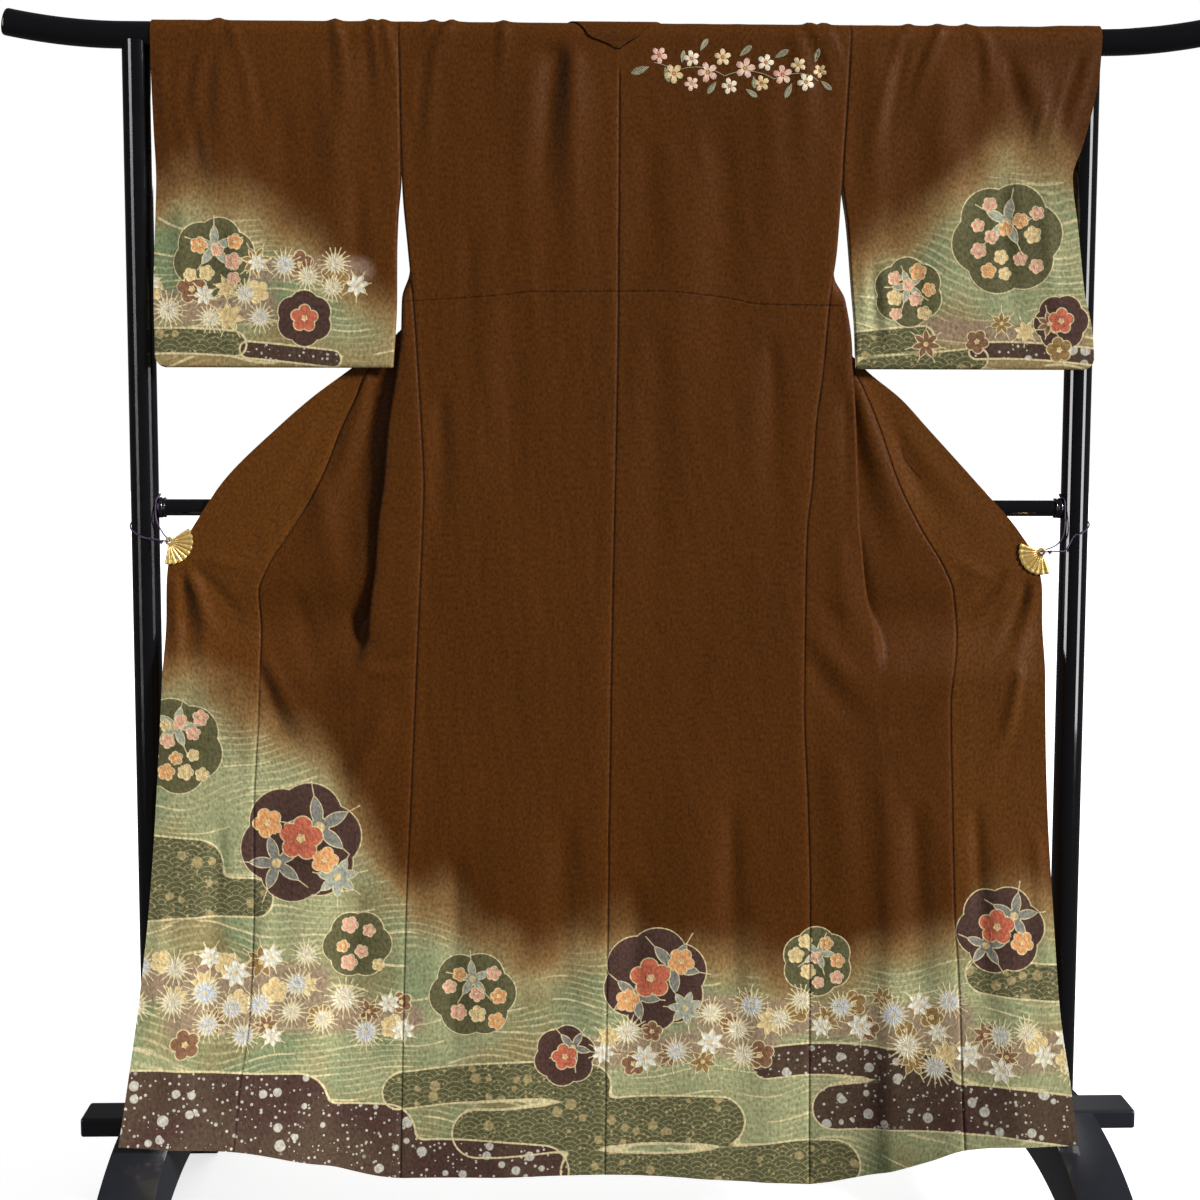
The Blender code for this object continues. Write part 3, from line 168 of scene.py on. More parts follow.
# Main folds, as in the solids: x high, z high, x low, z low, half width, height
BACK_FOLDS: Table = (
    (-0.05, 1.735, -0.062, 1.3, 0.022, 0.003), (-0.108, 1.735, -0.13, 1.33, 0.024, 0.0026),
    (-0.2, 1.6, -0.205, 1.05, 0.04, 0.0022), (0.09, 1.6, 0.075, 1.15, 0.045, 0.002),
    (0.215, 1.735, 0.235, 1.42, 0.022, 0.0022), (-0.15, 0.7, -0.165, 0.08, 0.05, 0.004),
    (0.11, 0.76, 0.125, 0.08, 0.05, 0.004), (0.225, 0.52, 0.235, 0.08, 0.03, 0.003))
SLEEVE_FOLDS: Table = (
    (-0.552, 1.735, -0.56, 1.46, 0.024, 0.004), (-0.395, 1.735, -0.402, 1.4, 0.022, 0.0032),
    (-0.6, 1.7, -0.63, 1.5, 0.018, 0.003), (-0.48, 1.6, -0.47, 1.29, 0.03, 0.0024),
    (0.375, 1.735, 0.368, 1.46, 0.018, 0.003), (0.47, 1.735, 0.462, 1.38, 0.024, 0.0036),
    (0.58, 1.72, 0.64, 1.565, 0.02, 0.0045), (0.56, 1.5, 0.535, 1.29, 0.032, 0.0026))
PANEL_FOLDS: Table = (
    (-0.625, 0.985, -0.56, 0.88, 0.016, 0.0035), (-0.636, 0.98, -0.628, 0.84, 0.012, 0.003),
    (-0.56, 0.85, -0.5, 0.7, 0.026, 0.003), (-0.43, 0.7, -0.45, 0.14, 0.045, 0.006),
    (-0.6, 0.6, -0.625, 0.18, 0.035, 0.005), (0.61, 0.975, 0.53, 0.8, 0.018, 0.004),
    (0.6, 0.86, 0.57, 0.73, 0.016, 0.0028), (0.39, 0.72, 0.4, 0.11, 0.042, 0.0055),
    (0.57, 0.62, 0.59, 0.17, 0.036, 0.005))

# Creases that face the viewer, ridges above 0 and troughs below:
# x and z at the top, at the middle and at the bottom, half width, height
BACK_CREASES: Table = (
    (-0.0742, 1.752, -0.093, 1.64, -0.105, 1.44, 0.012, -0.0026),
    (-0.0742, 1.75, -0.0735, 1.69, -0.0715, 1.61, 0.0045, -0.0016),
    (-0.056, 1.748, -0.062, 1.64, -0.069, 1.42, 0.012, 0.0022),
    (-0.229, 1.766, -0.258, 1.7, -0.264, 1.5, 0.008, 0.0026),
    (-0.247, 1.764, -0.268, 1.69, -0.276, 1.56, 0.006, -0.002),
    (-0.156, 1.766, -0.159, 1.73, -0.165, 1.64, 0.0055, 0.0022),
    (-0.165, 1.762, -0.17, 1.72, -0.176, 1.64, 0.0045, -0.0014),
    (-0.205, 1.48, -0.21, 1.3, -0.206, 1.12, 0.018, -0.0012),
    (0.274, 1.768, 0.301, 1.716, 0.312, 1.65, 0.006, 0.0026),
    (0.266, 1.762, 0.29, 1.7, 0.293, 1.6, 0.006, -0.0022),
    (0.29, 1.766, 0.314, 1.73, 0.32, 1.69, 0.0045, 0.0018),
    (0.256, 1.75, 0.27, 1.64, 0.26, 1.43, 0.015, 0.0016),
    (0.046, 1.6, 0.048, 1.46, 0.043, 1.32, 0.02, -0.0012),
    (0.15, 1.62, 0.156, 1.44, 0.152, 1.2, 0.024, -0.0014),
    (-0.142, 1.38, -0.145, 1.18, -0.139, 0.94, 0.026, -0.0012),
    (0.062, 1.33, 0.06, 1.06, 0.054, 0.76, 0.024, -0.0012),
    (0.225, 1.32, 0.23, 1.16, 0.226, 0.96, 0.015, -0.0014),
    (-0.248, 1.24, -0.247, 1.12, -0.248, 0.96, 0.013, -0.0015),
    (-0.07, 0.62, -0.076, 0.36, -0.079, 0.12, 0.026, -0.0022),
    (0.035, 0.52, 0.03, 0.3, 0.028, 0.1, 0.02, -0.0018),
    (-0.23, 0.56, -0.236, 0.33, -0.24, 0.11, 0.02, -0.002),
    (0.172, 0.64, 0.178, 0.36, 0.18, 0.1, 0.018, -0.0022))
LEFT_SLEEVE_CREASES: Table = (
    (-0.559, 1.766, -0.602, 1.665, -0.593, 1.548, 0.0065, -0.0026),
    (-0.559, 1.768, -0.588, 1.69, -0.573, 1.552, 0.006, 0.003),
    (-0.55, 1.764, -0.57, 1.67, -0.56, 1.56, 0.0055, -0.002),
    (-0.542, 1.766, -0.513, 1.68, -0.506, 1.56, 0.008, 0.0024),
    (-0.533, 1.756, -0.5, 1.65, -0.496, 1.54, 0.008, -0.0014),
    (-0.635, 1.72, -0.633, 1.64, -0.618, 1.56, 0.005, 0.0018),
    (-0.622, 1.64, -0.619, 1.59, -0.608, 1.548, 0.004, -0.0014),
    (-0.605, 1.63, -0.601, 1.585, -0.59, 1.545, 0.004, 0.0013),
    (-0.59, 1.625, -0.588, 1.585, -0.58, 1.55, 0.0035, -0.0013),
    (-0.578, 1.61, -0.576, 1.58, -0.57, 1.552, 0.0035, 0.001),
    (-0.396, 1.768, -0.38, 1.7, -0.382, 1.6, 0.006, 0.0022),
    (-0.406, 1.762, -0.4, 1.68, -0.4, 1.59, 0.006, -0.0014),
    (-0.343, 1.77, -0.334, 1.716, -0.33, 1.64, 0.005, 0.0032),
    (-0.336, 1.764, -0.328, 1.71, -0.326, 1.65, 0.0035, -0.002),
    (-0.329, 1.77, -0.314, 1.722, -0.312, 1.66, 0.005, 0.0028),
    (-0.35, 1.76, -0.348, 1.69, -0.344, 1.59, 0.006, -0.0016),
    (-0.47, 1.64, -0.462, 1.5, -0.456, 1.36, 0.018, -0.0012),
    (-0.54, 1.48, -0.534, 1.4, -0.538, 1.32, 0.014, 0.0012),
    (-0.362, 1.54, -0.364, 1.42, -0.358, 1.31, 0.013, -0.0014),
    (-0.61, 1.5, -0.612, 1.4, -0.606, 1.31, 0.012, 0.0014))
RIGHT_SLEEVE_CREASES: Table = (
    (0.469, 1.768, 0.44, 1.715, 0.414, 1.6, 0.0075, 0.0026),
    (0.456, 1.762, 0.426, 1.7, 0.403, 1.6, 0.007, -0.002),
    (0.512, 1.768, 0.532, 1.716, 0.528, 1.632, 0.0065, 0.0022),
    (0.502, 1.762, 0.518, 1.7, 0.514, 1.61, 0.006, -0.0014),
    (0.418, 1.756, 0.396, 1.66, 0.376, 1.56, 0.007, -0.0034),
    (0.404, 1.754, 0.378, 1.65, 0.364, 1.56, 0.006, 0.0014),
    (0.668, 1.74, 0.638, 1.66, 0.622, 1.584, 0.0055, -0.0022),
    (0.678, 1.73, 0.656, 1.65, 0.635, 1.582, 0.005, 0.002),
    (0.644, 1.7, 0.626, 1.64, 0.614, 1.584, 0.0045, 0.0018),
    (0.628, 1.68, 0.614, 1.63, 0.606, 1.586, 0.004, -0.0016),
    (0.612, 1.66, 0.602, 1.62, 0.598, 1.588, 0.004, 0.0012),
    (0.598, 1.64, 0.592, 1.612, 0.59, 1.586, 0.0035, -0.001),
    (0.556, 1.73, 0.578, 1.65, 0.596, 1.59, 0.01, -0.0018),
    (0.37, 1.42, 0.374, 1.34, 0.386, 1.29, 0.007, -0.0024),
    (0.386, 1.43, 0.39, 1.35, 0.404, 1.292, 0.008, 0.0018),
    (0.356, 1.44, 0.358, 1.36, 0.362, 1.292, 0.006, 0.0016),
    (0.43, 1.44, 0.436, 1.36, 0.452, 1.292, 0.01, -0.0016),
    (0.556, 1.54, 0.564, 1.42, 0.586, 1.296, 0.012, -0.0018),
    (0.615, 1.5, 0.628, 1.4, 0.65, 1.31, 0.01, 0.0016), (0.49, 1.6, 0.486, 1.48, 0.49, 1.32, 0.016, 0.0012))
FRONT_CREASES: Table = (
    (-0.605, 0.998, -0.56, 0.95, -0.514, 0.883, 0.007, -0.0034),
    (-0.612, 0.99, -0.586, 0.93, -0.56, 0.86, 0.0075, 0.0022),
    (-0.62, 0.991, -0.615, 0.925, -0.607, 0.8, 0.0065, -0.0034),
    (-0.632, 0.985, -0.629, 0.9, -0.625, 0.78, 0.006, 0.0024),
    (-0.602, 0.98, -0.588, 0.88, -0.58, 0.76, 0.009, 0.0022),
    (-0.58, 1.01, -0.54, 1.0, -0.496, 1.01, 0.008, 0.0018),
    (-0.507, 0.85, -0.482, 0.781, -0.44, 0.7, 0.0085, -0.0034),
    (-0.5, 0.868, -0.46, 0.79, -0.416, 0.715, 0.01, 0.0022),
    (-0.375, 0.93, -0.356, 0.893, -0.33, 0.878, 0.01, -0.0036),
    (-0.348, 0.86, -0.318, 0.866, -0.288, 0.884, 0.007, -0.0026),
    (-0.348, 0.846, -0.315, 0.85, -0.288, 0.866, 0.007, 0.002),
    (-0.33, 1.06, -0.348, 0.98, -0.36, 0.9, 0.009, 0.0022),
    (-0.43, 1.13, -0.4, 0.98, -0.39, 0.84, 0.018, 0.0018),
    (-0.46, 0.96, -0.43, 0.86, -0.39, 0.76, 0.016, -0.0016),
    (-0.33, 0.78, -0.38, 0.66, -0.4, 0.52, 0.02, 0.0022),
    (-0.37, 0.52, -0.385, 0.36, -0.39, 0.16, 0.02, -0.0024),
    (-0.5, 0.52, -0.515, 0.36, -0.525, 0.2, 0.016, 0.0024),
    (-0.57, 0.62, -0.58, 0.44, -0.59, 0.23, 0.014, -0.0026),
    (-0.65, 0.52, -0.66, 0.38, -0.675, 0.22, 0.01, 0.002),
    (0.571, 0.986, 0.543, 0.963, 0.503, 0.93, 0.0065, -0.0034),
    (0.576, 0.972, 0.544, 0.935, 0.51, 0.9, 0.0075, 0.0022),
    (0.605, 0.979, 0.573, 0.89, 0.505, 0.778, 0.01, -0.0044),
    (0.612, 0.97, 0.596, 0.89, 0.546, 0.78, 0.01, 0.0026),
    (0.59, 0.85, 0.58, 0.78, 0.55, 0.7, 0.0085, 0.003),
    (0.6, 0.85, 0.588, 0.76, 0.57, 0.68, 0.007, -0.0018),
    (0.548, 0.985, 0.51, 1.0, 0.47, 1.03, 0.009, 0.0014),
    (0.348, 1.04, 0.364, 0.96, 0.384, 0.886, 0.01, -0.0034),
    (0.328, 1.04, 0.34, 0.94, 0.36, 0.86, 0.011, 0.002),
    (0.3, 0.95, 0.32, 0.925, 0.342, 0.905, 0.007, -0.0024),
    (0.295, 0.9, 0.33, 0.85, 0.395, 0.79, 0.012, 0.0024),
    (0.295, 0.86, 0.33, 0.8, 0.4, 0.74, 0.012, -0.0022),
    (0.4, 0.76, 0.45, 0.79, 0.49, 0.85, 0.014, -0.0016),
    (0.32, 0.72, 0.34, 0.56, 0.345, 0.34, 0.018, 0.0022),
    (0.44, 0.64, 0.45, 0.44, 0.45, 0.18, 0.018, -0.0026),
    (0.53, 0.64, 0.54, 0.44, 0.545, 0.2, 0.012, -0.0024),
    (0.62, 0.6, 0.63, 0.42, 0.64, 0.22, 0.011, 0.0022),
    (-0.43, 1.2, -0.476, 1.12, -0.52, 1.06, 0.01, 0.0016),
    (0.41, 1.19, 0.446, 1.11, 0.484, 1.05, 0.01, -0.0018))
# Creases on the side away from the viewer
FAR_CREASES: Table = (
    (-0.52, 1.766, -0.53, 1.68, -0.52, 1.54, 0.009, 0.0024),
    (-0.44, 1.764, -0.43, 1.66, -0.436, 1.47, 0.012, -0.0022),
    (-0.35, 1.766, -0.356, 1.69, -0.35, 1.6, 0.007, 0.0022),
    (-0.26, 1.764, -0.25, 1.68, -0.246, 1.52, 0.009, 0.0022),
    (-0.19, 1.762, -0.19, 1.66, -0.204, 1.5, 0.01, -0.0022),
    (-0.14, 1.76, -0.15, 1.69, -0.17, 1.6, 0.007, 0.0018),
    (0.5, 1.766, 0.49, 1.69, 0.498, 1.56, 0.009, 0.0022),
    (0.42, 1.764, 0.43, 1.65, 0.424, 1.48, 0.012, -0.0022),
    (0.27, 1.764, 0.262, 1.69, 0.256, 1.54, 0.008, 0.0024),
    (0.21, 1.762, 0.206, 1.67, 0.22, 1.51, 0.01, -0.002),
    (0.15, 1.76, 0.162, 1.69, 0.18, 1.59, 0.007, 0.0018))

# Pinches that cross the rod, in the same columns
BACK_PINCHES: Table = (
    (-0.2558, 1.812, -0.2575, 1.772, -0.266, 1.69, 0.0062, 0.004),
    (-0.2275, 1.81, -0.23, 1.77, -0.242, 1.68, 0.0062, 0.004),
    (-0.1569, 1.812, -0.1575, 1.772, -0.16, 1.7, 0.0068, 0.0036),
    (0.274, 1.812, 0.278, 1.77, 0.296, 1.69, 0.0062, 0.004),
    (0.293, 1.81, 0.299, 1.768, 0.316, 1.7, 0.0062, 0.0038),
    (-0.09, 1.752, -0.101, 1.64, -0.112, 1.42, 0.015, -0.003))
LEFT_SLEEVE_PINCHES: Table = (
    (-0.558, 1.812, -0.559, 1.772, -0.572, 1.69, 0.0062, 0.004),
    (-0.3956, 1.812, -0.394, 1.77, -0.386, 1.69, 0.0062, 0.004),
    (-0.3462, 1.812, -0.344, 1.772, -0.336, 1.7, 0.0062, 0.004),
    (-0.3306, 1.81, -0.326, 1.77, -0.316, 1.7, 0.0062, 0.004))
RIGHT_SLEEVE_PINCHES: Table = (
    (0.4618, 1.812, 0.459, 1.772, 0.436, 1.68, 0.0062, 0.004),
    (0.4971, 1.812, 0.502, 1.772, 0.526, 1.69, 0.0062, 0.004),
    (0.42, 1.806, 0.416, 1.76, 0.398, 1.66, 0.0062, 0.003))
# Broad folds that run down the drawn-out panels to the clips, in the same columns
PANEL_SWEEPS: Table = (
    (-0.348, 1.29, -0.396, 1.13, -0.468, 1.0, 0.013, 0.0044),
    (-0.335, 1.26, -0.372, 1.12, -0.43, 0.94, 0.019, -0.0052),
    (-0.356, 1.06, -0.362, 0.98, -0.39, 0.9, 0.016, 0.004),
    (-0.385, 1.25, -0.45, 1.15, -0.54, 1.05, 0.022, -0.0036),
    (-0.435, 1.19, -0.5, 1.11, -0.59, 1.03, 0.015, 0.003),
    (0.342, 1.29, 0.39, 1.13, 0.45, 0.98, 0.015, 0.0046),
    (0.336, 1.24, 0.36, 1.12, 0.4, 0.96, 0.018, -0.0052),
    (0.39, 1.23, 0.45, 1.13, 0.53, 1.04, 0.02, -0.0036), (0.42, 1.2, 0.48, 1.12, 0.57, 1.02, 0.014, 0.003))
# Times the height of a table's creases, times that of the wide ones, and the steepest share of the half width
BACK_GAIN = 1.7
FRONT_GAIN = 1.45
WIDE_GAIN = 1.35
WIDE_CREASE = 0.012
STEEPEST_CREASE = 0.46

# Neck seam: distance out on the near side and on the far side
NECK_LEFT = (0.037, 0.09)
NECK_RIGHT = (0.0335, 0.092)
# Collar below the rod, near side: share of the seam's distance out, fall, fold edge out, run
NECK_POINT: Table = ((0.0, -0.017, 0.0, 0.044), (0.45, -0.0085, 0.006, 0.045))
# Collar's fold edge over the rod: distance out, run
NECK_FOLD: Table = (
    (0.014, 0.05), (0.019, 0.059), (0.0245, 0.068), (0.03, 0.077), (0.0355, 0.085),
    (0.041, 0.092), (0.0465, 0.1))
# Collar below the rod, far side: distance out, run past the rod, fold edge out, run
NECK_FALL: Table = (
    (0.094, 0.012, 0.051, 0.113), (0.099, 0.024, 0.057, 0.127), (0.107, 0.036, 0.0645, 0.138))
COLLAR_NECK: Table = (
    (1.7, 0.0286), (1.712, 0.0332), (1.724, 0.0344), (1.736, 0.0306), (1.748, 0.0221))
# x, height of the sewn tuck across the back
TUCK_LINE: Table = (
    (-0.29, 1.3765), (-0.167, 1.385), (-0.114, 1.3905), (0.008, 1.3912), (0.059, 1.392),
    (0.156, 1.3835), (0.21, 1.374), (0.31, 1.3725))


def curve_value(table: Table, column: int, x: np.ndarray | float) -> np.ndarray:
    """Read a smooth monotone value from one column of a table.

    Args:
        table: Rows that start with the place along the curve.
        column: Column to read.
        x: Places to read it at.

    Returns:
        The values at x.
    """
    rows = np.asarray(table, dtype=float)
    xs, ys = rows[:, 0], rows[:, column]
    step = np.diff(xs)
    slope = np.diff(ys) / step
    tangent = np.zeros_like(ys)
    tangent[0], tangent[-1] = slope[0], slope[-1]
    same = slope[:-1] * slope[1:] > 0
    weight_a = 2 * step[1:] + step[:-1]
    weight_b = step[1:] + 2 * step[:-1]
    safe_a = np.where(same, slope[:-1], 1.0)
    safe_b = np.where(same, slope[1:], 1.0)
    mean = (weight_a + weight_b) / (weight_a / safe_a + weight_b / safe_b)
    tangent[1:-1] = np.where(same, mean, 0.0)
    x = np.clip(np.asarray(x, dtype=float), xs[0], xs[-1])
    at = np.clip(np.searchsorted(xs, x, side="right") - 1, 0, len(xs) - 2)
    h = step[at]
    t = (x - xs[at]) / h
    low = (1 + 2 * t) * (1 - t) ** 2 * ys[at] + t * (1 - t) ** 2 * h * tangent[at]
    return low + t * t * (3 - 2 * t) * ys[at + 1] + t * t * (t - 1) * h * tangent[at + 1]


def ease(x: np.ndarray | float, low: float, high: float) -> np.ndarray:
    """Give the smooth step of x from 0 at low to 1 at high."""
    t = np.clip((np.asarray(x, dtype=float) - low) / (high - low), 0.0, 1.0)
    return t * t * (3 - 2 * t)


def fold_height(folds: Table, x: np.ndarray, z: np.ndarray) -> np.ndarray:
    """Add up the main folds.

    Args:
        folds: Rows of x and z at the top and at the bottom, half width and height.
        x: Places across.
        z: Places up.

    Returns:
        The height of the folds at each place.
    """
    total = np.zeros(np.broadcast(x, z).shape)
    for x_high, z_high, x_low, z_low, width, height in folds:
        dx, dz = x_low - x_high, z_low - z_high
        length = math.hypot(dx, dz)
        along = ((x - x_high) * dx + (z - z_high) * dz) / length
        across = ((x - x_high) * dz - (z - z_high) * dx) / length
        fade = ease(along, -0.25 * width, 0.20 * length)
        if z_low > 0.2:
            fade = fade * (1 - ease(along, 0.55 * length, length + 0.5 * width))
        total = total + height * fade * np.exp(-(across / width) ** 2)
    return total


def crease_height(creases: Table, x: np.ndarray, z: np.ndarray, gain: float = 0.0) -> np.ndarray:
    """Add up the fine creases, each a bent line that is deepest at its start.

    Args:
        creases: Rows of three points from the tight end to the loose end, half width and height.
        x: Places across.
        z: Places up.
        gain: Times the height of each crease, or 0 where the table's heights stand as they are.

    Returns:
        The height of the creases at each place, in metres.
    """
    total = np.zeros(x.shape)
    for x0, z0, x1, z1, x2, z2, width, height in creases:
        if gain:
            steep = STEEPEST_CREASE * width
            height = max(-steep, min(steep, height * gain * (WIDE_GAIN if width >= WIDE_CREASE else 1.0)))
        reach = 4 * width
        near = (x > min(x0, x1, x2) - reach) & (x < max(x0, x1, x2) + reach)
        near &= (z > min(z0, z1, z2) - reach) & (z < max(z0, z1, z2) + reach)
        if not near.any():
            continue
        px, pz = x[near], z[near]
        best = np.full(px.shape, 9.0)
        share = np.zeros(px.shape)
        steps = np.linspace(0.0, 1.0, 15)
        bend_x, bend_z = 2 * x1 - (x0 + x2) / 2, 2 * z1 - (z0 + z2) / 2
        line_x = (1 - steps) ** 2 * x0 + 2 * steps * (1 - steps) * bend_x + steps ** 2 * x2
        line_z = (1 - steps) ** 2 * z0 + 2 * steps * (1 - steps) * bend_z + steps ** 2 * z2
        for index in range(len(steps) - 1):
            dx, dz = line_x[index + 1] - line_x[index], line_z[index + 1] - line_z[index]
            t = ((px - line_x[index]) * dx + (pz - line_z[index]) * dz) / (dx * dx + dz * dz)
            t = np.clip(t, 0.0, 1.0)
            gap = np.hypot(px - line_x[index] - t * dx, pz - line_z[index] - t * dz)
            closer = gap < best
            best = np.where(closer, gap, best)
            share = np.where(closer, (index + t) / (len(steps) - 1), share)
        wide = width * (0.75 + 0.9 * share)
        fade = ease(share, -0.10, 0.10) * (1 - ease(share, 0.35, 1.0))
        total[near] += height * fade * np.exp(-(best / wide) ** 2)
    return total


def crumple(x: np.ndarray, z: np.ndarray, seed: int, height: float = 0.00032) -> np.ndarray:
    """Give the low uneven swell that hanging silk has between its folds.

    Args:
        x: Places across.
        z: Places up.
        seed: Fixed seed of the swell.
        height: Height of one wave.

    Returns:
        The height at each place, in metres.
    """
    pick = random.Random(seed)
    total = np.zeros(x.shape)
    for _ in range(16):
        turn = pick.gauss(0.0, 0.42)
        wave = 2 * math.pi / pick.uniform(0.018, 0.085)
        slow = 2 * math.pi / pick.uniform(0.12, 0.40)
        along = x * math.cos(turn) + z * math.sin(turn) * 0.45
        shift = 1.3 * np.sin(slow * z + pick.uniform(0, 6.3))
        swell = 0.55 + 0.45 * np.sin(slow * (x + 0.7 * z) + pick.uniform(0, 6.3))
        total += pick.uniform(0.4, 1.0) * swell * np.sin(wave * along + shift + pick.uniform(0, 6.3))
    return height * total / 2.2


def turned(angle_0: np.ndarray, angle_1: np.ndarray, arc: float, share: float) -> Pair:
    """Advance along an arc that turns from one heading to another.

    Args:
        angle_0: Heading at the start.
        angle_1: Heading at the end.
        arc: Length of the whole arc.
        share: Share of it that is walked.

    Returns:
        The advance outwards and away.
    """
    bend = angle_1 - angle_0
    here = angle_0 + bend * share
    flat = np.abs(bend) < 1e-4
    safe = np.where(flat, 1.0, bend)
    out = np.where(flat, arc * share * np.cos(angle_0), arc / safe * (np.sin(here) - np.sin(angle_0)))
    away = np.where(flat, arc * share * np.sin(angle_0), arc / safe * (np.cos(angle_0) - np.cos(here)))
    return out, away


@dataclass(frozen=True)
class Half:
    """One half of the garment, measured outwards from the middle.

    Attributes:
        sign: -1 on the left of the picture, 1 on the right.
        edge: Outer edge of the back panel by height.
        front: Runs and edges of the front panel by height.
        hem: Hem height of the front panel by distance out from the side seam.
        neck: Neck seam's distance out on the near and on the far side.
    """

    sign: int
    edge: Table
    front: Table
    hem: Table
    neck: tuple[float, float]

    def lean(self, z: np.ndarray) -> np.ndarray:
        """Give the forward lean of the lower front panels."""
        return np.clip((0.75 - z) / 0.57, 0.0, 1.2) ** 2

    def panel_end(self, z: np.ndarray) -> np.ndarray:
        """Give the distance out of the front panel's inner sewn edge."""
        seam = curve_value(self.front, 3, z) - SEAM_MEET / 2
        return np.where(z > KENSAKI_Z + 0.002, curve_value(self.front, 4, z), seam)

    def runs(self, z: np.ndarray) -> tuple[list[np.ndarray], list[np.ndarray]]:
        """Measure the five runs of the pleated front panel.

        Args:
            z: Heights.

        Returns:
            The heading at the start and end of the straight runs, and the length of every run.
        """
        first = np.where(z > 1.45, math.pi, math.pi * ease(z, SIDE_SEAM_TOP, 1.46))
        second = math.pi * ease(z, *PLEAT_OPENS)
        last = second - second * (1 - ease(z, ROLL_Z, ROD_Z))
        length_1 = curve_value(self.front, 1, z)
        length_2 = curve_value(self.front, 2, z)
        out = curve_value(self.edge, 1, z) + SEAM_MEET / 2
        base = out + length_1 * np.cos(first) + turned(first, second, TURN_ARC, 1.0)[0]
        base = base + length_2 * np.cos(second) + turned(second, last, TURN_ARC, 1.0)[0]
        level = np.full_like(z, ROLL_Z)
        roll = curve_value(self.edge, 1, level) + SEAM_MEET / 2 - curve_value(self.front, 1, level)
        roll = roll - TURN_ARC - curve_value(self.front, 2, level)
        top = (self.panel_end(level) - roll) * (1 - 0.6 * ease(z, ROLL_Z, 1.716))
        length_3 = np.where(z < ROLL_Z, self.panel_end(z) - base, top)
        turn = np.full_like(z, TURN_ARC)
        return [first, second, last], [length_1, turn, length_2, turn, length_3]

    def panel_point(self, run: int, share: float, z: np.ndarray) -> Pair:
        """Find a front panel point on one of its five runs.

        Args:
            run: Number of the run, from the side seam.
            share: Share of that run.
            z: Heights.

        Returns:
            The distance out and the depth.
        """
        (first, second, last), lengths = self.runs(z)
        out = curve_value(self.edge, 1, z) + SEAM_MEET / 2
        away = np.where(z < SIDE_SEAM_TOP, curve_value(BACK_PLANE, 1, z), curve_value(FAR_PLANE, 1, z))
        headings = ((first, first), (first, second), (second, second), (second, last), (last, last))
        for index in range(run + 1):
            part = share if index == run else 1.0
            start, end = headings[index]
            if index % 2:
                step_out, step_away = turned(start, end, TURN_ARC, part)
            else:
                walked = part * lengths[index]
                step_out, step_away = walked * np.cos(start), walked * np.sin(start)
            out, away = out + step_out, away + step_away
        return out, away

    def shear(self, out: np.ndarray, z: np.ndarray) -> np.ndarray:
        """Give the forward lean at a distance out."""
        gap = np.maximum(out - curve_value(self.edge, 1, z), 0.0)
        return -self.lean(z) * curve_value(LEAN_SHARE, 1, gap)

    def run_depth(self, z: np.ndarray) -> np.ndarray:
        """Give the depth of the last run, where the overlap and the collar lie."""
        return self.panel_point(3, 1.0, z)[1]

    def fold(self, out: np.ndarray, z: np.ndarray) -> np.ndarray:
        """Give the height of the main folds on the spread part of the front panel."""
        outside = ease(out - curve_value(self.edge, 1, z), 0.085, 0.12) * (1 - ease(z, 0.90, 0.97))
        return outside * fold_height(PANEL_FOLDS, self.sign * out, z)


LEFT = Half(-1, EDGE_LEFT, FRONT_LEFT, FRONT_HEM_LEFT, NECK_LEFT)
RIGHT = Half(1, EDGE_RIGHT, FRONT_RIGHT, FRONT_HEM_RIGHT, NECK_RIGHT)


@dataclass
class Sheet:
    """Fine middle surface of one cut piece of cloth.

    Attributes:
        points: Places of the middle surface.
        faces: Four-sided faces.
        cut: Place of each point on the flat cut, across and along, in metres.
        seam: Distance of each point from the nearest sewn edge.
        zone: 1 where a point shows to the viewer, 0 where it lies behind.
    """

    points: np.ndarray
    faces: np.ndarray
    cut: np.ndarray
    seam: np.ndarray
    zone: np.ndarray

    def spread(self) -> np.ndarray:
        """Give each face's normal, twice as long as the face is large."""
        corner = self.points[self.faces]
        return np.cross(corner[:, 2] - corner[:, 0], corner[:, 3] - corner[:, 1])

    def normals(self, rounds: int = 0) -> np.ndarray:
        """Give the mean normal at each point.

        Args:
            rounds: Times that each normal is evened out with its neighbours.

        Returns:
            One unit normal for each point.
        """
        spread = self.spread()
        for turn in range(rounds + 1):
            if turn:
                spread = normal[self.faces].mean(axis=1)
            total = np.zeros_like(self.points)
            for index in range(4):
                np.add.at(total, self.faces[:, index], spread)
            normal = total / np.maximum(np.linalg.norm(total, axis=1), 1e-12)[:, None]
        return normal

    def raise_by(self, height: np.ndarray) -> None:
        """Move each point along its normal."""
        self.points = self.points + self.normals() * height[:, None]

    def area(self) -> float:
        """Give the area of the middle surface in square metres."""
        return float(np.linalg.norm(self.spread(), axis=1).sum() / 2)


def grid_faces(rows: int, columns: int) -> np.ndarray:
    """List the faces of a grid of rows by columns of points."""
    start = (np.arange(rows - 1)[:, None] * columns + np.arange(columns - 1)[None, :]).ravel()
    return np.stack([start, start + 1, start + columns + 1, start + columns], axis=1)


def walk(points: np.ndarray, axis: int) -> np.ndarray:
    """Measure the distance walked along one axis of a grid of points."""
    steps = np.linalg.norm(np.diff(points, axis=axis), axis=2)
    total = np.cumsum(steps, axis=axis)
    pad = [(0, 0), (0, 0)]
    pad[axis] = (1, 0)
    return np.pad(total, pad)


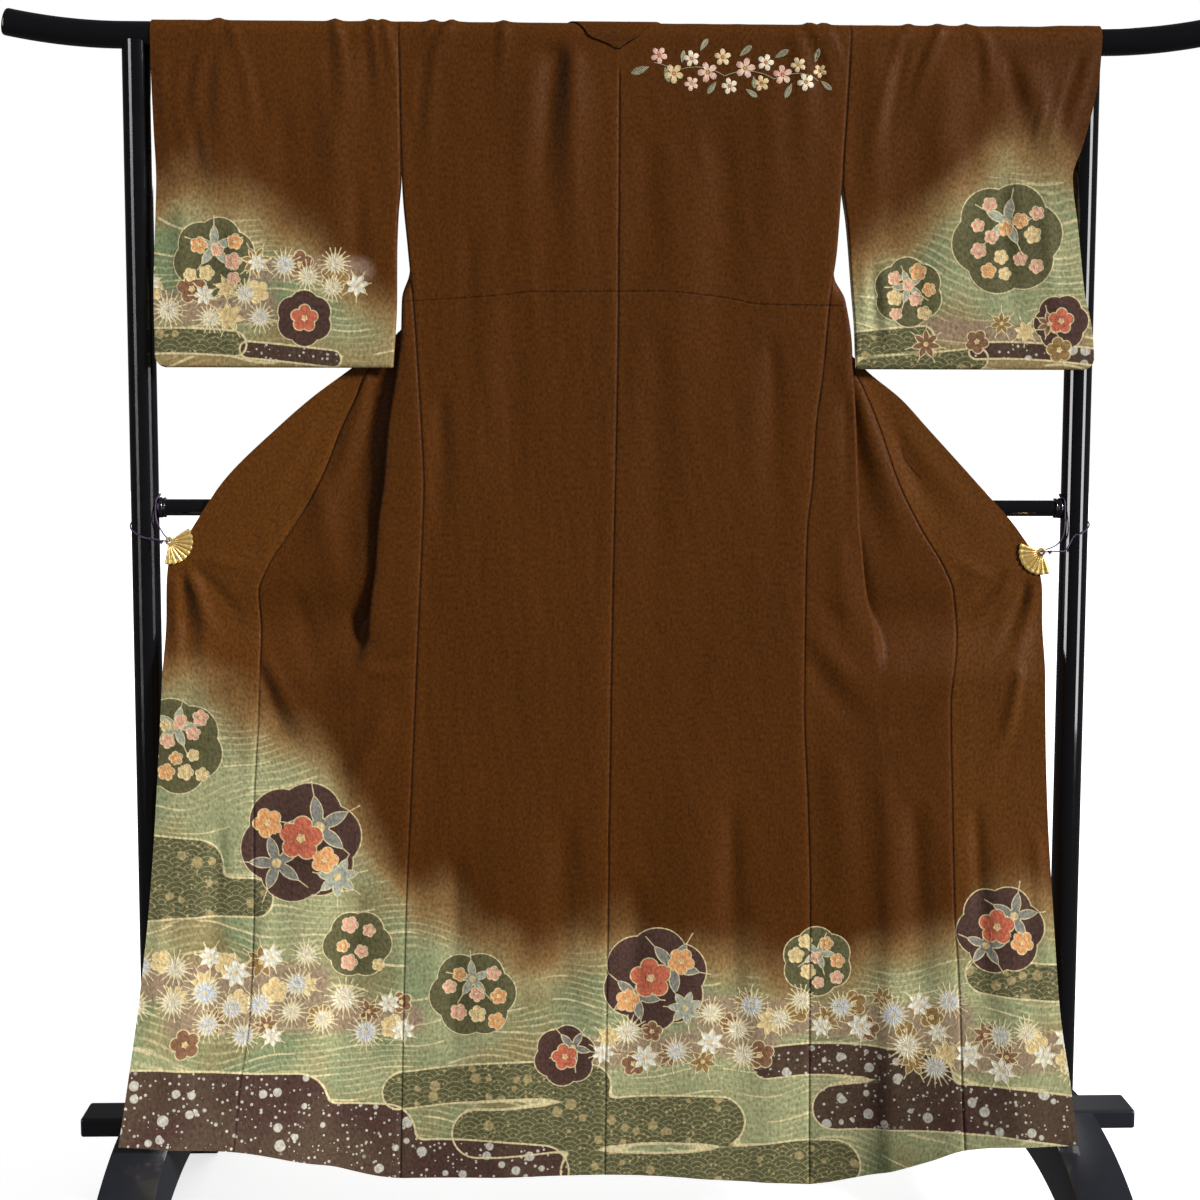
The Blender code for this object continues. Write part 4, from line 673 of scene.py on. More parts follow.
def edged(count: int, width: float, low: bool = True, high: bool = True) -> np.ndarray:
    """Spread shares from 0 to 1 with closer ones beside the sewn edges.

    Args:
        count: Number of even steps.
        width: Real width, in metres.
        low: Close steps at share 0.
        high: Close steps at share 1.

    Returns:
        The shares in order.
    """
    near = EDGE_COLUMNS / width
    even = np.linspace(0.0, 1.0, count + 1)
    keep = even[(even > (near[-1] if low else -1)) & (even < 1 - (near[-1] if high else -1))]
    parts = ([np.array([0.0]), near] if low else []) + [keep]
    parts += [1 - near[::-1], np.array([1.0])] if high else []
    return np.unique(np.round(np.concatenate(parts), 7))


class Dye(Enum):
    """Dye and thread colours, as linear red, green and blue."""

    BROWN = (0.064, 0.019, 0.0016)
    OCHRE = (0.235, 0.14, 0.052)
    SAGE = (0.27, 0.275, 0.14)
    MOSS = (0.15, 0.19, 0.095)
    OLIVE = (0.088, 0.08, 0.036)
    BARK = (0.07, 0.044, 0.028)
    PLUM = (0.058, 0.03, 0.023)
    MAUVE = (0.255, 0.165, 0.112)
    RUSSET = (0.19, 0.095, 0.05)
    CREAM = (0.56, 0.47, 0.26)
    CORAL = (0.42, 0.11, 0.06)
    APRICOT = (0.58, 0.28, 0.11)
    PINK = (0.6, 0.31, 0.215)
    STRAW = (0.56, 0.41, 0.19)
    WHITE = (0.6, 0.575, 0.48)
    MIST = (0.42, 0.48, 0.58)
    LEAF = (0.3, 0.31, 0.24)
    GREY = (0.19, 0.185, 0.155)


class Shape(Enum):
    """Kinds of dyed motif: code, petals, petal's distance out, petal's half width."""

    RING = (1.0, 6.0, 0.46, 0.54)
    PLUM_BLOSSOM = (1.0, 5.0, 0.56, 0.42)
    MAPLE = (2.0, 7.0, 1.00, 0.22)
    PINE_WHEEL = (2.0, 18.0, 1.00, 0.085)
    BAMBOO = (2.0, 5.0, 1.00, 0.19)


@dataclass(frozen=True)
class Motif:
    """One dyed motif on the cloth.

    Attributes:
        x: Place across.
        z: Place up.
        radius: Radius in metres.
        turn: Turn in degrees.
        shape: Kind of motif.
        dye: Main colour.
    """

    x: float
    z: float
    radius: float
    turn: float
    shape: Shape
    dye: Dye


@dataclass(frozen=True)
class Mist:
    """One band of mist with round ends, made of stacked bars.

    Attributes:
        bars: Rows of x from, x to, height of the middle and half height.
        soft: Radius over which the bars flow together.
    """

    bars: Table
    soft: float = 0.018

    def distance(self, x: np.ndarray, z: np.ndarray) -> np.ndarray:
        """Give the distance outside the band, below 0 inside it.

        Args:
            x: Distance across of each point.
            z: Height of each point.

        Returns:
            The distance of each point.
        """
        total = np.full(x.shape, 9.0)
        for x_from, x_to, middle, half in self.bars:
            bow = 0.010 * np.sin(11.0 * x + 40.0 * middle)
            gap = np.hypot(np.maximum(np.maximum(x_from - x, x - x_to), 0.0), z - middle - bow) - half
            mix = np.clip(0.5 + 0.5 * (total - gap) / self.soft, 0.0, 1.0)
            total = total * (1 - mix) + gap * mix - self.soft * mix * (1 - mix)
        return total


@dataclass(frozen=True)
class Design:
    """The dyed hem and sleeve design: a soft ground, bands of mist and scattered motifs.

    Attributes:
        ground: x, height of the soft upper edge of the green ground.
        dark: Dark bands with sprinkled flecks.
        olive: Olive bands.
        warm: Warm patches under the small flowers.
        layers: Motifs by layer, the later ones on top.
    """

    ground: Table
    dark: Mist
    olive: Mist
    warm: Mist
    layers: tuple[tuple[Motif, ...], ...]

    def fields(self, x: np.ndarray, z: np.ndarray) -> dict[str, np.ndarray]:
        """Work out the soft fields that the silk shader reads.

        Args:
            x: Places across.
            z: Places up.

        Returns:
            Three numbers a place under each attribute's name.
        """
        wobble = 0.016 * np.sin(13.0 * x + 1.0) + 0.011 * np.sin(31.0 * x + 2.2) + 0.005 * np.sin(71.0 * x)
        ground = curve_value(self.ground, 1, x) + wobble - z
        flow = z * 152 + 1.9 * np.sin(9.5 * x + 2.4 * np.sin(10.5 * z)) + 1.2 * np.sin(21.0 * x - 16.0 * z)
        flow = flow + 0.7 * np.sin(41.0 * x + 22.0 * z)
        blend = np.stack([ground, self.dark.distance(x, z), self.olive.distance(x, z)], axis=-1)
        lines = np.stack([self.warm.distance(x, z), flow, 60 * x + 8 * np.sin(14.0 * z)], axis=-1)
        return {"dye_bands": blend, "dye_lines": lines}

    def place(self, layer: int, x: np.ndarray, z: np.ndarray) -> dict[str, np.ndarray]:
        """Give each face corner its place on the nearest motif of one layer.

        Args:
            layer: Number of the layer.
            x: Corners across, four to a face.
            z: Corners up, four to a face.

        Returns:
            Place, shape and tint, three numbers a corner each.
        """
        place, shape, tint = (np.zeros((*x.shape, 3)) for _ in range(3))
        middle_x, middle_z = x.mean(axis=1), z.mean(axis=1)
        best = np.full(middle_x.shape, 1.45)
        for motif in self.layers[layer]:
            gap = np.hypot(middle_x - motif.x, middle_z - motif.z) / motif.radius
            mine = gap < best
            if not mine.any():
                continue
            best[mine] = gap[mine]
            cos, sin = math.cos(math.radians(motif.turn)), math.sin(math.radians(motif.turn))
            dx, dz = (x[mine] - motif.x) / motif.radius, (z[mine] - motif.z) / motif.radius
            code = np.full(dx.shape, motif.shape.value[0] + motif.radius)
            place[mine] = np.stack([dx * cos + dz * sin, dz * cos - dx * sin, code], axis=-1)
            shape[mine] = motif.shape.value[1:]
            tint[mine] = motif.dye.value
        return {f"motif_{layer}_place": place, f"motif_{layer}_shape": shape, f"motif_{layer}_tint": tint}


def scatter(seed: int, bars: Table, count: int, radius: tuple[float, float], shapes: tuple[Shape, ...],
            dyes: tuple[Dye, ...], placed: tuple[Motif, ...] = ()) -> tuple[Motif, ...]:
    """Scatter motifs that don't touch over bars of the design.

    Args:
        seed: Fixed seed.
        bars: Rows of x from, x to, height of the middle and half height.
        count: Motifs to try for.
        radius: Smallest and largest radius.
        shapes: Kinds to take in turn.
        dyes: Colours to take in turn.
        placed: Motifs that are there already.

    Returns:
        The motifs there already and the new ones.
    """
    pick = random.Random(seed)
    found = list(placed)
    for _ in range(count * 14):
        if len(found) >= count + len(placed):
            break
        x_from, x_to, middle, half = pick.choice(bars)
        x = pick.uniform(x_from, x_to)
        z = middle + pick.uniform(-half, half)
        size = pick.uniform(*radius)
        if all(math.hypot(x - other.x, z - other.z) > 1.06 * (size + other.radius) for other in found):
            index = len(found)
            shape, dye = shapes[index % len(shapes)], dyes[index % len(dyes)]
            found.append(Motif(x, z, size, pick.uniform(0, 360), shape, dye))
    return tuple(found)


def motifs(shape: Shape, dye: Dye, *rows: tuple[float, ...]) -> tuple[Motif, ...]:
    """Make motifs of one kind and colour from rows of x, z, radius and turn."""
    return tuple(Motif(*row, shape, dye) for row in rows)


def inside_rings(rings: tuple[Motif, ...]) -> Table:
    """Give the bars inside the olive rings where small blossoms lie."""
    return tuple((ring.x - 0.6 * ring.radius, ring.x + 0.6 * ring.radius, ring.z, 0.62 * ring.radius)
                 for ring in rings if ring.dye is Dye.OLIVE)


BLOSSOM = (Shape.PLUM_BLOSSOM,)
BLOSSOM_DYES = (Dye.PINK, Dye.STRAW, Dye.PINK, Dye.APRICOT)
WHEELS = (Shape.PINE_WHEEL, Shape.PINE_WHEEL, Shape.MAPLE)
WHEEL_DYES = (Dye.WHITE, Dye.MIST, Dye.WHITE)
LEAVES = (Shape.MAPLE, Shape.PLUM_BLOSSOM)
LEAF_DYES = (Dye.RUSSET, Dye.STRAW, Dye.OCHRE)


def hem_design() -> Design:
    """Compose the design of the hem: mist bands, snow rings, plum blossom, maple, bamboo and pine."""
    dark = ((-0.80, -0.46, 0.232, 0.044), (-0.70, -0.33, 0.168, 0.040), (-0.54, -0.10, 0.108, 0.036),
            (0.23, 0.47, 0.262, 0.024), (0.33, 0.80, 0.206, 0.034))
    olive = ((-0.31, -0.03, 0.232, 0.028), (-0.20, 0.16, 0.172, 0.036), (-0.04, 0.33, 0.104, 0.036),
             (-0.80, -0.60, 0.575, 0.036), (-0.74, -0.52, 0.512, 0.028), (0.54, 0.80, 0.405, 0.026))
    warm = ((-0.80, -0.44, 0.405, 0.034), (-0.62, -0.30, 0.345, 0.028), (-0.03, 0.22, 0.290, 0.026),
            (0.14, 0.50, 0.340, 0.028), (0.42, 0.80, 0.300, 0.030))
    rings = motifs(Shape.RING, Dye.PLUM, (-0.452, 0.600, 0.088, 12), (0.062, 0.392, 0.078, 22),
                   (0.565, 0.470, 0.064, 8), (-0.070, 0.278, 0.046, 18))
    rings += motifs(Shape.RING, Dye.OLIVE, (-0.632, 0.740, 0.070, 40), (-0.205, 0.372, 0.064, 5),
                    (-0.372, 0.448, 0.050, 0), (0.300, 0.418, 0.052, 33))
    leaves = motifs(Shape.BAMBOO, Dye.GREY, (-0.425, 0.622, 0.046, 100), (-0.487, 0.570, 0.040, 250),
                    (0.088, 0.412, 0.040, 60), (0.034, 0.366, 0.036, 210), (0.585, 0.490, 0.034, 80),
                    (0.545, 0.446, 0.030, 230), (-0.058, 0.290, 0.026, 60))
    leaves += motifs(Shape.MAPLE, Dye.LEAF, (-0.400, 0.548, 0.030, 320), (0.107, 0.350, 0.026, 330))
    leaves += motifs(Shape.BAMBOO, Dye.LEAF, (-0.630, 0.768, 0.030, 75), (-0.205, 0.395, 0.028, 95),
                     (0.302, 0.430, 0.024, 70))
    blooms = motifs(Shape.PLUM_BLOSSOM, Dye.CORAL, (-0.452, 0.606, 0.033, 10), (0.056, 0.394, 0.031, 25),
                    (0.560, 0.474, 0.026, 15), (-0.070, 0.276, 0.020, 30))
    blooms += motifs(Shape.PLUM_BLOSSOM, Dye.APRICOT, (-0.500, 0.628, 0.022, 40), (-0.418, 0.574, 0.020, 70),
                     (0.100, 0.420, 0.020, 55), (0.022, 0.360, 0.018, 5), (0.596, 0.452, 0.017, 50))
    blooms = scatter(3, inside_rings(rings), 44, (0.0085, 0.0130), BLOSSOM, BLOSSOM_DYES, blooms)
    blooms = scatter(5, warm, 66, (0.0150, 0.0215), WHEELS, WHEEL_DYES, blooms)
    leaves = scatter(8, warm, 60, (0.016, 0.024), LEAVES, LEAF_DYES, leaves)
    ground = ((-0.80, 0.800), (-0.66, 0.830), (-0.58, 0.800), (-0.44, 0.690), (-0.29, 0.510), (-0.10, 0.410),
              (0.06, 0.410), (0.22, 0.390), (0.40, 0.400), (0.56, 0.450), (0.70, 0.480))
    return Design(ground, Mist(dark), Mist(olive), Mist(warm, 0.030), (rings, leaves, blooms))


def sleeve_design() -> Design:
    """Compose the design of both lower sleeves from the same motifs."""
    dark = ((-0.52, -0.40, 1.300, 0.012), (0.52, 0.72, 1.300, 0.012))
    olive = ((-0.68, -0.54, 1.310, 0.018), (0.30, 0.44, 1.318, 0.018), (0.36, 0.52, 1.290, 0.016))
    warm = ((-0.68, -0.50, 1.376, 0.026), (-0.56, -0.36, 1.412, 0.020), (0.42, 0.66, 1.330, 0.020))
    rings = motifs(Shape.RING, Dye.OLIVE, (-0.566, 1.436, 0.058, 15), (0.560, 1.468, 0.080, 10),
                   (0.420, 1.392, 0.050, 35))
    rings += motifs(Shape.RING, Dye.PLUM, (-0.440, 1.352, 0.040, 30), (0.640, 1.350, 0.040, 5))
    blooms = motifs(Shape.PLUM_BLOSSOM, Dye.CORAL, (-0.440, 1.352, 0.020, 15), (0.640, 1.352, 0.019, 15))
    blooms = scatter(12, inside_rings(rings), 30, (0.0090, 0.0125), BLOSSOM, BLOSSOM_DYES, blooms)
    blooms = scatter(14, warm[:2], 18, (0.0140, 0.0200), WHEELS, WHEEL_DYES, blooms)
    leaves = motifs(Shape.BAMBOO, Dye.LEAF, (-0.566, 1.452, 0.030, 90), (0.560, 1.492, 0.034, 80),
                    (0.420, 1.400, 0.024, 110))
    leaves = scatter(17, warm, 16, (0.015, 0.022), LEAVES, LEAF_DYES, leaves)
    ground = ((-0.70, 1.500), (-0.62, 1.512), (-0.54, 1.500), (-0.46, 1.430), (-0.38, 1.360), (-0.30, 1.330),
              (0.30, 1.410), (0.40, 1.435), (0.48, 1.490), (0.56, 1.545), (0.64, 1.545), (0.70, 1.500))
    return Design(ground, Mist(dark, 0.010), Mist(olive, 0.012), Mist(warm, 0.020), (rings, leaves, blooms))


def write_attribute(mesh: bpy.types.Mesh, name: str, values: np.ndarray) -> None:
    """Write three numbers a corner under an attribute's name."""
    layer = mesh.attributes.new(name, "FLOAT_VECTOR", "CORNER")
    layer.data.foreach_set("vector", values.astype(np.float32).ravel())


def add_object(name: str, mesh: bpy.types.Mesh) -> Piece:
    """Put a mesh in the scene at the origin."""
    item = bpy.data.objects.new(name, mesh)
    bpy.context.scene.collection.objects.link(item)
    mesh.name = name
    return item


def shell_mesh(name: str, sheet: Sheet, wall: float, slots: tuple[Finish, Finish], design: Design | None,
               tucked: bool) -> Piece:
    """Close a fine middle surface into a thin wall, with the dyed design on its silk side.

    Args:
        name: Name of the piece.
        sheet: Middle surface whose faces point to the silk side.
        wall: Thickness.
        slots: Silk and lining materials.
        design: Dyed design, or None where the silk is plain.
        tucked: True where the waist tuck crosses the piece.

    Returns:
        The new object, at the origin.
    """
    normal = sheet.normals(4)
    count = len(sheet.points)
    points = np.vstack([sheet.points + normal * wall / 2, sheet.points - normal * wall / 2])
    faces = sheet.faces
    start, end = faces.ravel(), np.roll(faces, -1, axis=1).ravel()
    free = ~np.isin(start.astype(np.int64) * count + end, end.astype(np.int64) * count + start)
    rim = np.stack([end[free], start[free], start[free] + count, end[free] + count], axis=1)
    quads = np.vstack([faces, faces[:, ::-1] + count, rim])
    mesh = bpy.data.meshes.new(name)
    mesh.from_pydata(points.tolist(), [], quads.tolist())
    for slot in slots:
        mesh.materials.append(slot)
    inner = np.zeros(len(quads), dtype=np.int32)
    inner[len(faces):2 * len(faces)] = int(slots[0] != slots[1])
    mesh.polygons.foreach_set("material_index", inner)
    mesh.polygons.foreach_set("use_smooth", np.ones(len(quads), dtype=bool))
    corners = quads.ravel() % count
    uv = mesh.uv_layers.new(name="cut")
    uv.data.foreach_set("uv", sheet.cut[corners].astype(np.float32).ravel())
    x, z = sheet.points[:, 0], sheet.points[:, 2]
    tuck = curve_value(TUCK_LINE, 1, x) - z if tucked else np.ones(count)
    write_attribute(mesh, "cloth_seam", np.stack([sheet.seam, tuck, sheet.zone], axis=1)[corners])
    if design is not None:
        for key, value in design.fields(x, z).items():
            write_attribute(mesh, key, value[corners])
        for layer in range(len(design.layers)):
            for key, value in design.place(layer, x[quads % count], z[quads % count]).items():
                value[len(faces):] = 0.0
                write_attribute(mesh, key, value.reshape(-1, 3))
    mesh.validate()
    mesh.set_sharp_from_angle(angle=math.radians(60))
    return add_object(name, mesh)


def grid_sheet(points: np.ndarray, shift: float, seam: np.ndarray, zone: np.ndarray,
               faces: np.ndarray | None = None) -> Sheet:
    """Make a sheet of a grid of points, with the silk side of its near part towards the viewer.

    Args:
        points: Grid of points.
        shift: Place of the piece on the bolt, across.
        seam: Distance of each point from the nearest sewn edge.
        zone: 1 where a point shows, 0 where it lies behind.
        faces: Its faces, where they are not just those of the grid.

    Returns:
        The sheet.
    """
    cut = np.stack([walk(points, 1) + shift, walk(points, 0)], axis=2).reshape(-1, 2)
    faces = grid_faces(*points.shape[:2]) if faces is None else faces
    sheet = Sheet(points.reshape(-1, 3), faces, cut, seam.ravel(), zone.ravel())
    if sheet.normals()[sheet.zone > 0.5, 1].mean() > 0:
        sheet.faces = sheet.faces[:, ::-1].copy()
    return sheet


def front_creases(x: np.ndarray, z: np.ndarray) -> np.ndarray:
    """Give the height of the creases and sweeps of the drawn-out panels."""
    return crease_height(FRONT_CREASES, x, z, FRONT_GAIN) + crease_height(PANEL_SWEEPS, x, z)


def clip_calm(x: np.ndarray, z: np.ndarray) -> np.ndarray:
    """Give 0 under the clips, where the cloth lies flat, and 1 away from them."""
    calm = np.ones(x.shape)
    for hub_x, hub_z, _ in (CLIP_LEFT, CLIP_RIGHT):
        calm = np.minimum(calm, ease(np.hypot(x - hub_x, z - hub_z), 0.034, 0.060))
    return calm


def rest_on_rod(rise: np.ndarray, z: np.ndarray, seam: np.ndarray, roll: tuple[float, float]) -> np.ndarray:
    """Keep troughs off the rod and roll in the sewn edges.

    Args:
        rise: Height of each point.
        z: Places up.
        seam: Distance from the nearest sewn edge.
        roll: Depth and reach of the rolled-in edge.

    Returns:
        The new heights.
    """
    rise = np.where(rise < 0.0, rise * (1 - ease(z, ROD_Z - 0.030, ROD_Z - 0.007)), rise)
    return rise - roll[0] * np.exp(-(seam / roll[1]) ** 2) * (1 - ease(z, ROD_Z - 0.03, ROD_Z - 0.01))


def settle(item: Piece, node: str = "") -> None:
    """Let a piece ride on the root and put it in place of its node."""
    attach(item, "root")
    if node:
        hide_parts(node)


@dataclass
class ClothPiece:
    """One cut length of the garment.

    Attributes:
        name: Node that the piece stands for.
        half: Half of the garment.
        silk: Finish of the outside.
        lining: Finish of the inside.
        design: Dyed design, or None where the silk is plain.
        seed: Seed of the swell.
        slot: The record's material slot; not used.
        flat: Width and length of its cut.
        tucked: True where the waist tuck crosses the piece.
        wall: Thickness.
    """

    name: str
    half: Half
    silk: Finish
    lining: Finish
    design: Design | None = None
    seed: int = 1
    slot: str = "body_silk"
    flat: tuple[float, float] = (0.36, 3.32)
    tucked: bool = False
    wall: float = WALL

    def surface(self) -> Sheet:
        """Lay the middle surface; each kind of piece has its own way."""
        raise NotImplementedError

    def build(self) -> Piece:
        sheet = self.surface()
        slots = (self.silk, self.lining)
        item = shell_mesh(self.name + "_cloth", sheet, self.wall, slots, self.design, self.tucked)
        settle(item, self.name)
        whole = self.flat[0] * self.flat[1]
        area = max(min(sheet.area(), whole), 0.31 * whole)
        LOG.info("%s: %d faces, cloth area %.3f m2", item.name, len(item.data.polygons), sheet.area())
        return item


@dataclass
class BodyPanel(ClothPiece):
    """One body length: back panel, run over the rod and pleated front panel in a single strip of silk.

    Attributes:
        step: Size of the mesh.
        rod_steps: Steps over the rod.
        neck_reach: Distance out to which columns are pushed aside for the neck.
        run_columns: Columns on each run of the front panel.
    """

    tucked: bool = True
    step: float = 0.0063
    rod_steps: int = 18
    neck_reach: float = 0.140
    run_columns: tuple[int, ...] = (7, 6, 38, 6, 24)

    def places(self) -> list[tuple[int, float]]:
        """List the columns as run and share of the run."""
        counts = self.run_columns
        found = [(0, float(s)) for s in edged(counts[0], 0.066, high=False)[:-1]]
        for run in (1, 2, 3):
            found += [(run, index / counts[run]) for index in range(counts[run])]
        return found + [(4, float(s)) for s in edged(counts[4], 0.17, low=False)]

    def shares(self, places: list[tuple[int, float]], z: float) -> np.ndarray:
        """Give each column's share of the cloth's width at one height."""
        lengths = [float(length[0]) for length in self.half.runs(np.array([z]))[1]]
        return np.array([sum(lengths[:run]) + share * lengths[run] for run, share in places]) / sum(lengths)

    def make_room(self, out: np.ndarray, seam: np.ndarray | float, neck: np.ndarray | float) -> np.ndarray:
        """Push the columns beside the neck outwards and leave the others in place.

        Args:
            out: Distance out of each column where there is no neck hole.
            seam: Distance out of the centre seam.
            neck: Distance out of the neck seam.

        Returns:
            The distance out of each column beside the neck hole.
        """
        far = self.neck_reach
        return np.where(out < far, neck + (out - seam) * (far - neck) / (far - seam), out)

    def seam_out(self, z: np.ndarray | float) -> np.ndarray:
        """Give the distance out of the centre seam."""
        return self.half.sign * curve_value(CENTRE_SEAM, 1, z) + SEAM_MEET / 2

    def back_row(self, u: np.ndarray, z: np.ndarray) -> np.ndarray:
        """Lay one row of the back panel."""
        return np.stack([self.half.sign * u, curve_value(BACK_PLANE, 1, z), z], axis=1)

    def back_rows(self, even: np.ndarray, packed: np.ndarray) -> list[np.ndarray]:
        """Lay the rows of the back panel from the hem to the rod.

        Args:
            even: Share of the panel's width at each column near the hem.
            packed: Share of the panel's width at each column near the rod.

        Returns:
            The points of each row.
        """
        half, rows = self.half, []
        for step in np.linspace(1.0, 0.0, round((LOWER_ZONE - 0.09) / self.step) + 1):
            z = np.full(even.shape, LOWER_ZONE)
            for _ in range(3):
                out = curve_value(half.edge, 1, z) - SEAM_MEET / 2
                u = out + (self.seam_out(z) - out) * even
                z = LOWER_ZONE - (LOWER_ZONE - curve_value(BACK_HEM, 1, half.sign * u)) * step
            rows.append(self.back_row(u, z))
        for height in np.linspace(LOWER_ZONE, ROD_Z, round((ROD_Z - LOWER_ZONE) / self.step) + 1)[1:-1]:
            z = np.full(even.shape, height)
            mix = float(ease(height, 1.50, 1.74))
            shares = even * (1 - mix) + packed * mix
            out = curve_value(half.edge, 1, z) - (SEAM_MEET / 2 if height < SIDE_SEAM_TOP else 0.0)
            inner = self.seam_out(z)
            neck = inner + (half.neck[0] - inner) * np.clip((height - 1.730) / (ROD_Z - 1.730), 0.0, 1.0)
            rows.append(self.back_row(self.make_room(out + (inner - out) * shares, inner, neck), z))
        return rows

    def rod_rows(self, packed: np.ndarray) -> list[np.ndarray]:
        """Lay the rows over the rod, from its near side to its far side."""
        half, rows = self.half, []
        outer, seam = float(curve_value(half.edge, 1, ROD_Z)), float(self.seam_out(ROD_Z))
        for turn in np.linspace(0.0, 1.0, self.rod_steps + 1):
            inner = half.neck[0] + (half.neck[1] - half.neck[0]) * turn
            share = ease(turn, 0.0, 1.0)
            u = self.make_room(outer + (seam - outer) * packed, seam, inner) * (1 - share)
            u = u + (outer + (inner - outer) * packed) * share
            y = np.full(u.shape, -DRAPE_RADIUS * math.cos(math.pi * turn))
            z = np.full(u.shape, ROD_Z + DRAPE_RADIUS * math.sin(math.pi * turn))
            rows.append(np.stack([half.sign * u, y, z], axis=1))
        return rows

    def front_rows(self, places: list[tuple[int, float]]) -> Pair:
        """Lay the pleated front panel from the rod to the hem.

        Args:
            places: Run and share of each column.

        Returns:
            The points, and how far each shows to the viewer.
        """
        half = self.half
        upper = np.linspace(ROD_Z, LOWER_ZONE, round((ROD_Z - LOWER_ZONE) / self.step) + 1)[1:]
        lower = np.linspace(0.0, 1.0, round((LOWER_ZONE - 0.09) / self.step) + 1)[1:]
        front, spread = [], []
        for run, share in places:
            gap = float(half.panel_point(run, share, np.array([0.17]))[0][0] - curve_value(half.edge, 1, 0.17))
            hem = float(curve_value(half.hem, 1, gap))
            z = np.concatenate([upper, LOWER_ZONE - (LOWER_ZONE - hem) * lower])
            u, y = half.panel_point(run, share, z)
            front.append(np.stack([half.sign * u, y + half.shear(u, z) - half.fold(u, z), z], axis=1))
            spread.append(np.where(run in (0, 4), 1.0, 1 - ease(z, *PLEAT_OPENS)) * (z < 1.44))
        return np.stack(front, axis=1), np.stack(spread, axis=1)

    def surface(self) -> Sheet:
        """Lay the whole strip from the back hem over the rod to the front hem."""
        places = self.places()
        near = EDGE_COLUMNS / 0.30
        inner = np.linspace(near[-1], 1 - near[-1], len(places) - 6)[1:-1]
        even = np.concatenate([[0.0], near, inner, 1 - near[::-1], [1.0]])
        packed = self.shares(places, ROD_Z)
        back, rod = self.back_rows(even, packed), self.rod_rows(packed)
        front, spread = self.front_rows(places)
        points = np.concatenate([np.array(back + rod), front])
        across = walk(points, 1)
        seam = np.minimum(across, across[:, -1:] - across)
        # Beside the neck the seam distance grows by 4.5 mm, which fades the rolled-in edge and the painted seam
        # shade there.
        seam = seam + 0.0045 * (abs(points[..., 0]) < 0.07) * ease(points[..., 2], 1.69, 1.72)
        zone = np.zeros(points.shape[:2])
        zone[:len(back) + self.rod_steps // 2] = 1.0
        zone[len(back) + len(rod):] = spread
        sheet = grid_sheet(points, 0.5, seam, zone)
        sheet.raise_by(self.relief(points, len(back), len(back) + len(rod), sheet))
        return sheet

    def relief(self, points: np.ndarray, back: int, top: int, sheet: Sheet) -> np.ndarray:
        """Work out the height of folds, creases, swell and rolled edges.

        Args:
            points: Grid of points.
            back: Rows of the back panel.
            top: Rows up to the end of the run over the rod.
            sheet: The sheet that is raised.

        Returns:
            The height of each point.
        """
        x, z = points[..., 0], points[..., 2]
        zone = sheet.zone.reshape(x.shape)
        past = np.linspace(0.0, math.pi * DRAPE_RADIUS, top - back)[:, None] * np.ones((1, x.shape[1]))
        near_z, far_z = z.copy(), z.copy()
        near_z[back:top], near_z[top:] = ROD_Z + past, AWAY
        far_z[:back], far_z[back:top] = AWAY, ROD_Z + past[::-1]
        rise = crease_height(BACK_CREASES, x, near_z, BACK_GAIN) + crease_height(BACK_PINCHES, x, near_z)
        rise += crease_height(FAR_CREASES, x, far_z) * (far_z > 1.45)
        rise[:back] += fold_height(BACK_FOLDS, x[:back], z[:back])
        rise[top:] += front_creases(x[top:], z[top:]) * zone[top:]
        rise += crumple(x, z, self.seed) * (1 - 0.75 * ((far_z > 1.0) & (far_z < 2.0) & (zone < 0.5)))
        rise *= 1 - (1 - ease(abs(x), 0.045, 0.085)) * ease(z, 1.712, 1.734)
        return rest_on_rod((rise * clip_calm(x, z)).ravel(), z.ravel(), sheet.seam, SEAM_ROLL)


@dataclass
class Overlap(ClothPiece):
    """One overlap panel sewn to the front edge of a front panel, on a mesh of the size of step."""

    slot: str = "okumi_silk"
    flat: tuple[float, float] = (0.16, 1.46)
    step: float = 0.0058

    def surface(self) -> Sheet:
        """Lay the panel from its point down to the hem."""
        half = self.half
        shares = edged(26, 0.15, high=False)
        seam_out, free_out = (float(curve_value(half.front, column, 0.17)) for column in (3, 4))
        gaps = seam_out + (free_out - seam_out) * shares - float(curve_value(half.edge, 1, 0.17))
        hem = curve_value(half.hem, 1, gaps)
        top = KENSAKI_Z - 0.001
        upper = np.linspace(top, LOWER_ZONE, round((top - LOWER_ZONE) / self.step) + 1)
        lower = np.linspace(0.0, 1.0, round((LOWER_ZONE - 0.17) / self.step) + 1)[1:]
        z = np.concatenate([np.repeat(upper[:, None], len(shares), axis=1),
                            LOWER_ZONE - (LOWER_ZONE - hem[None, :]) * lower[:, None]])
        start = curve_value(half.front, 3, z) + SEAM_MEET / 2
        u = start + (curve_value(half.front, 4, z) - start) * shares[None, :]
        y = half.run_depth(z.ravel()).reshape(z.shape) + half.shear(u, z) - half.fold(u, z)
        points = np.stack([half.sign * u, y, z], axis=2)
        sheet = grid_sheet(points, 1.5, walk(points, 1), np.ones(z.size))
        x, z = points[..., 0].ravel(), z.ravel()
        rise = front_creases(x, z) + crumple(x, z, self.seed)
        rise = rise * clip_calm(x, z) * (1 - 0.6 * ease(z, 1.05, 1.2))
        sheet.raise_by(rise - SEAM_ROLL[0] * np.exp(-(sheet.seam / SEAM_ROLL[1]) ** 2))
        return sheet


class Part(Enum):
    """Parts of the way round a sleeve."""

    ROD = 1
    NEAR = 2
    BOTTOM = 3
    FAR = 4


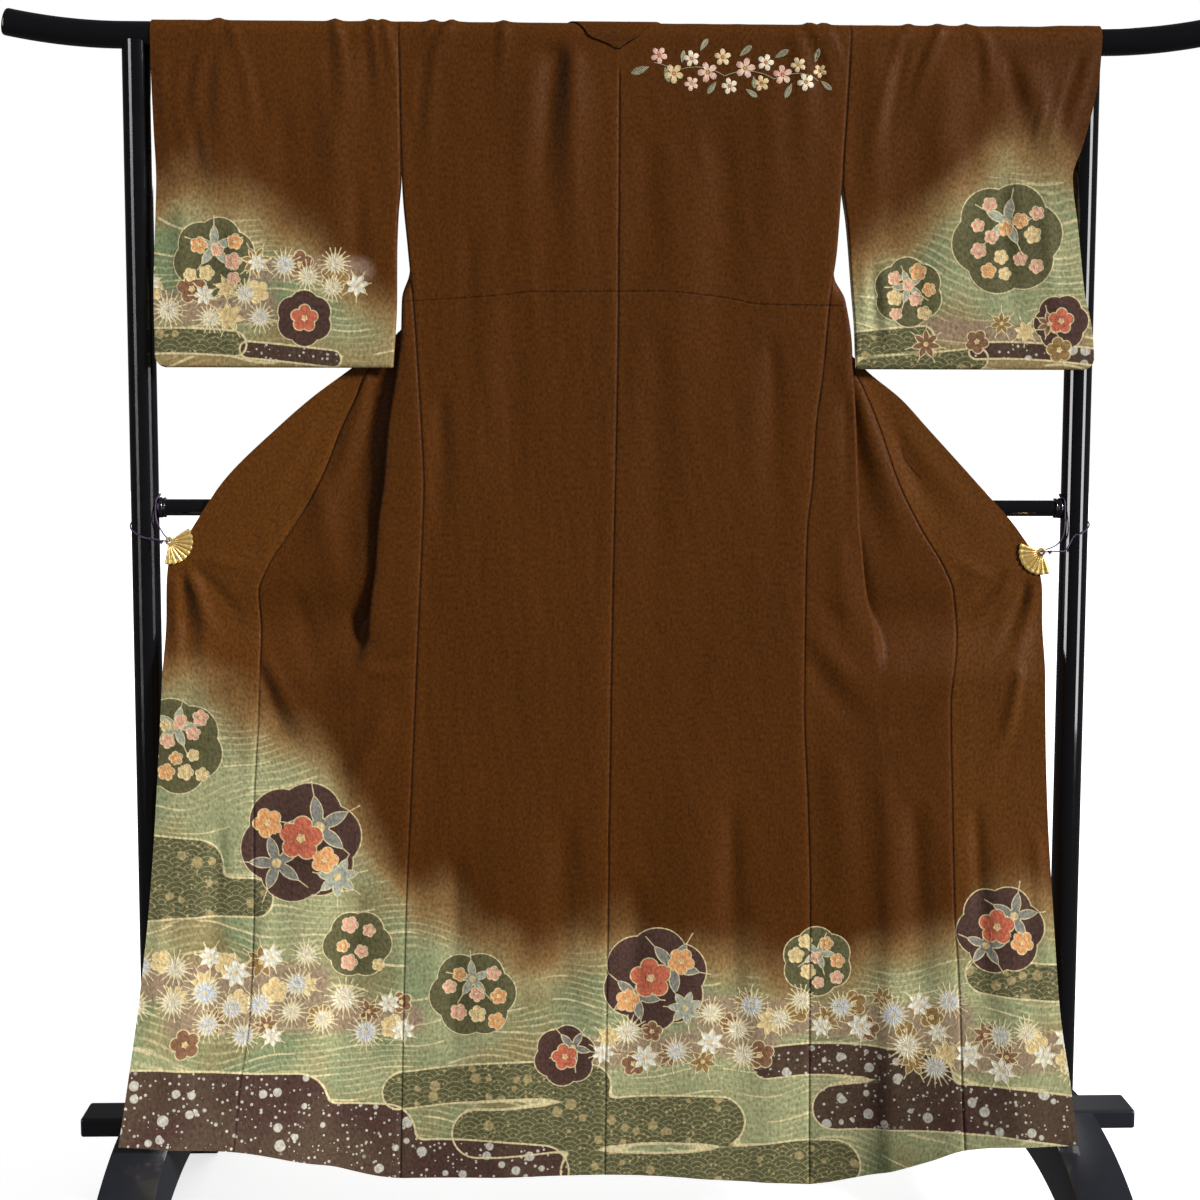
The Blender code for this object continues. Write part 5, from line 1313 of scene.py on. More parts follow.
@dataclass
class Sleeve(ClothPiece):
    """One deep sleeve: near sheet, bottom fold, far sheet and the run over the rod.

    Attributes:
        table: Edges by height.
        cuff_bottom: Height where the outer edge is sewn shut.
        creases: Fine creases on the near sheet.
        pinches: Pinches that cross the rod.
        step: Size of the mesh.
        rod_steps: Steps over the rod.
        fold: Radius of the fold at the bottom.
    """

    slot: str = "sleeve_silk"
    flat: tuple[float, float] = (0.37, 1.04)
    table: Table = ()
    cuff_bottom: float = 0.0
    creases: Table = ()
    pinches: Table = ()
    step: float = 0.0055
    rod_steps: int = 16
    fold: float = 0.004

    def ring(self) -> list[tuple[Part, float]]:
        """List the part and place of every point round the sleeve, from the far side over the rod."""
        heights = np.linspace(1.744, 1.292, round((1.744 - 1.292) / self.step) + 1)
        heights[np.argmin(abs(heights - self.cuff_bottom))] = self.cuff_bottom
        found = [(Part.ROD, math.pi - math.pi * index / self.rod_steps) for index in range(self.rod_steps + 1)]
        found += [(Part.NEAR, float(height)) for height in heights]
        found += [(Part.BOTTOM, math.radians(angle)) for angle in range(0, 181, 36)]
        return found + [(Part.FAR, float(height)) for height in reversed(heights)]

    def edges(self, part: Part, value: float, z: float) -> tuple[float, float]:
        """Give the distance out of the inner and the outer edge at one ring place.

        Args:
            part: Part of the sleeve that the place is on.
            value: Height or turn of the place.
            z: Height that the tables are read at.

        Returns:
            The distance out of both edges.
        """
        inner = float(curve_value(self.table, 1, z)) + SEAM_MEET / 2
        near_edge, far_edge = float(curve_value(self.table, 2, z)), float(curve_value(self.table, 3, z))
        outer = far_edge if part is Part.FAR else near_edge
        if part is Part.ROD:
            mix = 0.5 + 0.5 * math.cos(value)
            outer = near_edge * mix + far_edge * (1 - mix)
        level = self.fold - self.fold * math.sin(value) if part is Part.BOTTOM else z - SLEEVE_BOTTOM
        if level < SLEEVE_CORNER:
            drop = SLEEVE_CORNER - level
            outer -= SLEEVE_CORNER - math.sqrt(max(SLEEVE_CORNER ** 2 - drop ** 2, 0.0))
        return inner, outer

    def row(self, part: Part, value: float, shares: np.ndarray) -> np.ndarray:
        """Lay one line of points from the inner to the outer edge.

        Args:
            part: Part of the sleeve that the line is on.
            value: Height or turn of the line.
            shares: Share of the way out of each point.

        Returns:
            The points of the line.
        """
        z = {Part.ROD: ROD_Z, Part.BOTTOM: SLEEVE_BOTTOM + self.fold}.get(part, value)
        inner, outer = self.edges(part, value, z)
        u = inner + (outer - inner) * shares
        right = self.half.sign > 0
        close = ease(u, 0.50, 0.64) * right
        depths = [float(curve_value(SLEEVE_DEPTH, column, z)) for column in (1, 2, 3, 4)]
        near = depths[0] * (1 - close) + depths[2] * close
        far = depths[1] * (1 - close) + depths[3] * close
        level = np.full(u.shape, z)
        if part is Part.ROD:
            radius = DRAPE_RADIUS + 0.00165 * ease(u, 0.60, 0.645) * right
            depth, level = -radius * math.cos(value), ROD_Z + radius * math.sin(value)
        elif part is Part.NEAR:
            depth = near - fold_height(SLEEVE_FOLDS, self.half.sign * u, level)
        elif part is Part.FAR:
            depth = far
        else:
            depth = (near + far) / 2 + (near - far) / 2 * math.cos(value)
            level = level - self.fold * math.sin(value)
        return np.stack([self.half.sign * u, depth, level], axis=1)

    def surface(self) -> Sheet:
        """Lay the sleeve and sew its outer edge shut below the cuff."""
        ring, shares = self.ring(), edged(58, 0.345, high=False)
        points = np.array([self.row(part, value, shares) for part, value in ring])
        count, stations = points.shape[:2]
        faces = grid_faces(count + 1, stations) % (count * stations)
        sewn = [i for i, (part, v) in enumerate(ring) if v < self.cuff_bottom and part in (Part.NEAR, Part.FAR)
                or part is Part.BOTTOM]
        edge = np.array(sewn) * stations + stations - 1
        near_edge, far_edge = edge[:len(edge) // 2], edge[:len(edge) // 2 - 1:-1]
        bridge = np.stack([near_edge[:-1], far_edge[:-1], far_edge[1:], near_edge[1:]], axis=1)
        shows = [part is Part.NEAR or (part in (Part.ROD, Part.BOTTOM) and value < 1.7) for part, value in ring]
        zone = np.repeat(np.array(shows, dtype=float)[:, None], stations, axis=1)
        sheet = grid_sheet(points, 2.5, walk(points, 1), zone, np.vstack([faces, bridge]))
        sheet.raise_by(self.relief(ring, points, sheet))
        return sheet

    def relief(self, ring: list[tuple[Part, float]], points: np.ndarray, sheet: Sheet) -> np.ndarray:
        """Work out the height of the creases, swell and rolled edge.

        Args:
            ring: Part and place of each line of points.
            points: Points of the lines.
            sheet: The sleeve's middle surface.

        Returns:
            The height at each point.
        """
        x, z = points[..., 0], points[..., 2]
        near_z, far_z = z.copy(), z.copy()
        for index, (part, value) in enumerate(ring):
            if part is Part.ROD:
                near_z[index] = ROD_Z + DRAPE_RADIUS * value
                far_z[index] = ROD_Z + DRAPE_RADIUS * (math.pi - value)
            elif part is Part.NEAR or (part is Part.BOTTOM and value < 1.6):
                far_z[index] = AWAY
            else:
                near_z[index] = AWAY
        rise = crease_height(self.creases, x, near_z, BACK_GAIN) + crease_height(self.pinches, x, near_z)
        rise = rise + crease_height(FAR_CREASES, x, far_z) + crumple(x, z, self.seed)
        rise = rise * (1 - 0.9 * np.exp(-((z - SLEEVE_BOTTOM) / 0.006) ** 2))
        return rest_on_rod(rise.ravel(), z.ravel(), sheet.seam, (0.0010, 0.0020))


@dataclass
class Collar(ClothPiece):
    """The folded collar from one clip round the neck to the other.

    Attributes:
        end_left: Height of its left end.
        end_right: Height of its right end.
        columns: Steps across its width.
        step: Size of the mesh along it.
    """

    slot: str = "collar_silk"
    flat: tuple[float, float] = (0.11, 2.0)
    wall: float = COLLAR_WALL
    end_left: float = 1.062
    end_right: float = 1.052
    columns: int = 14
    step: float = 0.006

    def depth(self, half: Half, z: np.ndarray) -> np.ndarray:
        """Give the depth of the collar behind the front panel."""
        flat_z = z.ravel()
        slack = COLLAR_SLACK + 0.0008 * ease(flat_z, 1.60, ROLL_Z)
        low = half.run_depth(np.minimum(flat_z, ROLL_Z)) + WALL / 2 + SEAM_GAP + slack + COLLAR_WALL / 2
        return np.where(flat_z > ROLL_Z, curve_value(COLLAR_NECK, 1, flat_z), low).reshape(z.shape)

    def neck_rows(self, half: Half) -> np.ndarray:
        """Lay the rows round the neck, from the middle of the back to below the rod."""
        arc = math.pi * COLLAR_RADIUS
        middle = half.sign * 0.0045
        lines = [(middle + (half.neck[0] - 0.0012 - middle) * share, fall, middle + fold_out, fold_run)
                 for share, fall, fold_out, fold_run in NECK_POINT]
        for index, (fold_out, fold_run) in enumerate(NECK_FOLD):
            turn = index / (len(NECK_FOLD) - 1)
            lines.append((half.neck[0] + (half.neck[1] - half.neck[0]) * turn - 0.0012, arc * turn + 0.0004,
                          fold_out, fold_run))
        lines += [(out + half.neck[1] - NECK_LEFT[1], arc + past, fold_out, fold_run)
                  for out, past, fold_out, fold_run in NECK_FALL]
        table = tuple((index, *line) for index, line in enumerate(lines))
        fine = np.linspace(0, len(lines) - 1, (len(lines) - 1) * 5 + 1)
        out, run, fold_out, fold_run = (curve_value(table, column, fine)[:, None] for column in (1, 2, 3, 4))
        shares = np.linspace(0.0, 1.0, self.columns + 1)
        out, run = out + (fold_out - out) * shares, run + (fold_run - run) * shares
        turn = np.clip(run / COLLAR_RADIUS, 0.0, math.pi)
        z = ROD_Z + COLLAR_RADIUS * np.sin(turn) + np.minimum(run, 0.0) - np.maximum(run - arc, 0.0)
        y = np.where(run > arc, self.depth(half, z), -COLLAR_RADIUS * np.cos(turn))
        return np.stack([half.sign * out, y, z], axis=2)

    def front_rows(self, half: Half, end: float) -> np.ndarray:
        """Lay the rows down the front edge to the clip.

        Args:
            half: Side of the garment.
            end: Height that the rows stop at.

        Returns:
            The points of the rows.
        """
        heights = np.linspace(ROLL_Z, end, round((ROLL_Z - end) / self.step) + 1)[:, None]
        rise = curve_value(half.front, 4, heights - 0.01) - curve_value(half.front, 4, heights + 0.01)
        length = np.hypot(rise, 0.02)
        shares = np.linspace(0.0, 1.0, self.columns + 1)[None, :]
        u = curve_value(half.front, 4, heights) - 0.02 / length * COLLAR_WIDTH * shares
        z = heights - rise / length * COLLAR_WIDTH * shares
        return np.stack([half.sign * u, self.depth(half, z), z], axis=2)

    def half_rows(self, half: Half, end: float) -> np.ndarray:
        """Join the neck rows and the front rows of one half."""
        neck, front = self.neck_rows(half), self.front_rows(half, end)
        gap = [neck[-1] + (front[0] - neck[-1]) * t for t in (0.25, 0.5, 0.75)]
        for line in gap:
            line[:, 1] = self.depth(half, line[:, 2])
        return np.concatenate([neck, np.array(gap), front])

    def surface(self) -> Sheet:
        """Lay the collar from its left end to its right end."""
        left, right = self.half_rows(LEFT, self.end_left), self.half_rows(RIGHT, self.end_right)
        points = np.concatenate([left[::-1], right[1:]])
        across = walk(points, 1)
        # The 4 mm added to the collar's seam distance keeps the painted seam shade off its edges.
        seam = np.minimum(across, across[:, -1:] - across) + 0.0040
        return grid_sheet(points, 3.5, seam, np.ones(seam.size))


class Wire:
    """A value that flows through a node tree, with the sums that can be done on it."""

    def __init__(self, graph: "Graph", socket: bpy.types.NodeSocket) -> None:
        """Hold the socket that gives the value."""
        self.graph, self.socket = graph, socket

    def __add__(self, other: "Wire | float") -> "Wire":
        """Add."""
        return self.graph.math("ADD", self, other)

    def __sub__(self, other: "Wire | float") -> "Wire":
        """Take away."""
        return self.graph.math("SUBTRACT", self, other)

    def __rsub__(self, other: float) -> "Wire":
        """Take away from a number."""
        return self.graph.math("SUBTRACT", other, self)

    def __mul__(self, other: "Wire | float") -> "Wire":
        """Multiply."""
        return self.graph.math("MULTIPLY", self, other)

    def __truediv__(self, other: "Wire | float") -> "Wire":
        """Divide."""
        return self.graph.math("DIVIDE", self, other)

    def __rtruediv__(self, other: float) -> "Wire":
        """Divide a number by it."""
        return self.graph.math("DIVIDE", other, self)

    def __abs__(self) -> "Wire":
        """Drop the sign."""
        return self.graph.math("ABSOLUTE", self)


Value = Wire | Enum | float | tuple[float, ...]


class Graph:
    """Wires the nodes of one tree."""

    def __init__(self, tree: Tree) -> None:
        """Start on a tree."""
        self.tree = tree

    def put(self, socket: bpy.types.NodeSocket, value: Value) -> None:
        """Link a socket or set a constant on it.

        Args:
            socket: Socket that takes the value.
            value: A wire, a number, a colour or a named dye.
        """
        value = value.value if isinstance(value, Enum) else value
        if isinstance(value, Wire):
            self.tree.links.new(value.socket, socket)
        elif socket.type == "RGBA":
            socket.default_value = (*value, 1.0)
        else:
            socket.default_value = value

    def node(self, kind: str, inputs: dict[str | int, Value], **settings: object) -> bpy.types.Node:
        """Add a node, set its options and feed its inputs."""
        item = self.tree.nodes.new(kind)
        for name, value in settings.items():
            setattr(item, name, value)
        for key, value in inputs.items():
            self.put(item.inputs[key], value)
        return item

    def feed(self, kind: str, inputs: dict[str | int, Value], output: str | int = 0,
             **settings: object) -> Wire:
        """Add a node and give one of its outputs."""
        return Wire(self, self.node(kind, inputs, **settings).outputs[output])

    def outputs(self, item: bpy.types.Node) -> dict[str, Wire]:
        """Give a node's outputs by name."""
        return {socket.name: Wire(self, socket) for socket in item.outputs}

    def math(self, operation: str, *values: Wire | float, clamp: bool = False) -> Wire:
        """Add a math node."""
        return self.feed("ShaderNodeMath", dict(enumerate(values)), operation=operation, use_clamp=clamp)

    def mix(self, share: Value, first: Value, second: Value) -> Wire:
        """Mix two colours."""
        return self.feed("ShaderNodeMix", {0: share, 6: first, 7: second}, 2, data_type="RGBA")

    def step(self, value: Wire, low: float, high: float, start: float = 0.0, end: float = 1.0) -> Wire:
        """Turn a value into a smooth step between two levels."""
        numbers = dict(enumerate((value, low, high, start, end)))
        return self.feed("ShaderNodeMapRange", numbers, interpolation_type="SMOOTHSTEP")

    def split(self, vector: Value) -> tuple[Wire, ...]:
        """Split a vector into its three numbers."""
        return tuple(self.outputs(self.node("ShaderNodeSeparateXYZ", {0: vector})).values())

    def reach(self, first: Wire, second: Wire) -> Wire:
        """Give the distance of a place from the middle."""
        return self.math("SQRT", first * first + second * second)

    def attribute(self, name: str) -> Wire:
        """Read three numbers that the mesh carries."""
        return self.feed("ShaderNodeAttribute", {}, "Vector", attribute_name=name)

    def place(self) -> Wire:
        """Read the place on the piece."""
        return self.feed("ShaderNodeTexCoord", {}, "Object")

    def scaled(self, vector: Value, scale: Value) -> Wire:
        """Scale a vector by three numbers, or by one."""
        if isinstance(scale, Wire):
            return self.feed("ShaderNodeVectorMath", {0: vector, 3: scale}, operation="SCALE")
        return self.feed("ShaderNodeVectorMath", {0: vector, 1: scale}, operation="MULTIPLY")

    def noise(self, vector: Wire, scale: float, detail: float = 2.0) -> Wire:
        """Read a soft noise between 0 and 1."""
        return self.feed("ShaderNodeTexNoise", {"Vector": vector, "Scale": scale, "Detail": detail})

    def group(self, tree: Tree, **inputs: Value) -> dict[str, Wire]:
        """Add a node group, feed its inputs by name and give its outputs."""
        return self.outputs(self.node("ShaderNodeGroup", inputs, node_tree=tree))

    def bump(self, height: Wire, distance: float, strength: float = 1.0) -> Wire:
        """Turn a height into a normal."""
        return self.feed("ShaderNodeBump", {"Height": height, "Distance": distance, "Strength": strength})


class GroupGraph(Graph):
    """A node group with named inputs and outputs, each with the kind of its socket."""

    KINDS = {"v": "Vector", "f": "Float", "c": "Color", "i": "Int", "g": "Geometry", "m": "Material"}

    def __init__(self, name: str, inputs: dict[str, str], outputs: dict[str, str],
                 kind: str = "ShaderNodeTree") -> None:
        """Start the group.

        Args:
            name: Name of the group.
            inputs: Kind of each input by name, as a letter of KINDS.
            outputs: Kind of each output by name.
            kind: Kind of tree.
        """
        super().__init__(bpy.data.node_groups.new(name, kind))
        for side, sockets in (("INPUT", inputs), ("OUTPUT", outputs)):
            for label, letter in sockets.items():
                socket = "NodeSocket" + self.KINDS[letter]
                self.tree.interface.new_socket(name=label, in_out=side, socket_type=socket)
        self.start = self.outputs(self.node("NodeGroupInput", {}))

    def give(self, **values: Value) -> Tree:
        """Feed the group's outputs and give its tree."""
        self.node("NodeGroupOutput", values)
        return self.tree


class FinishGraph(Graph):
    """The nodes of one material."""

    def __init__(self, name: str) -> None:
        """Start the material."""
        self.finish = bpy.data.materials.new(name)
        self.finish.use_nodes = True
        super().__init__(self.finish.node_tree)

    def dress(self, **values: Value) -> Finish:
        """Feed the surface shader; an underscore stands for a space."""
        for name, value in values.items():
            self.put(self.tree.nodes["Principled BSDF"].inputs[name.replace("_", " ")], value)
        return self.finish


def petal_group() -> Tree:
    """Build the group that draws round or pointed petals round a middle."""
    g = GroupGraph("petal_shape", {"Place": "v", "Shape": "v"},
                   {"Fill": "f", "Line": "f", "Core": "f", "Reach": "f"})
    x, z, code = g.split(g.start["Place"])
    petals, reach, width = g.split(g.start["Shape"])
    rho = g.reach(x, z)
    half = math.pi / g.math("MAXIMUM", petals, 1.0)
    theta = g.math("WRAP", g.math("ARCTAN2", z, x), half * -1.0, half)
    along = rho * g.math("COSINE", theta)
    aside = abs(rho * g.math("SINE", theta))
    round_edge = g.reach(along - reach, aside) - width
    share = g.math("DIVIDE", along, g.math("MAXIMUM", reach, 0.01), clamp=True)
    pointed_edge = aside - share * (1.0 - share) * (width * 4.0)
    pointed = g.math("GREATER_THAN", code, 1.5)
    edge = round_edge * (1.0 - pointed) + pointed_edge * pointed
    edge = g.math("MINIMUM", edge, rho - reach * 0.30)
    here = g.math("GREATER_THAN", code, 0.5)
    drawn = abs(edge) / (0.0013 / g.math("MAXIMUM", g.math("FRACT", code), 0.006))
    return g.give(Fill=g.step(edge, 0.02, -0.03) * here, Line=g.step(drawn, 1.0, 0.35) * here,
                  Core=g.step(rho, 0.20, 0.15) * here, Reach=rho)


def grain_group() -> Tree:
    """Build the group that gives silk crepe its fine uneven grain."""
    g = GroupGraph("crepe_grain", {"Cut": "v"}, {"Height": "f", "Tone": "f"})
    fine = g.noise(g.scaled(g.start["Cut"], (1300.0, 760.0, 1.0)), 1.0, 1.0)
    pebble = g.noise(g.scaled(g.start["Cut"], (250.0, 170.0, 1.0)), 1.0, 3.0)
    slow = g.noise(g.scaled(g.start["Cut"], (7.0, 3.0, 1.0)), 1.0, 3.0)
    return g.give(Height=fine * 0.12 + pebble * 0.9, Tone=slow * 0.34 + pebble * 1.80 - 0.06)


def edge_group() -> Tree:
    """Build the group that paints shade along the sewn edges and in the tuck's fold, paints a band beside the
    seams lighter, and shows the tuck's stitched line.
    """
    g = GroupGraph("sewn_edges", {"Seam": "v", "Cut": "v"}, {"Shade": "f", "Height": "f"})
    seam, tuck, zone = g.split(g.start["Seam"])
    across, _, _ = g.split(g.start["Cut"])
    # Painted shade: up to 28% darker within 3 mm of a sewn edge, where the seam's groove lies in shade.
    edge = g.step(seam, 0.0030, 0.0004)
    fold = g.step(abs(tuck), 0.0024, 0.0003) * g.step(zone, 0.5, 0.9)
    dash = g.step(g.math("SINE", across * (2 * math.pi / TUCK_PITCH)), 0.55, 0.80) * fold
    # Within 2 cm of a seam the colour is painted up to 10% lighter.
    shade = 1.0 - edge * 0.28 + g.step(seam, 0.020, 0.003) * 0.10
    # Painted shade in the tuck's fold, 22% darker where it shows; the dashes are the tuck's darker stitches.
    return g.give(Shade=shade - fold * 0.22 - dash * 0.25, Height=(fold + edge) * -1.0)


def scale_lines(g: Graph, place: Wire, radius: float) -> Wire:
    """Draw overlapping wave scales as lines.

    Args:
        g: Graph.
        place: Place on the cloth.
        radius: Radius of one scale.

    Returns:
        A mask of the lines.
    """
    x, _, z = g.split(place)
    level = z / (radius / 2)
    row = g.math("FLOOR", level)
    rise = level - row
    side = abs(g.math("WRAP", x / radius + g.math("MODULO", row + 4000.0, 2.0), -1.0, 1.0))
    near = g.reach(1.0 - side, (rise + 1.0) * 0.5)
    covered = g.math("LESS_THAN", near, 1.0)
    gap = near * covered + g.reach(side, rise * 0.5) * (1.0 - covered)
    return g.step(abs(g.math("FRACT", gap * 3.0) - 0.86), 0.13, 0.07)


def snow(g: Graph, place: Wire) -> Wire:
    """Sprinkle large and small flecks of snow.

    Args:
        g: Nodes that it is added to.
        place: Place on the piece.

    Returns:
        Cover by the flecks, 0 to 1.
    """
    layers = []
    for scale, size in ((50.0, 0.42), (150.0, 0.34)):
        fleck = g.outputs(g.node("ShaderNodeTexVoronoi", {"Vector": place, "Scale": scale}))
        chance, _, _ = g.split(fleck["Color"])
        reach = g.step(chance, 0.25, 1.0) * size
        layers.append(g.step(fleck["Distance"] - reach, 0.035, -0.035) * g.step(chance, 0.25, 0.35))
    return g.math("MAXIMUM", *layers)


def dyed_group() -> Tree:
    """Build the group that colours the ground, the mist bands and the flowing water."""
    g = GroupGraph("dyed_ground", {"Place": "v", "Brown": "c"}, {"Color": "c", "Thread": "f"})
    place = g.start["Place"]
    _, _, height = g.split(place)
    ground, dark, olive = g.split(g.attribute("dye_bands"))
    warm, flow, across = g.split(g.attribute("dye_lines"))
    cloud = g.noise(place, 9.0, 3.0)
    soft = ground + (cloud - 0.5) * 0.10
    inside = g.step(ground, -0.02, 0.03)
    glow = g.math("POWER", g.step(soft, -0.100, 0.010), 1.6)
    colour = g.mix(glow, g.start["Brown"], Dye.OCHRE)
    green = g.mix(g.step(g.noise(place, 6.0), 0.42, 0.68), Dye.SAGE, Dye.MOSS)
    colour = g.mix(g.step(soft, -0.030, 0.050), colour, green)
    gilt = g.step(g.noise(place, 5.5, 3.0), 0.50, 0.66) * inside
    colour = g.mix(gilt * 0.55, colour, Dye.OCHRE)
    ripple = g.step(g.math("SINE", flow * 4.0 + cloud * 14.0), 0.35, 0.85)
    ripple = ripple * g.step(g.noise(place, 13.0), 0.36, 0.60) * inside
    colour = g.mix(ripple * 0.42, colour, Dye.CREAM)
    low = g.step(height, 1.350, 1.292) * g.step(height, 1.20, 1.25)
    colour = g.mix(low * inside * 0.60, colour, Dye.OCHRE)
    water = g.step(g.math("SINE", flow), 0.955, 0.992) * g.step(g.math("SINE", across), -0.35, 0.05) * inside
    colour = g.mix(water * 0.75, colour, Dye.CREAM)
    colour = g.mix(g.step(warm, 0.006, -0.014) * 0.80, colour, Dye.MAUVE)
    flecks = snow(g, place)
    olive_face = g.mix(scale_lines(g, place, 0.021) * 0.55, Dye.OLIVE, Dye.SAGE)
    olive_face = g.mix(flecks * 0.40, olive_face, Dye.STRAW)
    colour = g.mix(g.step(olive, 0.0012, -0.0012), colour, olive_face)
    dark_face = g.mix(flecks * 0.62, g.mix(g.step(cloud, 0.40, 0.62), Dye.BARK, Dye.PLUM), Dye.WHITE)
    colour = g.mix(g.step(dark, 0.0014, -0.0014), colour, dark_face)
    line = g.step(g.math("MINIMUM", abs(dark), abs(olive)), 0.0020, 0.0008)
    return g.give(Color=g.mix(line * 0.9, colour, Dye.CREAM), Thread=g.math("MAXIMUM", line, water))


@dataclass(frozen=True)
class Groups:
    """The node groups that several finishes share."""

    petal: Tree
    grain: Tree
    edge: Tree
    dyed: Tree


@dataclass(frozen=True)
class SilkFinish:
    """Dyed silk crepe.

    Attributes:
        name: Name of the finish.
        brown: Ground colour.
        layers: Motif layers that the piece carries.
        sheen: Weight of the soft edge light.
    """

    name: str
    brown: Colour
    layers: int = 3
    sheen: float = 0.05

    def make(self, groups: Groups) -> Finish:
        """Build the material."""
        g = FinishGraph(self.name)
        cut = g.feed("ShaderNodeUVMap", {}, uv_map="cut")
        grain = g.group(groups.grain, Cut=cut)
        edges = g.group(groups.edge, Seam=g.attribute("cloth_seam"), Cut=cut)
        colour: Value = self.brown
        height = grain["Height"] * 0.5
        if self.layers:
            dyed = g.group(groups.dyed, Place=g.place(), Brown=self.brown)
            colour = dyed["Color"]
            height = height + dyed["Thread"] * 0.5
        for layer in range(self.layers):
            name = f"motif_{layer}_"
            place, shape = g.attribute(name + "place"), g.attribute(name + "shape")
            petal = g.group(groups.petal, Place=place, Shape=shape)
            tint = g.scaled(g.attribute(name + "tint"), petal["Reach"] * 0.35 + 0.80)
            colour = g.mix(petal["Fill"], colour, tint)
            colour = g.mix(petal["Line"] * 0.80, colour, Dye.CREAM)
            if layer:
                colour = g.mix(petal["Core"] * 0.9, colour, Dye.STRAW)
            height = height + petal["Line"] * 0.6
        height = height + edges["Height"] * 1.6
        # The sewn edges' Shade darkens the base colour: painted shade along the seams and in the tuck's fold.
        return g.dress(
            Base_Color=g.scaled(colour, grain["Tone"] * edges["Shade"]), Normal=g.bump(height, 0.00055, 0.8),
            Roughness=g.step(grain["Height"], 0.3, 0.7, 0.66, 0.50), Sheen_Weight=self.sheen,
            Sheen_Roughness=0.45, Sheen_Tint=(1.0, 0.72, 0.46), Specular_IOR_Level=0.06)


@dataclass(frozen=True)
class LiningFinish:
    """Plain silk lining: cream above, dyed brown near the hem.

    Attributes:
        name: Name of the finish.
        cream: Colour of the upper lining.
        hem: Colour of the hem lining.
        join: Height of the seam between them.
    """

    name: str
    cream: Colour = (0.62, 0.55, 0.42)
    hem: Colour = (0.165, 0.080, 0.032)
    join: float = 0.90

    def make(self, groups: Groups) -> Finish:
        """Build the material."""
        g = FinishGraph(self.name)
        cut = g.feed("ShaderNodeUVMap", {}, uv_map="cut")
        grain = g.group(groups.grain, Cut=cut)
        edges = g.group(groups.edge, Seam=g.attribute("cloth_seam"), Cut=cut)
        _, _, z = g.split(g.place())
        colour = g.mix(g.step(z, self.join - 0.002, self.join + 0.002), self.hem, self.cream)
        seam = g.step(abs(z - self.join), 0.0035, 0.0008)
        colour = g.mix(seam * 0.5, colour, self.hem)
        # The sewn edges' Shade darkens the base colour: painted shade along the seams and in the tuck's fold.
        return g.dress(
            Base_Color=g.scaled(colour, grain["Tone"] * edges["Shade"]), Roughness=0.58, Sheen_Weight=0.15,
            Normal=g.bump(grain["Height"] - seam, 0.0003, 0.4), Sheen_Roughness=0.4, Specular_IOR_Level=0.35)


@dataclass(frozen=True)
class LacquerFinish:
    """Lacquered wood.

    Attributes:
        name: Name of the finish.
        colour: Colour of the lacquer.
        roughness: Roughness under the gloss coat.
        coat: Weight of the gloss coat.
        wave: Height of the slow waves in the coat.
    """

    name: str
    colour: Colour
    roughness: float
    coat: float
    wave: float

    def make(self) -> Finish:
        """Build the material."""
        g = FinishGraph(self.name)
        place = g.place()
        dust = g.noise(place, 34.0, 5.0)
        pores = g.noise(g.scaled(place, (12.0, 150.0, 150.0)), 1.0, 3.0)
        speck = g.step(g.noise(place, 900.0, 1.0), 0.72, 0.80)
        lifted = tuple(part * 1.6 + 0.001 for part in self.colour)
        return g.dress(
            Base_Color=g.mix(dust * 0.5, self.colour, lifted), Coat_Weight=self.coat, Coat_Roughness=0.05,
            Roughness=dust * 0.09 + (self.roughness - 0.045) + speck * 0.12, Specular_IOR_Level=0.5,
            Normal=g.bump(g.noise(place, 22.0, 1.0) + pores * 0.05, self.wave))


@dataclass(frozen=True)
class MetalFinish:
    """Gold-plated metal, a little dull in random patches.

    Attributes:
        name: Name of the finish.
        colour: Bright colour.
        dull: Colour of the worn places.
    """

    name: str
    colour: Colour = (0.80, 0.56, 0.19)
    dull: Colour = (0.34, 0.22, 0.085)

    def make(self) -> Finish:
        """Build the material."""
        g = FinishGraph(self.name)
        tarnish = g.step(g.noise(g.place(), 190.0, 4.0), 0.42, 0.70)
        scratch = g.noise(g.scaled(g.place(), (900.0, 900.0, 4200.0)), 1.0)
        return g.dress(Base_Color=g.mix(tarnish * 0.35, self.colour, self.dull), Metallic=0.60,
                       Roughness=tarnish * 0.14 + 0.30, Normal=g.bump(scratch, 0.00006, 0.5))


@dataclass(frozen=True)
class ThreadFinish:
    """Silk thread or cord.

    Attributes:
        name: Name of the finish.
        colour: Main colour.
        second: Colour that it drifts to.
        scale: Fineness of the fibre grain.
    """

    name: str
    colour: Colour
    second: Colour
    scale: float = 2600.0

    def make(self) -> Finish:
        """Build the material."""
        g = FinishGraph(self.name)
        fibre = g.noise(g.place(), self.scale)
        drift = g.step(g.noise(g.place(), 46.0), 0.38, 0.64)
        share = g.math("MULTIPLY_ADD", fibre, 0.35, drift, clamp=True)
        return g.dress(Base_Color=g.mix(share, self.colour, self.second), Normal=g.bump(fibre, 0.0001, 0.5),
                       Roughness=fibre * 0.25 + 0.36, Sheen_Weight=0.3, Sheen_Roughness=0.35)


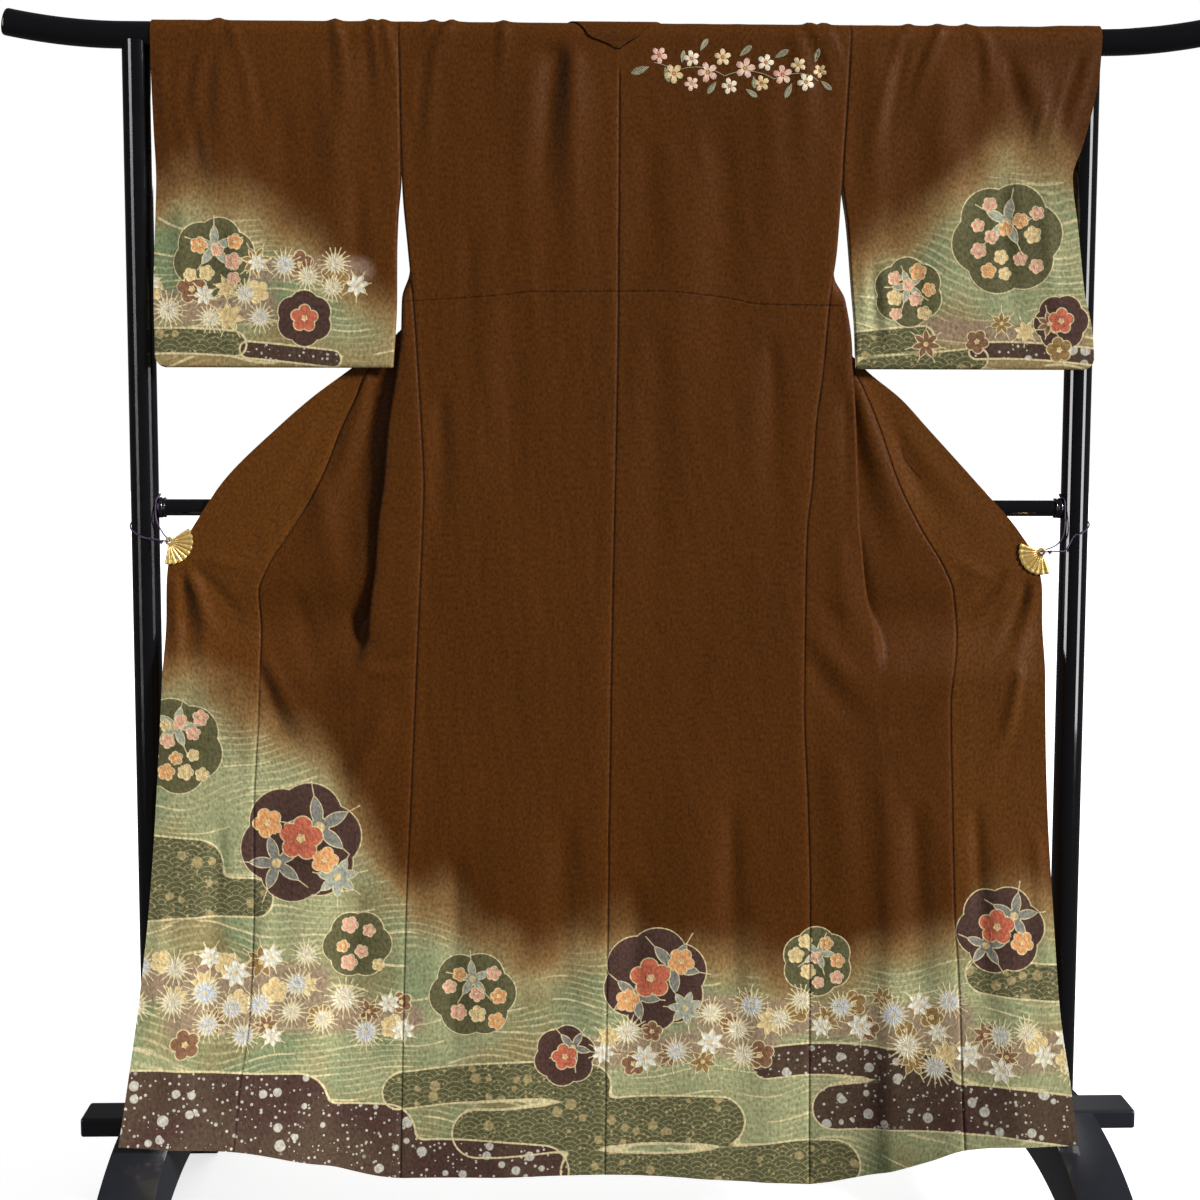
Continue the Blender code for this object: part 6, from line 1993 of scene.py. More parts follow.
def thread_tree() -> Tree:
    """Build the geometry nodes that lay a round thread along every line of a mesh."""
    g = GroupGraph("thread_tubes", {"Lines": "g", "Radius": "f", "Sides": "i", "Finish": "m"},
                   {"Threads": "g"}, "GeometryNodeTree")
    lines = g.feed("GeometryNodeMeshToCurve", {"Mesh": g.start["Lines"]})
    section = {"Radius": g.start["Radius"], "Resolution": g.start["Sides"]}
    profile = g.feed("GeometryNodeCurvePrimitiveCircle", section)
    sweep = g.feed("GeometryNodeCurveToMesh", {"Curve": lines, "Profile Curve": profile, "Fill Caps": True})
    smooth = g.feed("GeometryNodeSetShadeSmooth", {"Geometry": sweep})
    real = g.feed("GeometryNodeRealizeInstances", {"Geometry": smooth})
    return g.give(Threads=g.feed("GeometryNodeSetMaterial", {"Geometry": real, "Material": g.start["Finish"]}))


@dataclass(frozen=True)
class Thread:
    """Lays thread or cord along lines.

    Attributes:
        tree: The geometry nodes.
        radius: Radius of the thread.
        sides: Sides of its section.
    """

    tree: Tree
    radius: float
    sides: int = 6

    def lay(self, name: str, lines: list[np.ndarray], finish: Finish, closed: bool = False) -> Piece:
        """Turn lines into thread.

        Args:
            name: Name of the piece.
            lines: Points of each line.
            finish: Material.
            closed: True where each line closes on itself.

        Returns:
            A plain mesh object.
        """
        mesh = bpy.data.meshes.new(name + "_lines")
        edges, first = [], 0
        for line in lines:
            edges += [(first + index, first + index + 1) for index in range(len(line) - 1)]
            if closed:
                edges.append((first + len(line) - 1, first))
            first += len(line)
        mesh.from_pydata(np.concatenate(lines).tolist(), edges, [])
        guide = bpy.data.objects.new(name + "_guide", mesh)
        bpy.context.scene.collection.objects.link(guide)
        nodes = guide.modifiers.new("threads", "NODES")
        nodes.node_group = self.tree
        values = {"Radius": self.radius, "Sides": self.sides, "Finish": finish}
        for socket in self.tree.interface.items_tree:
            if socket.in_out == "INPUT" and socket.name in values:
                nodes[socket.identifier] = values[socket.name]
        result = bpy.data.meshes.new_from_object(guide.evaluated_get(bpy.context.evaluated_depsgraph_get()))
        bpy.data.objects.remove(guide)
        bpy.data.meshes.remove(mesh)
        if not result.materials:
            result.materials.append(finish)
        return add_object(name, result)


def solid(name: str, points: np.ndarray, faces: list[tuple[int, ...]], finish: Finish,
          sharp: float = 40.0) -> Piece:
    """Make a closed solid with outward faces and smooth shading up to an angle.

    Args:
        name: Name of the piece.
        points: Its points.
        faces: Its faces.
        finish: Material.
        sharp: Angle above which an edge stays sharp, in degrees.

    Returns:
        The new object.
    """
    mesh = bpy.data.meshes.new(name)
    mesh.from_pydata([tuple(map(float, point)) for point in points], [], faces)
    work = bmesh.new()
    work.from_mesh(mesh)
    bmesh.ops.recalc_face_normals(work, faces=work.faces)
    work.to_mesh(mesh)
    work.free()
    mesh.materials.append(finish)
    smooth(mesh, sharp)
    return add_object(name, mesh)


def smooth(mesh: bpy.types.Mesh, sharp: float) -> None:
    """Shade a mesh smooth up to an angle in degrees."""
    mesh.polygons.foreach_set("use_smooth", np.ones(len(mesh.polygons), dtype=bool))
    mesh.set_sharp_from_angle(angle=math.radians(sharp))


def ring_faces(rings: int, steps: int, closed: bool) -> list[tuple[int, ...]]:
    """List the faces between rings of points, and from the last ring to the first where closed."""
    return [(ring * steps + index, ring * steps + (index + 1) % steps,
             (ring + 1) % rings * steps + (index + 1) % steps, (ring + 1) % rings * steps + index)
            for ring in range(rings if closed else rings - 1) for index in range(steps)]


def circle(steps: int) -> np.ndarray:
    """Give evenly spaced angles round a circle."""
    return np.linspace(0, 2 * math.pi, steps, endpoint=False)


def dress_node(name: str, finish: Finish) -> None:
    """Give a piece that keeps its shape its finish."""
    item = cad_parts[name]
    item.data.materials.clear()
    item.data.materials.append(finish)


SIDES = (("left", -1), ("right", 1))


@dataclass
class Stand:
    """The lacquered kimono stand.

    Attributes:
        gloss: Finish of the rod, posts and crossbar.
        satin: Finish of the base and feet.
        trim: Finish of the ferrules.
        rod_straight: Distance out to which the rod is straight.
        rod_end: Distance out of its end.
        rod_rise: Rise of the rod, divided by the square of the distance past its straight part.
        rod_steps: Points round the rod.
        ferrule_in: Distance out of a ferrule's inner edge.
        ferrule_steps: Points round a ferrule.
        crossbar_z: Height of the crossbar.
        ferrule: Run and radius of each point of a ferrule's section.
        foot: Distance out of a foot's inner and outer side.
        foot_top: Half length of a foot's flat top and its height.
        arch: Half length and height of a foot's outer curve and of its under curve.
    """

    gloss: Finish
    satin: Finish
    trim: Finish
    rod_straight: float = 0.690
    rod_end: float = 0.858
    rod_rise: float = 0.62
    rod_steps: int = 72
    ferrule_in: float = 0.6445
    ferrule_steps: int = 48
    crossbar_z: float = 1.082
    ferrule: Table = (
        (0.0, 0.0124), (0.0, 0.0134), (0.0006, 0.0146), (0.0016, 0.0149), (0.0026, 0.0146), (0.0032, 0.0138),
        (0.004, 0.0138), (0.0046, 0.0146), (0.006, 0.015), (0.009, 0.015), (0.0098, 0.0147), (0.01, 0.014),
        (0.01, 0.0124))
    foot: tuple[float, float] = (0.635, 0.715)
    foot_top: tuple[float, float] = (0.0363, 0.1572)
    arch: Table = ((0.390, 0.186), (0.310, 0.100))

    def build_rod(self) -> None:
        """Make the round rod with ends that sweep up."""
        end, steps = self.rod_end, self.rod_steps
        ends = np.array([0.0, 0.0003, 0.0008, 0.0016, 0.0026, 0.0040])
        outer = np.concatenate([end - ends, np.linspace(end - 0.008, self.rod_straight, 22)])
        x = np.concatenate([-outer, [-0.3, 0.0, 0.3], outer[::-1]])
        rounding = 0.0030 * (1 - np.sqrt(np.clip(1 - (1 - ends / ends[-1]) ** 2, 0, 1)))
        radii = (ROD_RADIUS - np.interp(end - abs(x), ends, rounding))[:, None]
        z = ROD_Z + self.rod_rise * np.maximum(abs(x) - self.rod_straight, 0.0) ** 2
        centres = np.stack([x, 0 * x, z], axis=1)
        tangent = np.gradient(centres, axis=0)
        tilt = np.arctan2(tangent[:, 2], tangent[:, 0])[:, None]
        across, above = radii * np.cos(circle(steps)), radii * np.sin(circle(steps))
        parts = (x[:, None] - above * np.sin(tilt), across, z[:, None] + above * np.cos(tilt))
        points = np.stack(parts, axis=2).reshape(-1, 3)
        faces = ring_faces(len(x), steps, closed=False)
        faces += [tuple(range(steps)), tuple(range(len(points) - 1, len(points) - steps - 1, -1))]
        settle(solid("stand_rod", points, faces, self.gloss), "top_bar")

    def build_ferrules(self) -> None:
        """Make a turned ferrule with a bead at each end of the crossbar."""
        faces = ring_faces(len(self.ferrule), self.ferrule_steps, closed=True)
        for side, sign in SIDES:
            points = [(sign * (self.ferrule_in + along), radius * math.cos(turn),
                       self.crossbar_z + radius * math.sin(turn))
                      for along, radius in self.ferrule for turn in circle(self.ferrule_steps)]
            item = solid(f"ferrule_{side}_turned", np.array(points), faces, self.trim)
            settle(item, f"ferrule_{side}")

    def build_feet(self) -> None:
        """Make the two arched feet with rounded edges."""
        (long, high), (under_long, under_high) = self.arch
        flat, top = self.foot_top
        outer = [(long * math.cos(turn), high * math.sin(turn))
                 for turn in np.linspace(math.acos(flat / long), 0.0, 48)]
        under = [(under_long * math.cos(turn), under_high * math.sin(turn))
                 for turn in np.linspace(0.0, math.pi, 73)]
        outline = [(flat, top)] + outer + under + [(-y, z) for y, z in reversed(outer)] + [(-flat, top)]
        count = len(outline)
        faces = [tuple(range(count)), tuple(range(2 * count - 1, count - 1, -1))]
        faces += ring_faces(2, count, closed=False)
        for side, sign in SIDES:
            points = [(sign * x, y, z) for x in self.foot for y, z in outline]
            item = solid(f"foot_{side}_arch", np.array(points), faces, self.satin, 30)
            work = bmesh.new()
            work.from_mesh(item.data)
            edges = [edge for edge in work.edges if edge.calc_face_angle(0.0) > 0.9]
            bmesh.ops.bevel(work, geom=edges, offset=0.003, segments=3, profile=0.5, affect="EDGES",
                            clamp_overlap=True)
            bmesh.ops.triangulate(work, faces=[face for face in work.faces if len(face.verts) > 4])
            work.to_mesh(item.data)
            work.free()
            smooth(item.data, 40)
            settle(item, f"foot_{side}")

    def build(self) -> None:
        """Make and finish the whole stand; the posts, the crossbar and the base keep their own shape."""
        self.build_rod()
        self.build_ferrules()
        self.build_feet()
        for name in ("post_left", "post_right", "crossbar"):
            dress_node(name, self.gloss)
        dress_node("base_bar", self.satin)


def loop_curve(path: list[tuple[float, float, float]], parts: int) -> np.ndarray:
    """Lay a closed smooth curve through the path's points."""
    p = np.array(path)
    a, b, c, d = np.roll(p, 1, axis=0), p, np.roll(p, -1, axis=0), np.roll(p, -2, axis=0)
    fine = [0.5 * (2 * b + (c - a) * t + (2 * a - 5 * b + 4 * c - d) * t * t + (3 * b - a - 3 * c + d) * t ** 3)
            for t in np.arange(parts) / parts]
    return np.stack(fine, axis=1).reshape(-1, 3)


def twist(path: np.ndarray, pitch: float, plies: int = 3, offset: float = 0.00052) -> list[np.ndarray]:
    """Wind plies round a closed path.

    Args:
        path: Points of the path.
        pitch: Length of one turn.
        plies: Number of plies.
        offset: Distance of each ply from the path.

    Returns:
        The points of each ply.
    """
    ahead = np.roll(path, -1, axis=0) - np.roll(path, 1, axis=0)
    ahead /= np.linalg.norm(ahead, axis=1)[:, None]
    side = np.cross(ahead, (0.17, 0.31, 0.94))
    side /= np.linalg.norm(side, axis=1)[:, None]
    above = np.cross(ahead, side)
    walked = np.concatenate([[0.0], np.cumsum(np.linalg.norm(np.diff(path, axis=0), axis=1))])
    total = walked[-1] + np.linalg.norm(path[0] - path[-1])
    turns = round(total / pitch) * 2 * math.pi * walked / total
    return [path + offset * (np.cos(turns + phase)[:, None] * side + np.sin(turns + phase)[:, None] * above)
            for phase in np.arange(plies) * 2 * math.pi / plies]


@dataclass
class ClipSet:
    """One fan clip with the cord loop that ties it to the post.

    Attributes:
        side: "left" or "right".
        sign: -1 on the left, 1 on the right.
        hub: x, z and middle heading of the fan.
        cord_heights: Height of the loop inside and outside the post.
        gold: Finish of the fan.
        cord: Finish of the cord.
        thread: Geometry nodes for threads.
        back: Depth of the fan's back.
        radius: Radius of the fan.
        spread: Opening angle of the fan.
        ribs: Number of its ribs.
        eye: Radius and depth of each point of the eye's section.
        eye_steps: Points round the eye.
        post: Distance out of the post's middle.
        post_reach: Distance of the cord from the post's middle.
        loop: Angle, which height it is measured from and the distance above it, round the post.
    """

    side: str
    sign: int
    hub: tuple[float, float, float]
    cord_heights: tuple[float, float]
    gold: Finish
    cord: Finish
    thread: Tree
    back: float = -0.0203
    radius: float = 0.034
    spread: float = 136.0
    ribs: int = 9
    eye: Table = ((0.0026, 0.0), (0.005, 0.0), (0.0058, -0.0002), (0.006, -0.001), (0.0056, -0.0019),
                  (0.0048, -0.0022), (0.0036, -0.0022), (0.0028, -0.0019), (0.0026, -0.001))
    eye_steps: int = 40
    post: float = 0.675
    post_reach: float = 0.0217
    loop: Table = (
        (-36, 0, -0.006), (-18, 0, 0.002), (0, 0, 0.0055), (22, 0, 0.003), (50, 0, -0.003), (80, 0, -0.011),
        (110, 0, -0.02), (140, 1, 0.009), (165, 1, 0.003), (190, 1, -0.001), (215, 1, -0.006), (240, 1, -0.011),
        (262, 1, -0.015), (284, 1, -0.018))

    def build_fan(self) -> None:
        """Make the ribbed fan with its scalloped rim and its eye."""
        x, z, middle = self.hub
        width, rings = self.ribs * 12 + 1, 16
        shares = np.linspace(0.0, 1.0, width)
        turns = np.radians(middle - self.spread / 2 + self.spread * shares)
        wave = abs(np.sin(math.pi * self.ribs * shares)) ** 0.7
        reach = np.linspace(0.16, 1.0, rings)[:, None]
        out = self.radius * reach * (1 - 0.045 * (1 - wave)[None, :] * reach ** 3)
        lift = 0.0017 * wave[None, :] * ease(reach, 0.20, 0.42)
        lift = lift * (1 - 0.35 * np.exp(-((reach - 0.82) / 0.035) ** 2))
        lift = lift * (1 - 0.5 * ease(reach, 0.965, 1.0))
        front = np.stack([x + out * np.cos(turns), self.back - 0.0016 - lift, z + out * np.sin(turns)], axis=2)
        rear = front.copy()
        rear[..., 1] = self.back
        faces = [tuple(map(int, face)) for face in grid_faces(rings, width)]
        total = rings * width
        faces += [tuple(vertex + total for vertex in reversed(face)) for face in faces]
        ring = list(range(width)) + [r * width + width - 1 for r in range(1, rings)]
        ring += list(range(total - 2, total - width - 1, -1)) + [r * width for r in range(rings - 2, 0, -1)]
        faces += [(ring[i - 1], ring[i], ring[i] + total, ring[i - 1] + total) for i in range(len(ring))]
        points = np.concatenate([front.reshape(-1, 3), rear.reshape(-1, 3)])
        fan = solid(f"clip_{self.side}_leaf", points, faces, self.gold, 50)
        settle(fan, f"clip_{self.side}_fan")
        eye = [(x + radius * math.cos(turn), self.back + depth, z + radius * math.sin(turn))
               for radius, depth in self.eye for turn in circle(self.eye_steps)]
        eye_faces = ring_faces(len(self.eye), self.eye_steps, closed=True)
        settle(solid(f"clip_{self.side}_eye", np.array(eye), eye_faces, self.gold))
        for part in ("jaw", "pin"):
            dress_node(f"clip_{self.side}_{part}", self.gold)

    def cord_path(self) -> np.ndarray:
        """Lay the middle of the loop through the fan's eye and round the post."""
        x, z, _ = self.hub
        path = [(x, self.back - 0.0052, z), (x, self.back - 0.0008, z), (x, self.back + 0.0036, z + 0.0005),
                (self.sign * 0.6465, -0.0165, z + 0.010), (self.sign * 0.6560, -0.0188, z + 0.030)]
        for degrees, which, above in self.loop:
            turn = math.radians(degrees)
            out = self.sign * (self.post - self.post_reach * math.cos(turn))
            path.append((out, self.post_reach * math.sin(turn), self.cord_heights[which] + above))
        path += [(self.sign * 0.6580, -0.0246, z + 0.0030), (self.sign * 0.6480, -0.0262, z + 0.0008)]
        return loop_curve(path, 24)

    def build_cord(self) -> None:
        """Make the twisted cord and its small knot."""
        plies = twist(self.cord_path(), 0.0052)
        cord = Thread(self.thread, 0.00060, 7).lay(f"cord_{self.side}_plies", plies, self.cord, closed=True)
        settle(cord, f"cord_{self.side}")
        x, z = self.hub[0] + self.sign * 0.0095, self.hub[1]
        turns = circle(120)
        knot = np.stack([x + 0.00135 * (np.sin(turns) + 1.25 * np.sin(2 * turns)),
                         -0.0309 - 0.0013 * np.sin(3 * turns),
                         z + 0.00115 * (np.cos(turns) - 1.25 * np.cos(2 * turns))], axis=1)
        wound = twist(knot, 0.0048)
        bead = Thread(self.thread, 0.00062, 7).lay(f"knot_{self.side}_wound", wound, self.cord, closed=True)
        settle(bead, f"knot_{self.side}")

    def build(self) -> None:
        """Make the clip and its cord."""
        self.build_fan()
        self.build_cord()


class Ground:
    """Finds places on the near face of a cloth piece."""

    def __init__(self, cloth: Piece) -> None:
        """Prepare the look-up of the cloth's faces."""
        mesh = cloth.data
        corners = [vertex.co for vertex in mesh.vertices]
        self.tree = BVHTree.FromPolygons(corners, [tuple(face.vertices) for face in mesh.polygons])
        self.low, self.high = min(co.x for co in corners), max(co.x for co in corners)

    def at(self, x: float, z: float, lift: float) -> tuple[float, ...] | None:
        """Find the place at x and z, lifted off the cloth, or nothing where there is no cloth."""
        place, normal, _, _ = self.tree.ray_cast(Vector((x, -1.0, z)), Vector((0.0, 1.0, 0.0)))
        return None if place is None else tuple(place + normal * lift)


def away(x: float, z: float, reach: float, turn: float) -> tuple[float, float]:
    """Give the place at a reach and turn from x and z."""
    return x + reach * math.cos(turn), z + reach * math.sin(turn)


@dataclass
class Sprig:
    """Embroidered spray of small blossoms on the upper back.

    Attributes:
        ground: The cloth that it is sewn on.
        thread: Geometry nodes for threads.
        petals: Finishes of the petals, taken in turn.
        leaf: Finish of leaves and stems.
        heart: Finish of the blossoms' middles.
        radius: Radius of the thread.
        scale: Size of blossoms and leaves, times that in the tables.
        stem: x and z of each point of the stem.
        flowers: x, z and radius of each blossom.
        leaves: x, z, length and turn of each leaf.
        seed: Seed of the small differences between stitches.
    """

    ground: Ground
    thread: Tree
    petals: tuple[Finish, ...]
    leaf: Finish
    heart: Finish
    radius: float = 0.00038
    scale: float = 1.22
    stem: Table = ((0.055, 1.712), (0.085, 1.7), (0.12, 1.706), (0.155, 1.694), (0.19, 1.701), (0.225, 1.69),
                   (0.262, 1.698), (0.288, 1.688))
    flowers: Table = (
        (0.062, 1.722, 0.01), (0.083, 1.697, 0.0115), (0.108, 1.718, 0.0095), (0.131, 1.699, 0.012),
        (0.152, 1.72, 0.01), (0.162, 1.68, 0.0095), (0.184, 1.705, 0.012), (0.207, 1.684, 0.0095),
        (0.213, 1.713, 0.01), (0.237, 1.696, 0.0115), (0.259, 1.71, 0.009), (0.27, 1.686, 0.0105),
        (0.108, 1.683, 0.0085), (0.29, 1.702, 0.008))
    leaves: Table = (
        (0.048, 1.706, 0.022, 3.5), (0.07, 1.706, 0.018, -1.3), (0.12, 1.729, 0.016, 1.0),
        (0.143, 1.686, 0.017, -2.2), (0.176, 1.722, 0.018, 0.7), (0.196, 1.694, 0.014, -1.5),
        (0.226, 1.72, 0.018, 0.5), (0.25, 1.684, 0.018, -2.0), (0.283, 1.714, 0.016, 1.3),
        (0.292, 1.688, 0.016, -0.7), (0.094, 1.712, 0.014, 1.4), (0.185, 1.676, 0.016, -0.6))
    seed: int = 21

    def __post_init__(self) -> None:
        """Start the draw of the small differences between stitches."""
        self.pick = random.Random(self.seed)

    def stitch(self, start: tuple[float, ...], end: tuple[float, ...], bow: float = 0.0) -> np.ndarray:
        """Lay one stitch from start to end, with its middle a little off the cloth.

        Args:
            start: x and z of its start.
            end: x and z of its end.
            bow: Sideways bend of its middle.

        Returns:
            Its points.
        """
        line = []
        dx, dz = end[0] - start[0], end[1] - start[1]
        for t in (0.0, 0.2, 0.5, 0.8, 1.0):
            hump = 4 * t * (1 - t)
            x, z = start[0] + dx * t - dz * bow * hump, start[1] + dz * t + dx * bow * hump
            line.append(self.ground.at(x, z, self.radius * (0.15 + 1.15 * hump)))
        return np.array(line)

    def blossom(self, x: float, z: float, size: float,
                turn: float) -> tuple[list[np.ndarray], list[np.ndarray]]:
        """Sew one blossom of five satin-stitch petals.

        Args:
            x: Its middle across.
            z: Its middle up.
            size: Its radius.
            turn: Its turn in radians.

        Returns:
            Petal stitches and heart stitches.
        """
        petals, heart = [], []
        for petal in range(5):
            middle = turn + petal * 2 * math.pi / 5
            for share in np.arange(-6, 7) / 6:
                reach = size * (1.0 - 0.30 * share * share - 0.05 * math.exp(-(share / 0.16) ** 2))
                reach *= self.pick.uniform(0.96, 1.03)
                petals.append(self.stitch(away(x, z, size * 0.22, middle + 0.56 * share),
                                          away(x, z, reach, middle + 0.44 * share)))
            heart += [self.stitch((x, z), away(x, z, size * 0.42, middle + off)) for off in (-0.16, 0.16)]
        return petals, heart

    def leaf_stitches(self, x: float, z: float, length: float, turn: float) -> list[np.ndarray]:
        """Sew one pointed leaf of slanted stitches."""
        found = []
        for share in (np.arange(15) + 0.5) / 15:
            half = length * 0.22 * math.sin(math.pi * share) ** 0.8
            spine = away(x, z, length * share, turn)
            found += [self.stitch(spine, away(*spine, half, turn + hand * 1.05)) for hand in (-1, 1)]
        return found

    def build(self) -> None:
        """Sew the whole spray."""
        petals: list[list[np.ndarray]] = [[] for _ in self.petals]
        hearts: list[np.ndarray] = []
        for index, (x, z, size) in enumerate(self.flowers):
            outer, inner = self.blossom(x, z, size * self.scale, self.pick.uniform(0, 6.28))
            petals[index % len(petals)] += outer
            hearts += inner
        leaves = [self.stitch(a, b, 0.06) for a, b in zip(self.stem, self.stem[1:])]
        for x, z, length, turn in self.leaves:
            leaves += self.leaf_stitches(x, z, length * self.scale, turn)
        made = [(f"sprig_petals_{index}", *pair) for index, pair in enumerate(zip(petals, self.petals))]
        made += [("sprig_hearts", hearts, self.heart), ("sprig_leaves", leaves, self.leaf)]
        for name, lines, finish in made:
            settle(Thread(self.thread, self.radius, 5).lay(name, lines, finish))


@dataclass
class TuckStitches:
    """Short running stitches that hold the waist tuck.

    Attributes:
        panels: The pieces that they are sewn on.
        thread: Geometry nodes for threads.
        finish: Finish of the thread.
        length: Length of one stitch.
        reach: Distance out to which the tuck is sewn.
        lifts: Share of the length and lift of each point of a stitch.
    """

    panels: tuple[Ground, ...]
    thread: Tree
    finish: Finish
    length: float = 0.0034
    reach: float = 0.30
    lifts: Table = ((-0.5, -0.0001), (-0.25, 0.00022), (0.0, 0.0003), (0.25, 0.00022), (0.5, -0.0001))

    def build(self) -> None:
        """Sew the line across the whole back."""
        pick = random.Random(4)
        lines = []
        for panel in self.panels:
            low, high = max(panel.low, -self.reach) + 0.008, min(panel.high, self.reach) - 0.008
            for middle in np.arange(low, high, TUCK_PITCH):
                tilt = pick.uniform(-0.12, 0.12)
                line = []
                for share, lift in self.lifts:
                    x = float(middle) + self.length * share
                    z = float(curve_value(TUCK_LINE, 1, x)) + tilt * self.length * share + 0.0018
                    line.append(panel.at(x, z, lift))
                if None not in line:
                    lines.append(np.array(line))
        settle(Thread(self.thread, 0.00026).lay("tuck_stitches", lines, self.finish))


@dataclass(frozen=True)
class Studio:
    """Camera, soft lights and the pale floor.

    Attributes:
        sun: Strength of the soft light from the right.
        strip: Power of each side strip.
        wash: Power of the light from behind.
        fill: Brightness of the surroundings for soft light.
        gloss: Brightness of the surroundings in reflections.
    """

    sun: float = 5.6
    strip: float = 26.0
    wash: float = 28.0
    fill: float = 0.26
    gloss: float = 0.05

    def add(self, name: str, data: bpy.types.ID, place: Vec3, aim: Vec3) -> Piece:
        """Put a light in the scene, turned to the point that it faces."""
        item = bpy.data.objects.new(name, data)
        item.location = place
        item.rotation_euler = (Vector(aim) - Vector(place)).to_track_quat("-Z", "Y").to_euler()
        bpy.context.scene.collection.objects.link(item)
        return item

    def add_panel(self, name: str, place: Vec3, aim: Vec3, size: tuple[float, float],
                  power: float) -> Piece:
        """Add one soft area light.

        Args:
            name: Name of the light.
            place: Where it stands.
            aim: Point that it faces.
            size: Width and height.
            power: Power in watts.

        Returns:
            The light.
        """
        light = bpy.data.lights.new(name, "AREA")
        light.shape = "RECTANGLE"
        light.size, light.size_y = size
        light.energy = power
        return self.add(name, light, place, aim)

    def build_lights(self) -> None:
        """Hang the soft sun, a strip on each side that only shows in reflections, and the light behind."""
        sun = bpy.data.lights.new("soft_sun", "SUN")
        sun.energy, sun.angle = self.sun, math.radians(13)
        self.add("soft_sun", sun, (0.0, 0.0, 0.0), (-2.6, 1.7, -1.5))
        for side, sign in SIDES:
            place, aim = (sign * 2.6, -1.6, 1.5), (sign * 0.2, 0.0, 1.0)
            self.add_panel(f"{side}_strip", place, aim, (0.5, 2.4), self.strip).visible_diffuse = False
        self.add_panel("back_wash", (0.4, 3.2, 2.6), (0.0, 0.0, 1.0), (2.4, 1.6), self.wash)

    def build_world(self) -> None:
        """Make white surroundings that light the piece softly."""
        world = bpy.data.worlds.new("studio_air")
        bpy.context.scene.world = world
        world.use_nodes = True
        g = Graph(world.node_tree)
        rays = g.outputs(g.node("ShaderNodeLightPath", {}))
        glossy = rays["Is Glossy Ray"] * (self.gloss - self.fill) + self.fill
        back = world.node_tree.nodes["Background"]
        g.put(back.inputs["Color"], (1.0, 1.0, 1.0))
        g.put(back.inputs["Strength"], g.math("MAXIMUM", glossy, rays["Is Camera Ray"]))

    def build_floor(self) -> None:
        """Make the pale floor."""
        g = FinishGraph("pale_floor")
        finish = g.dress(
            Base_Color=g.mix(g.noise(g.place(), 3.0), (0.90, 0.90, 0.90), (0.94, 0.94, 0.94)), Roughness=0.8,
            Specular_IOR_Level=0.1, Emission_Color=(1.0, 1.0, 1.0), Emission_Strength=0.70)
        mesh = bpy.data.meshes.new("studio_floor")
        corners = [(x, y, -0.0006) for x, y in ((-14, -6), (14, -6), (14, 22), (-14, 22))]
        mesh.from_pydata(corners, [], [(0, 1, 2, 3)])
        mesh.materials.append(finish)
        floor = add_object("studio_floor", mesh)
        floor.visible_diffuse = False
        floor.visible_glossy = False

    def build_camera(self) -> None:
        """Stand the camera where the photograph was taken from."""
        data = bpy.data.cameras.new("studio_camera")
        data.lens, data.sensor_width = 62.07, 36.0
        item = bpy.data.objects.new("studio_camera", data)
        item.location = (-0.1125, -3.0, 1.2555)
        item.rotation_euler = (math.radians(90 - 5.8625), math.radians(-0.1504), math.radians(-1.7775))
        bpy.context.scene.collection.objects.link(item)
        bpy.context.scene.camera = item

    def build(self) -> None:
        """Set up the whole studio."""
        bpy.context.scene.view_settings.view_transform = "Standard"
        self.build_world()
        self.build_floor()
        self.build_camera()
        self.build_lights()


def build_garment(groups: Groups) -> dict[str, Piece]:
    """Make the silk pieces.

    Args:
        groups: Shared node groups.

    Returns:
        The pieces by node name.
    """
    hem, arms = hem_design(), sleeve_design()
    body = SilkFinish("body_silk_dyed", Dye.BROWN.value).make(groups)
    # The overlap silk is the body's brown painted lighter, standing for the stronger light on the overlap
    # panels: painted light.
    overlap = SilkFinish("overlap_silk_dyed", (0.084, 0.027, 0.0031)).make(groups)
    sleeve = SilkFinish("sleeve_silk_dyed", (0.068, 0.0205, 0.002)).make(groups)
    plain = SilkFinish("collar_silk_plain", (0.06, 0.0178, 0.0016), layers=0).make(groups)
    lining = LiningFinish("silk_lining").make(groups)
    inside = LiningFinish("sleeve_lining", hem=LiningFinish.cream).make(groups)
    made = (
        BodyPanel("body_left", LEFT, body, lining, hem, 11),
        BodyPanel("body_right", RIGHT, body, lining, hem, 12),
        Overlap("okumi_left", LEFT, overlap, lining, hem, 13),
        Overlap("okumi_right", RIGHT, overlap, lining, hem, 14),
        Sleeve("sleeve_left", LEFT, sleeve, inside, arms, 15, table=SLEEVE_LEFT, cuff_bottom=1.530,
               creases=LEFT_SLEEVE_CREASES, pinches=LEFT_SLEEVE_PINCHES),
        Sleeve("sleeve_right", RIGHT, sleeve, inside, arms, 16, table=SLEEVE_RIGHT, cuff_bottom=1.550,
               creases=RIGHT_SLEEVE_CREASES, pinches=RIGHT_SLEEVE_PINCHES),
        Collar("collar", LEFT, plain, plain))
    return {piece.name: piece.build() for piece in made}


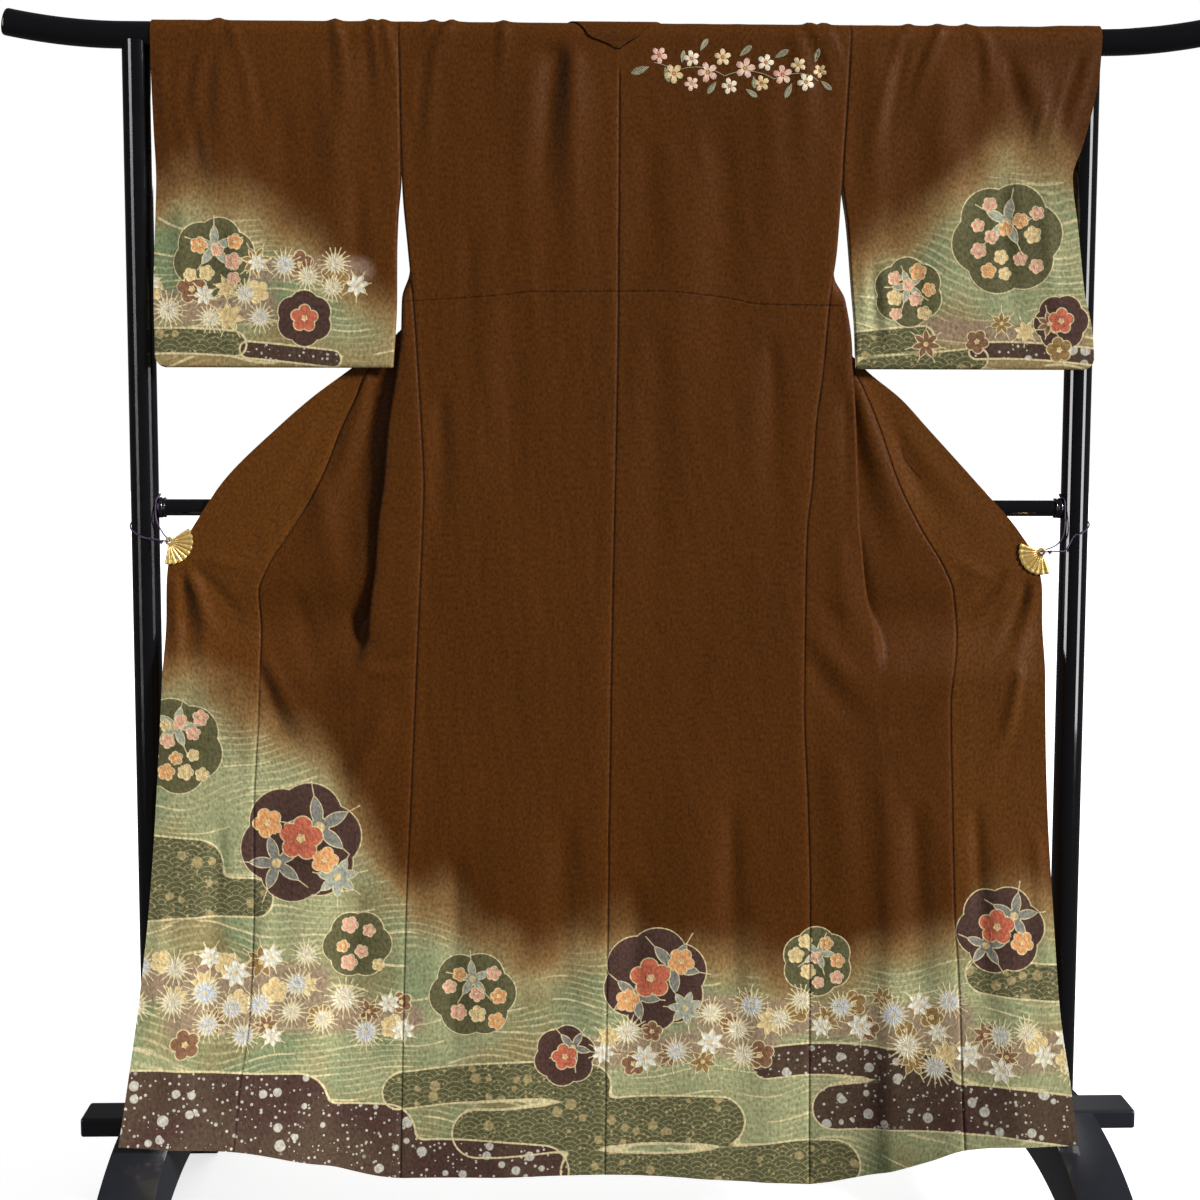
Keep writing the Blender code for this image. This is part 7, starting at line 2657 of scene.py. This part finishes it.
def build_sewing(pieces: dict[str, Piece], threads: Tree) -> None:
    """Sew the sprig and the tuck's stitches on the back.

    Args:
        pieces: The silk pieces by node name.
        threads: Geometry nodes for threads.
    """
    petals = (ThreadFinish("petal_thread_pink", (0.62, 0.33, 0.25), (0.72, 0.50, 0.38)).make(),
              ThreadFinish("petal_thread_straw", (0.62, 0.45, 0.20), (0.74, 0.60, 0.36)).make(),
              ThreadFinish("petal_thread_cream", (0.70, 0.60, 0.42), (0.76, 0.68, 0.52)).make())
    leaf = ThreadFinish("leaf_thread", (0.34, 0.34, 0.20), (0.48, 0.46, 0.30)).make()
    heart = ThreadFinish("heart_thread", (0.55, 0.16, 0.07), (0.66, 0.38, 0.12)).make()
    left, right = Ground(pieces["body_left"]), Ground(pieces["body_right"])
    Sprig(right, threads, petals, leaf, heart).build()
    tuck = ThreadFinish("tuck_thread", (0.050, 0.019, 0.006), (0.080, 0.030, 0.009)).make()
    TuckStitches((left, right), threads, tuck).build()


def main() -> None:
    """Build the kimono, its stand and the studio."""
    logging.basicConfig(level=logging.INFO, format="%(name)s %(message)s")
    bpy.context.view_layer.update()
    Studio().build()
    groups = Groups(petal_group(), grain_group(), edge_group(), dyed_group())
    gloss = LacquerFinish("gloss_lacquer", (0.0026, 0.0026, 0.0036), 0.12, 0.9, 0.00003).make()
    satin = LacquerFinish("satin_lacquer", (0.0130, 0.0140, 0.0185), 0.30, 0.45, 0.00005).make()
    trim = LacquerFinish("trim_lacquer", (0.0060, 0.0060, 0.0080), 0.16, 0.8, 0.00003).make()
    Stand(gloss, satin, trim).build()
    pieces = build_garment(groups)
    gold = MetalFinish("gold_plate").make()
    violet = ThreadFinish("violet_silk_cord", (0.030, 0.011, 0.052), (0.058, 0.022, 0.090)).make()
    threads = thread_tree()
    ClipSet("left", -1, CLIP_LEFT, (1.0960, 1.0566), gold, violet, threads).build()
    ClipSet("right", 1, CLIP_RIGHT, (1.0970, 1.0601), gold, violet, threads).build()
    build_sewing(pieces, threads)


if __name__ == "__main__":
    main()
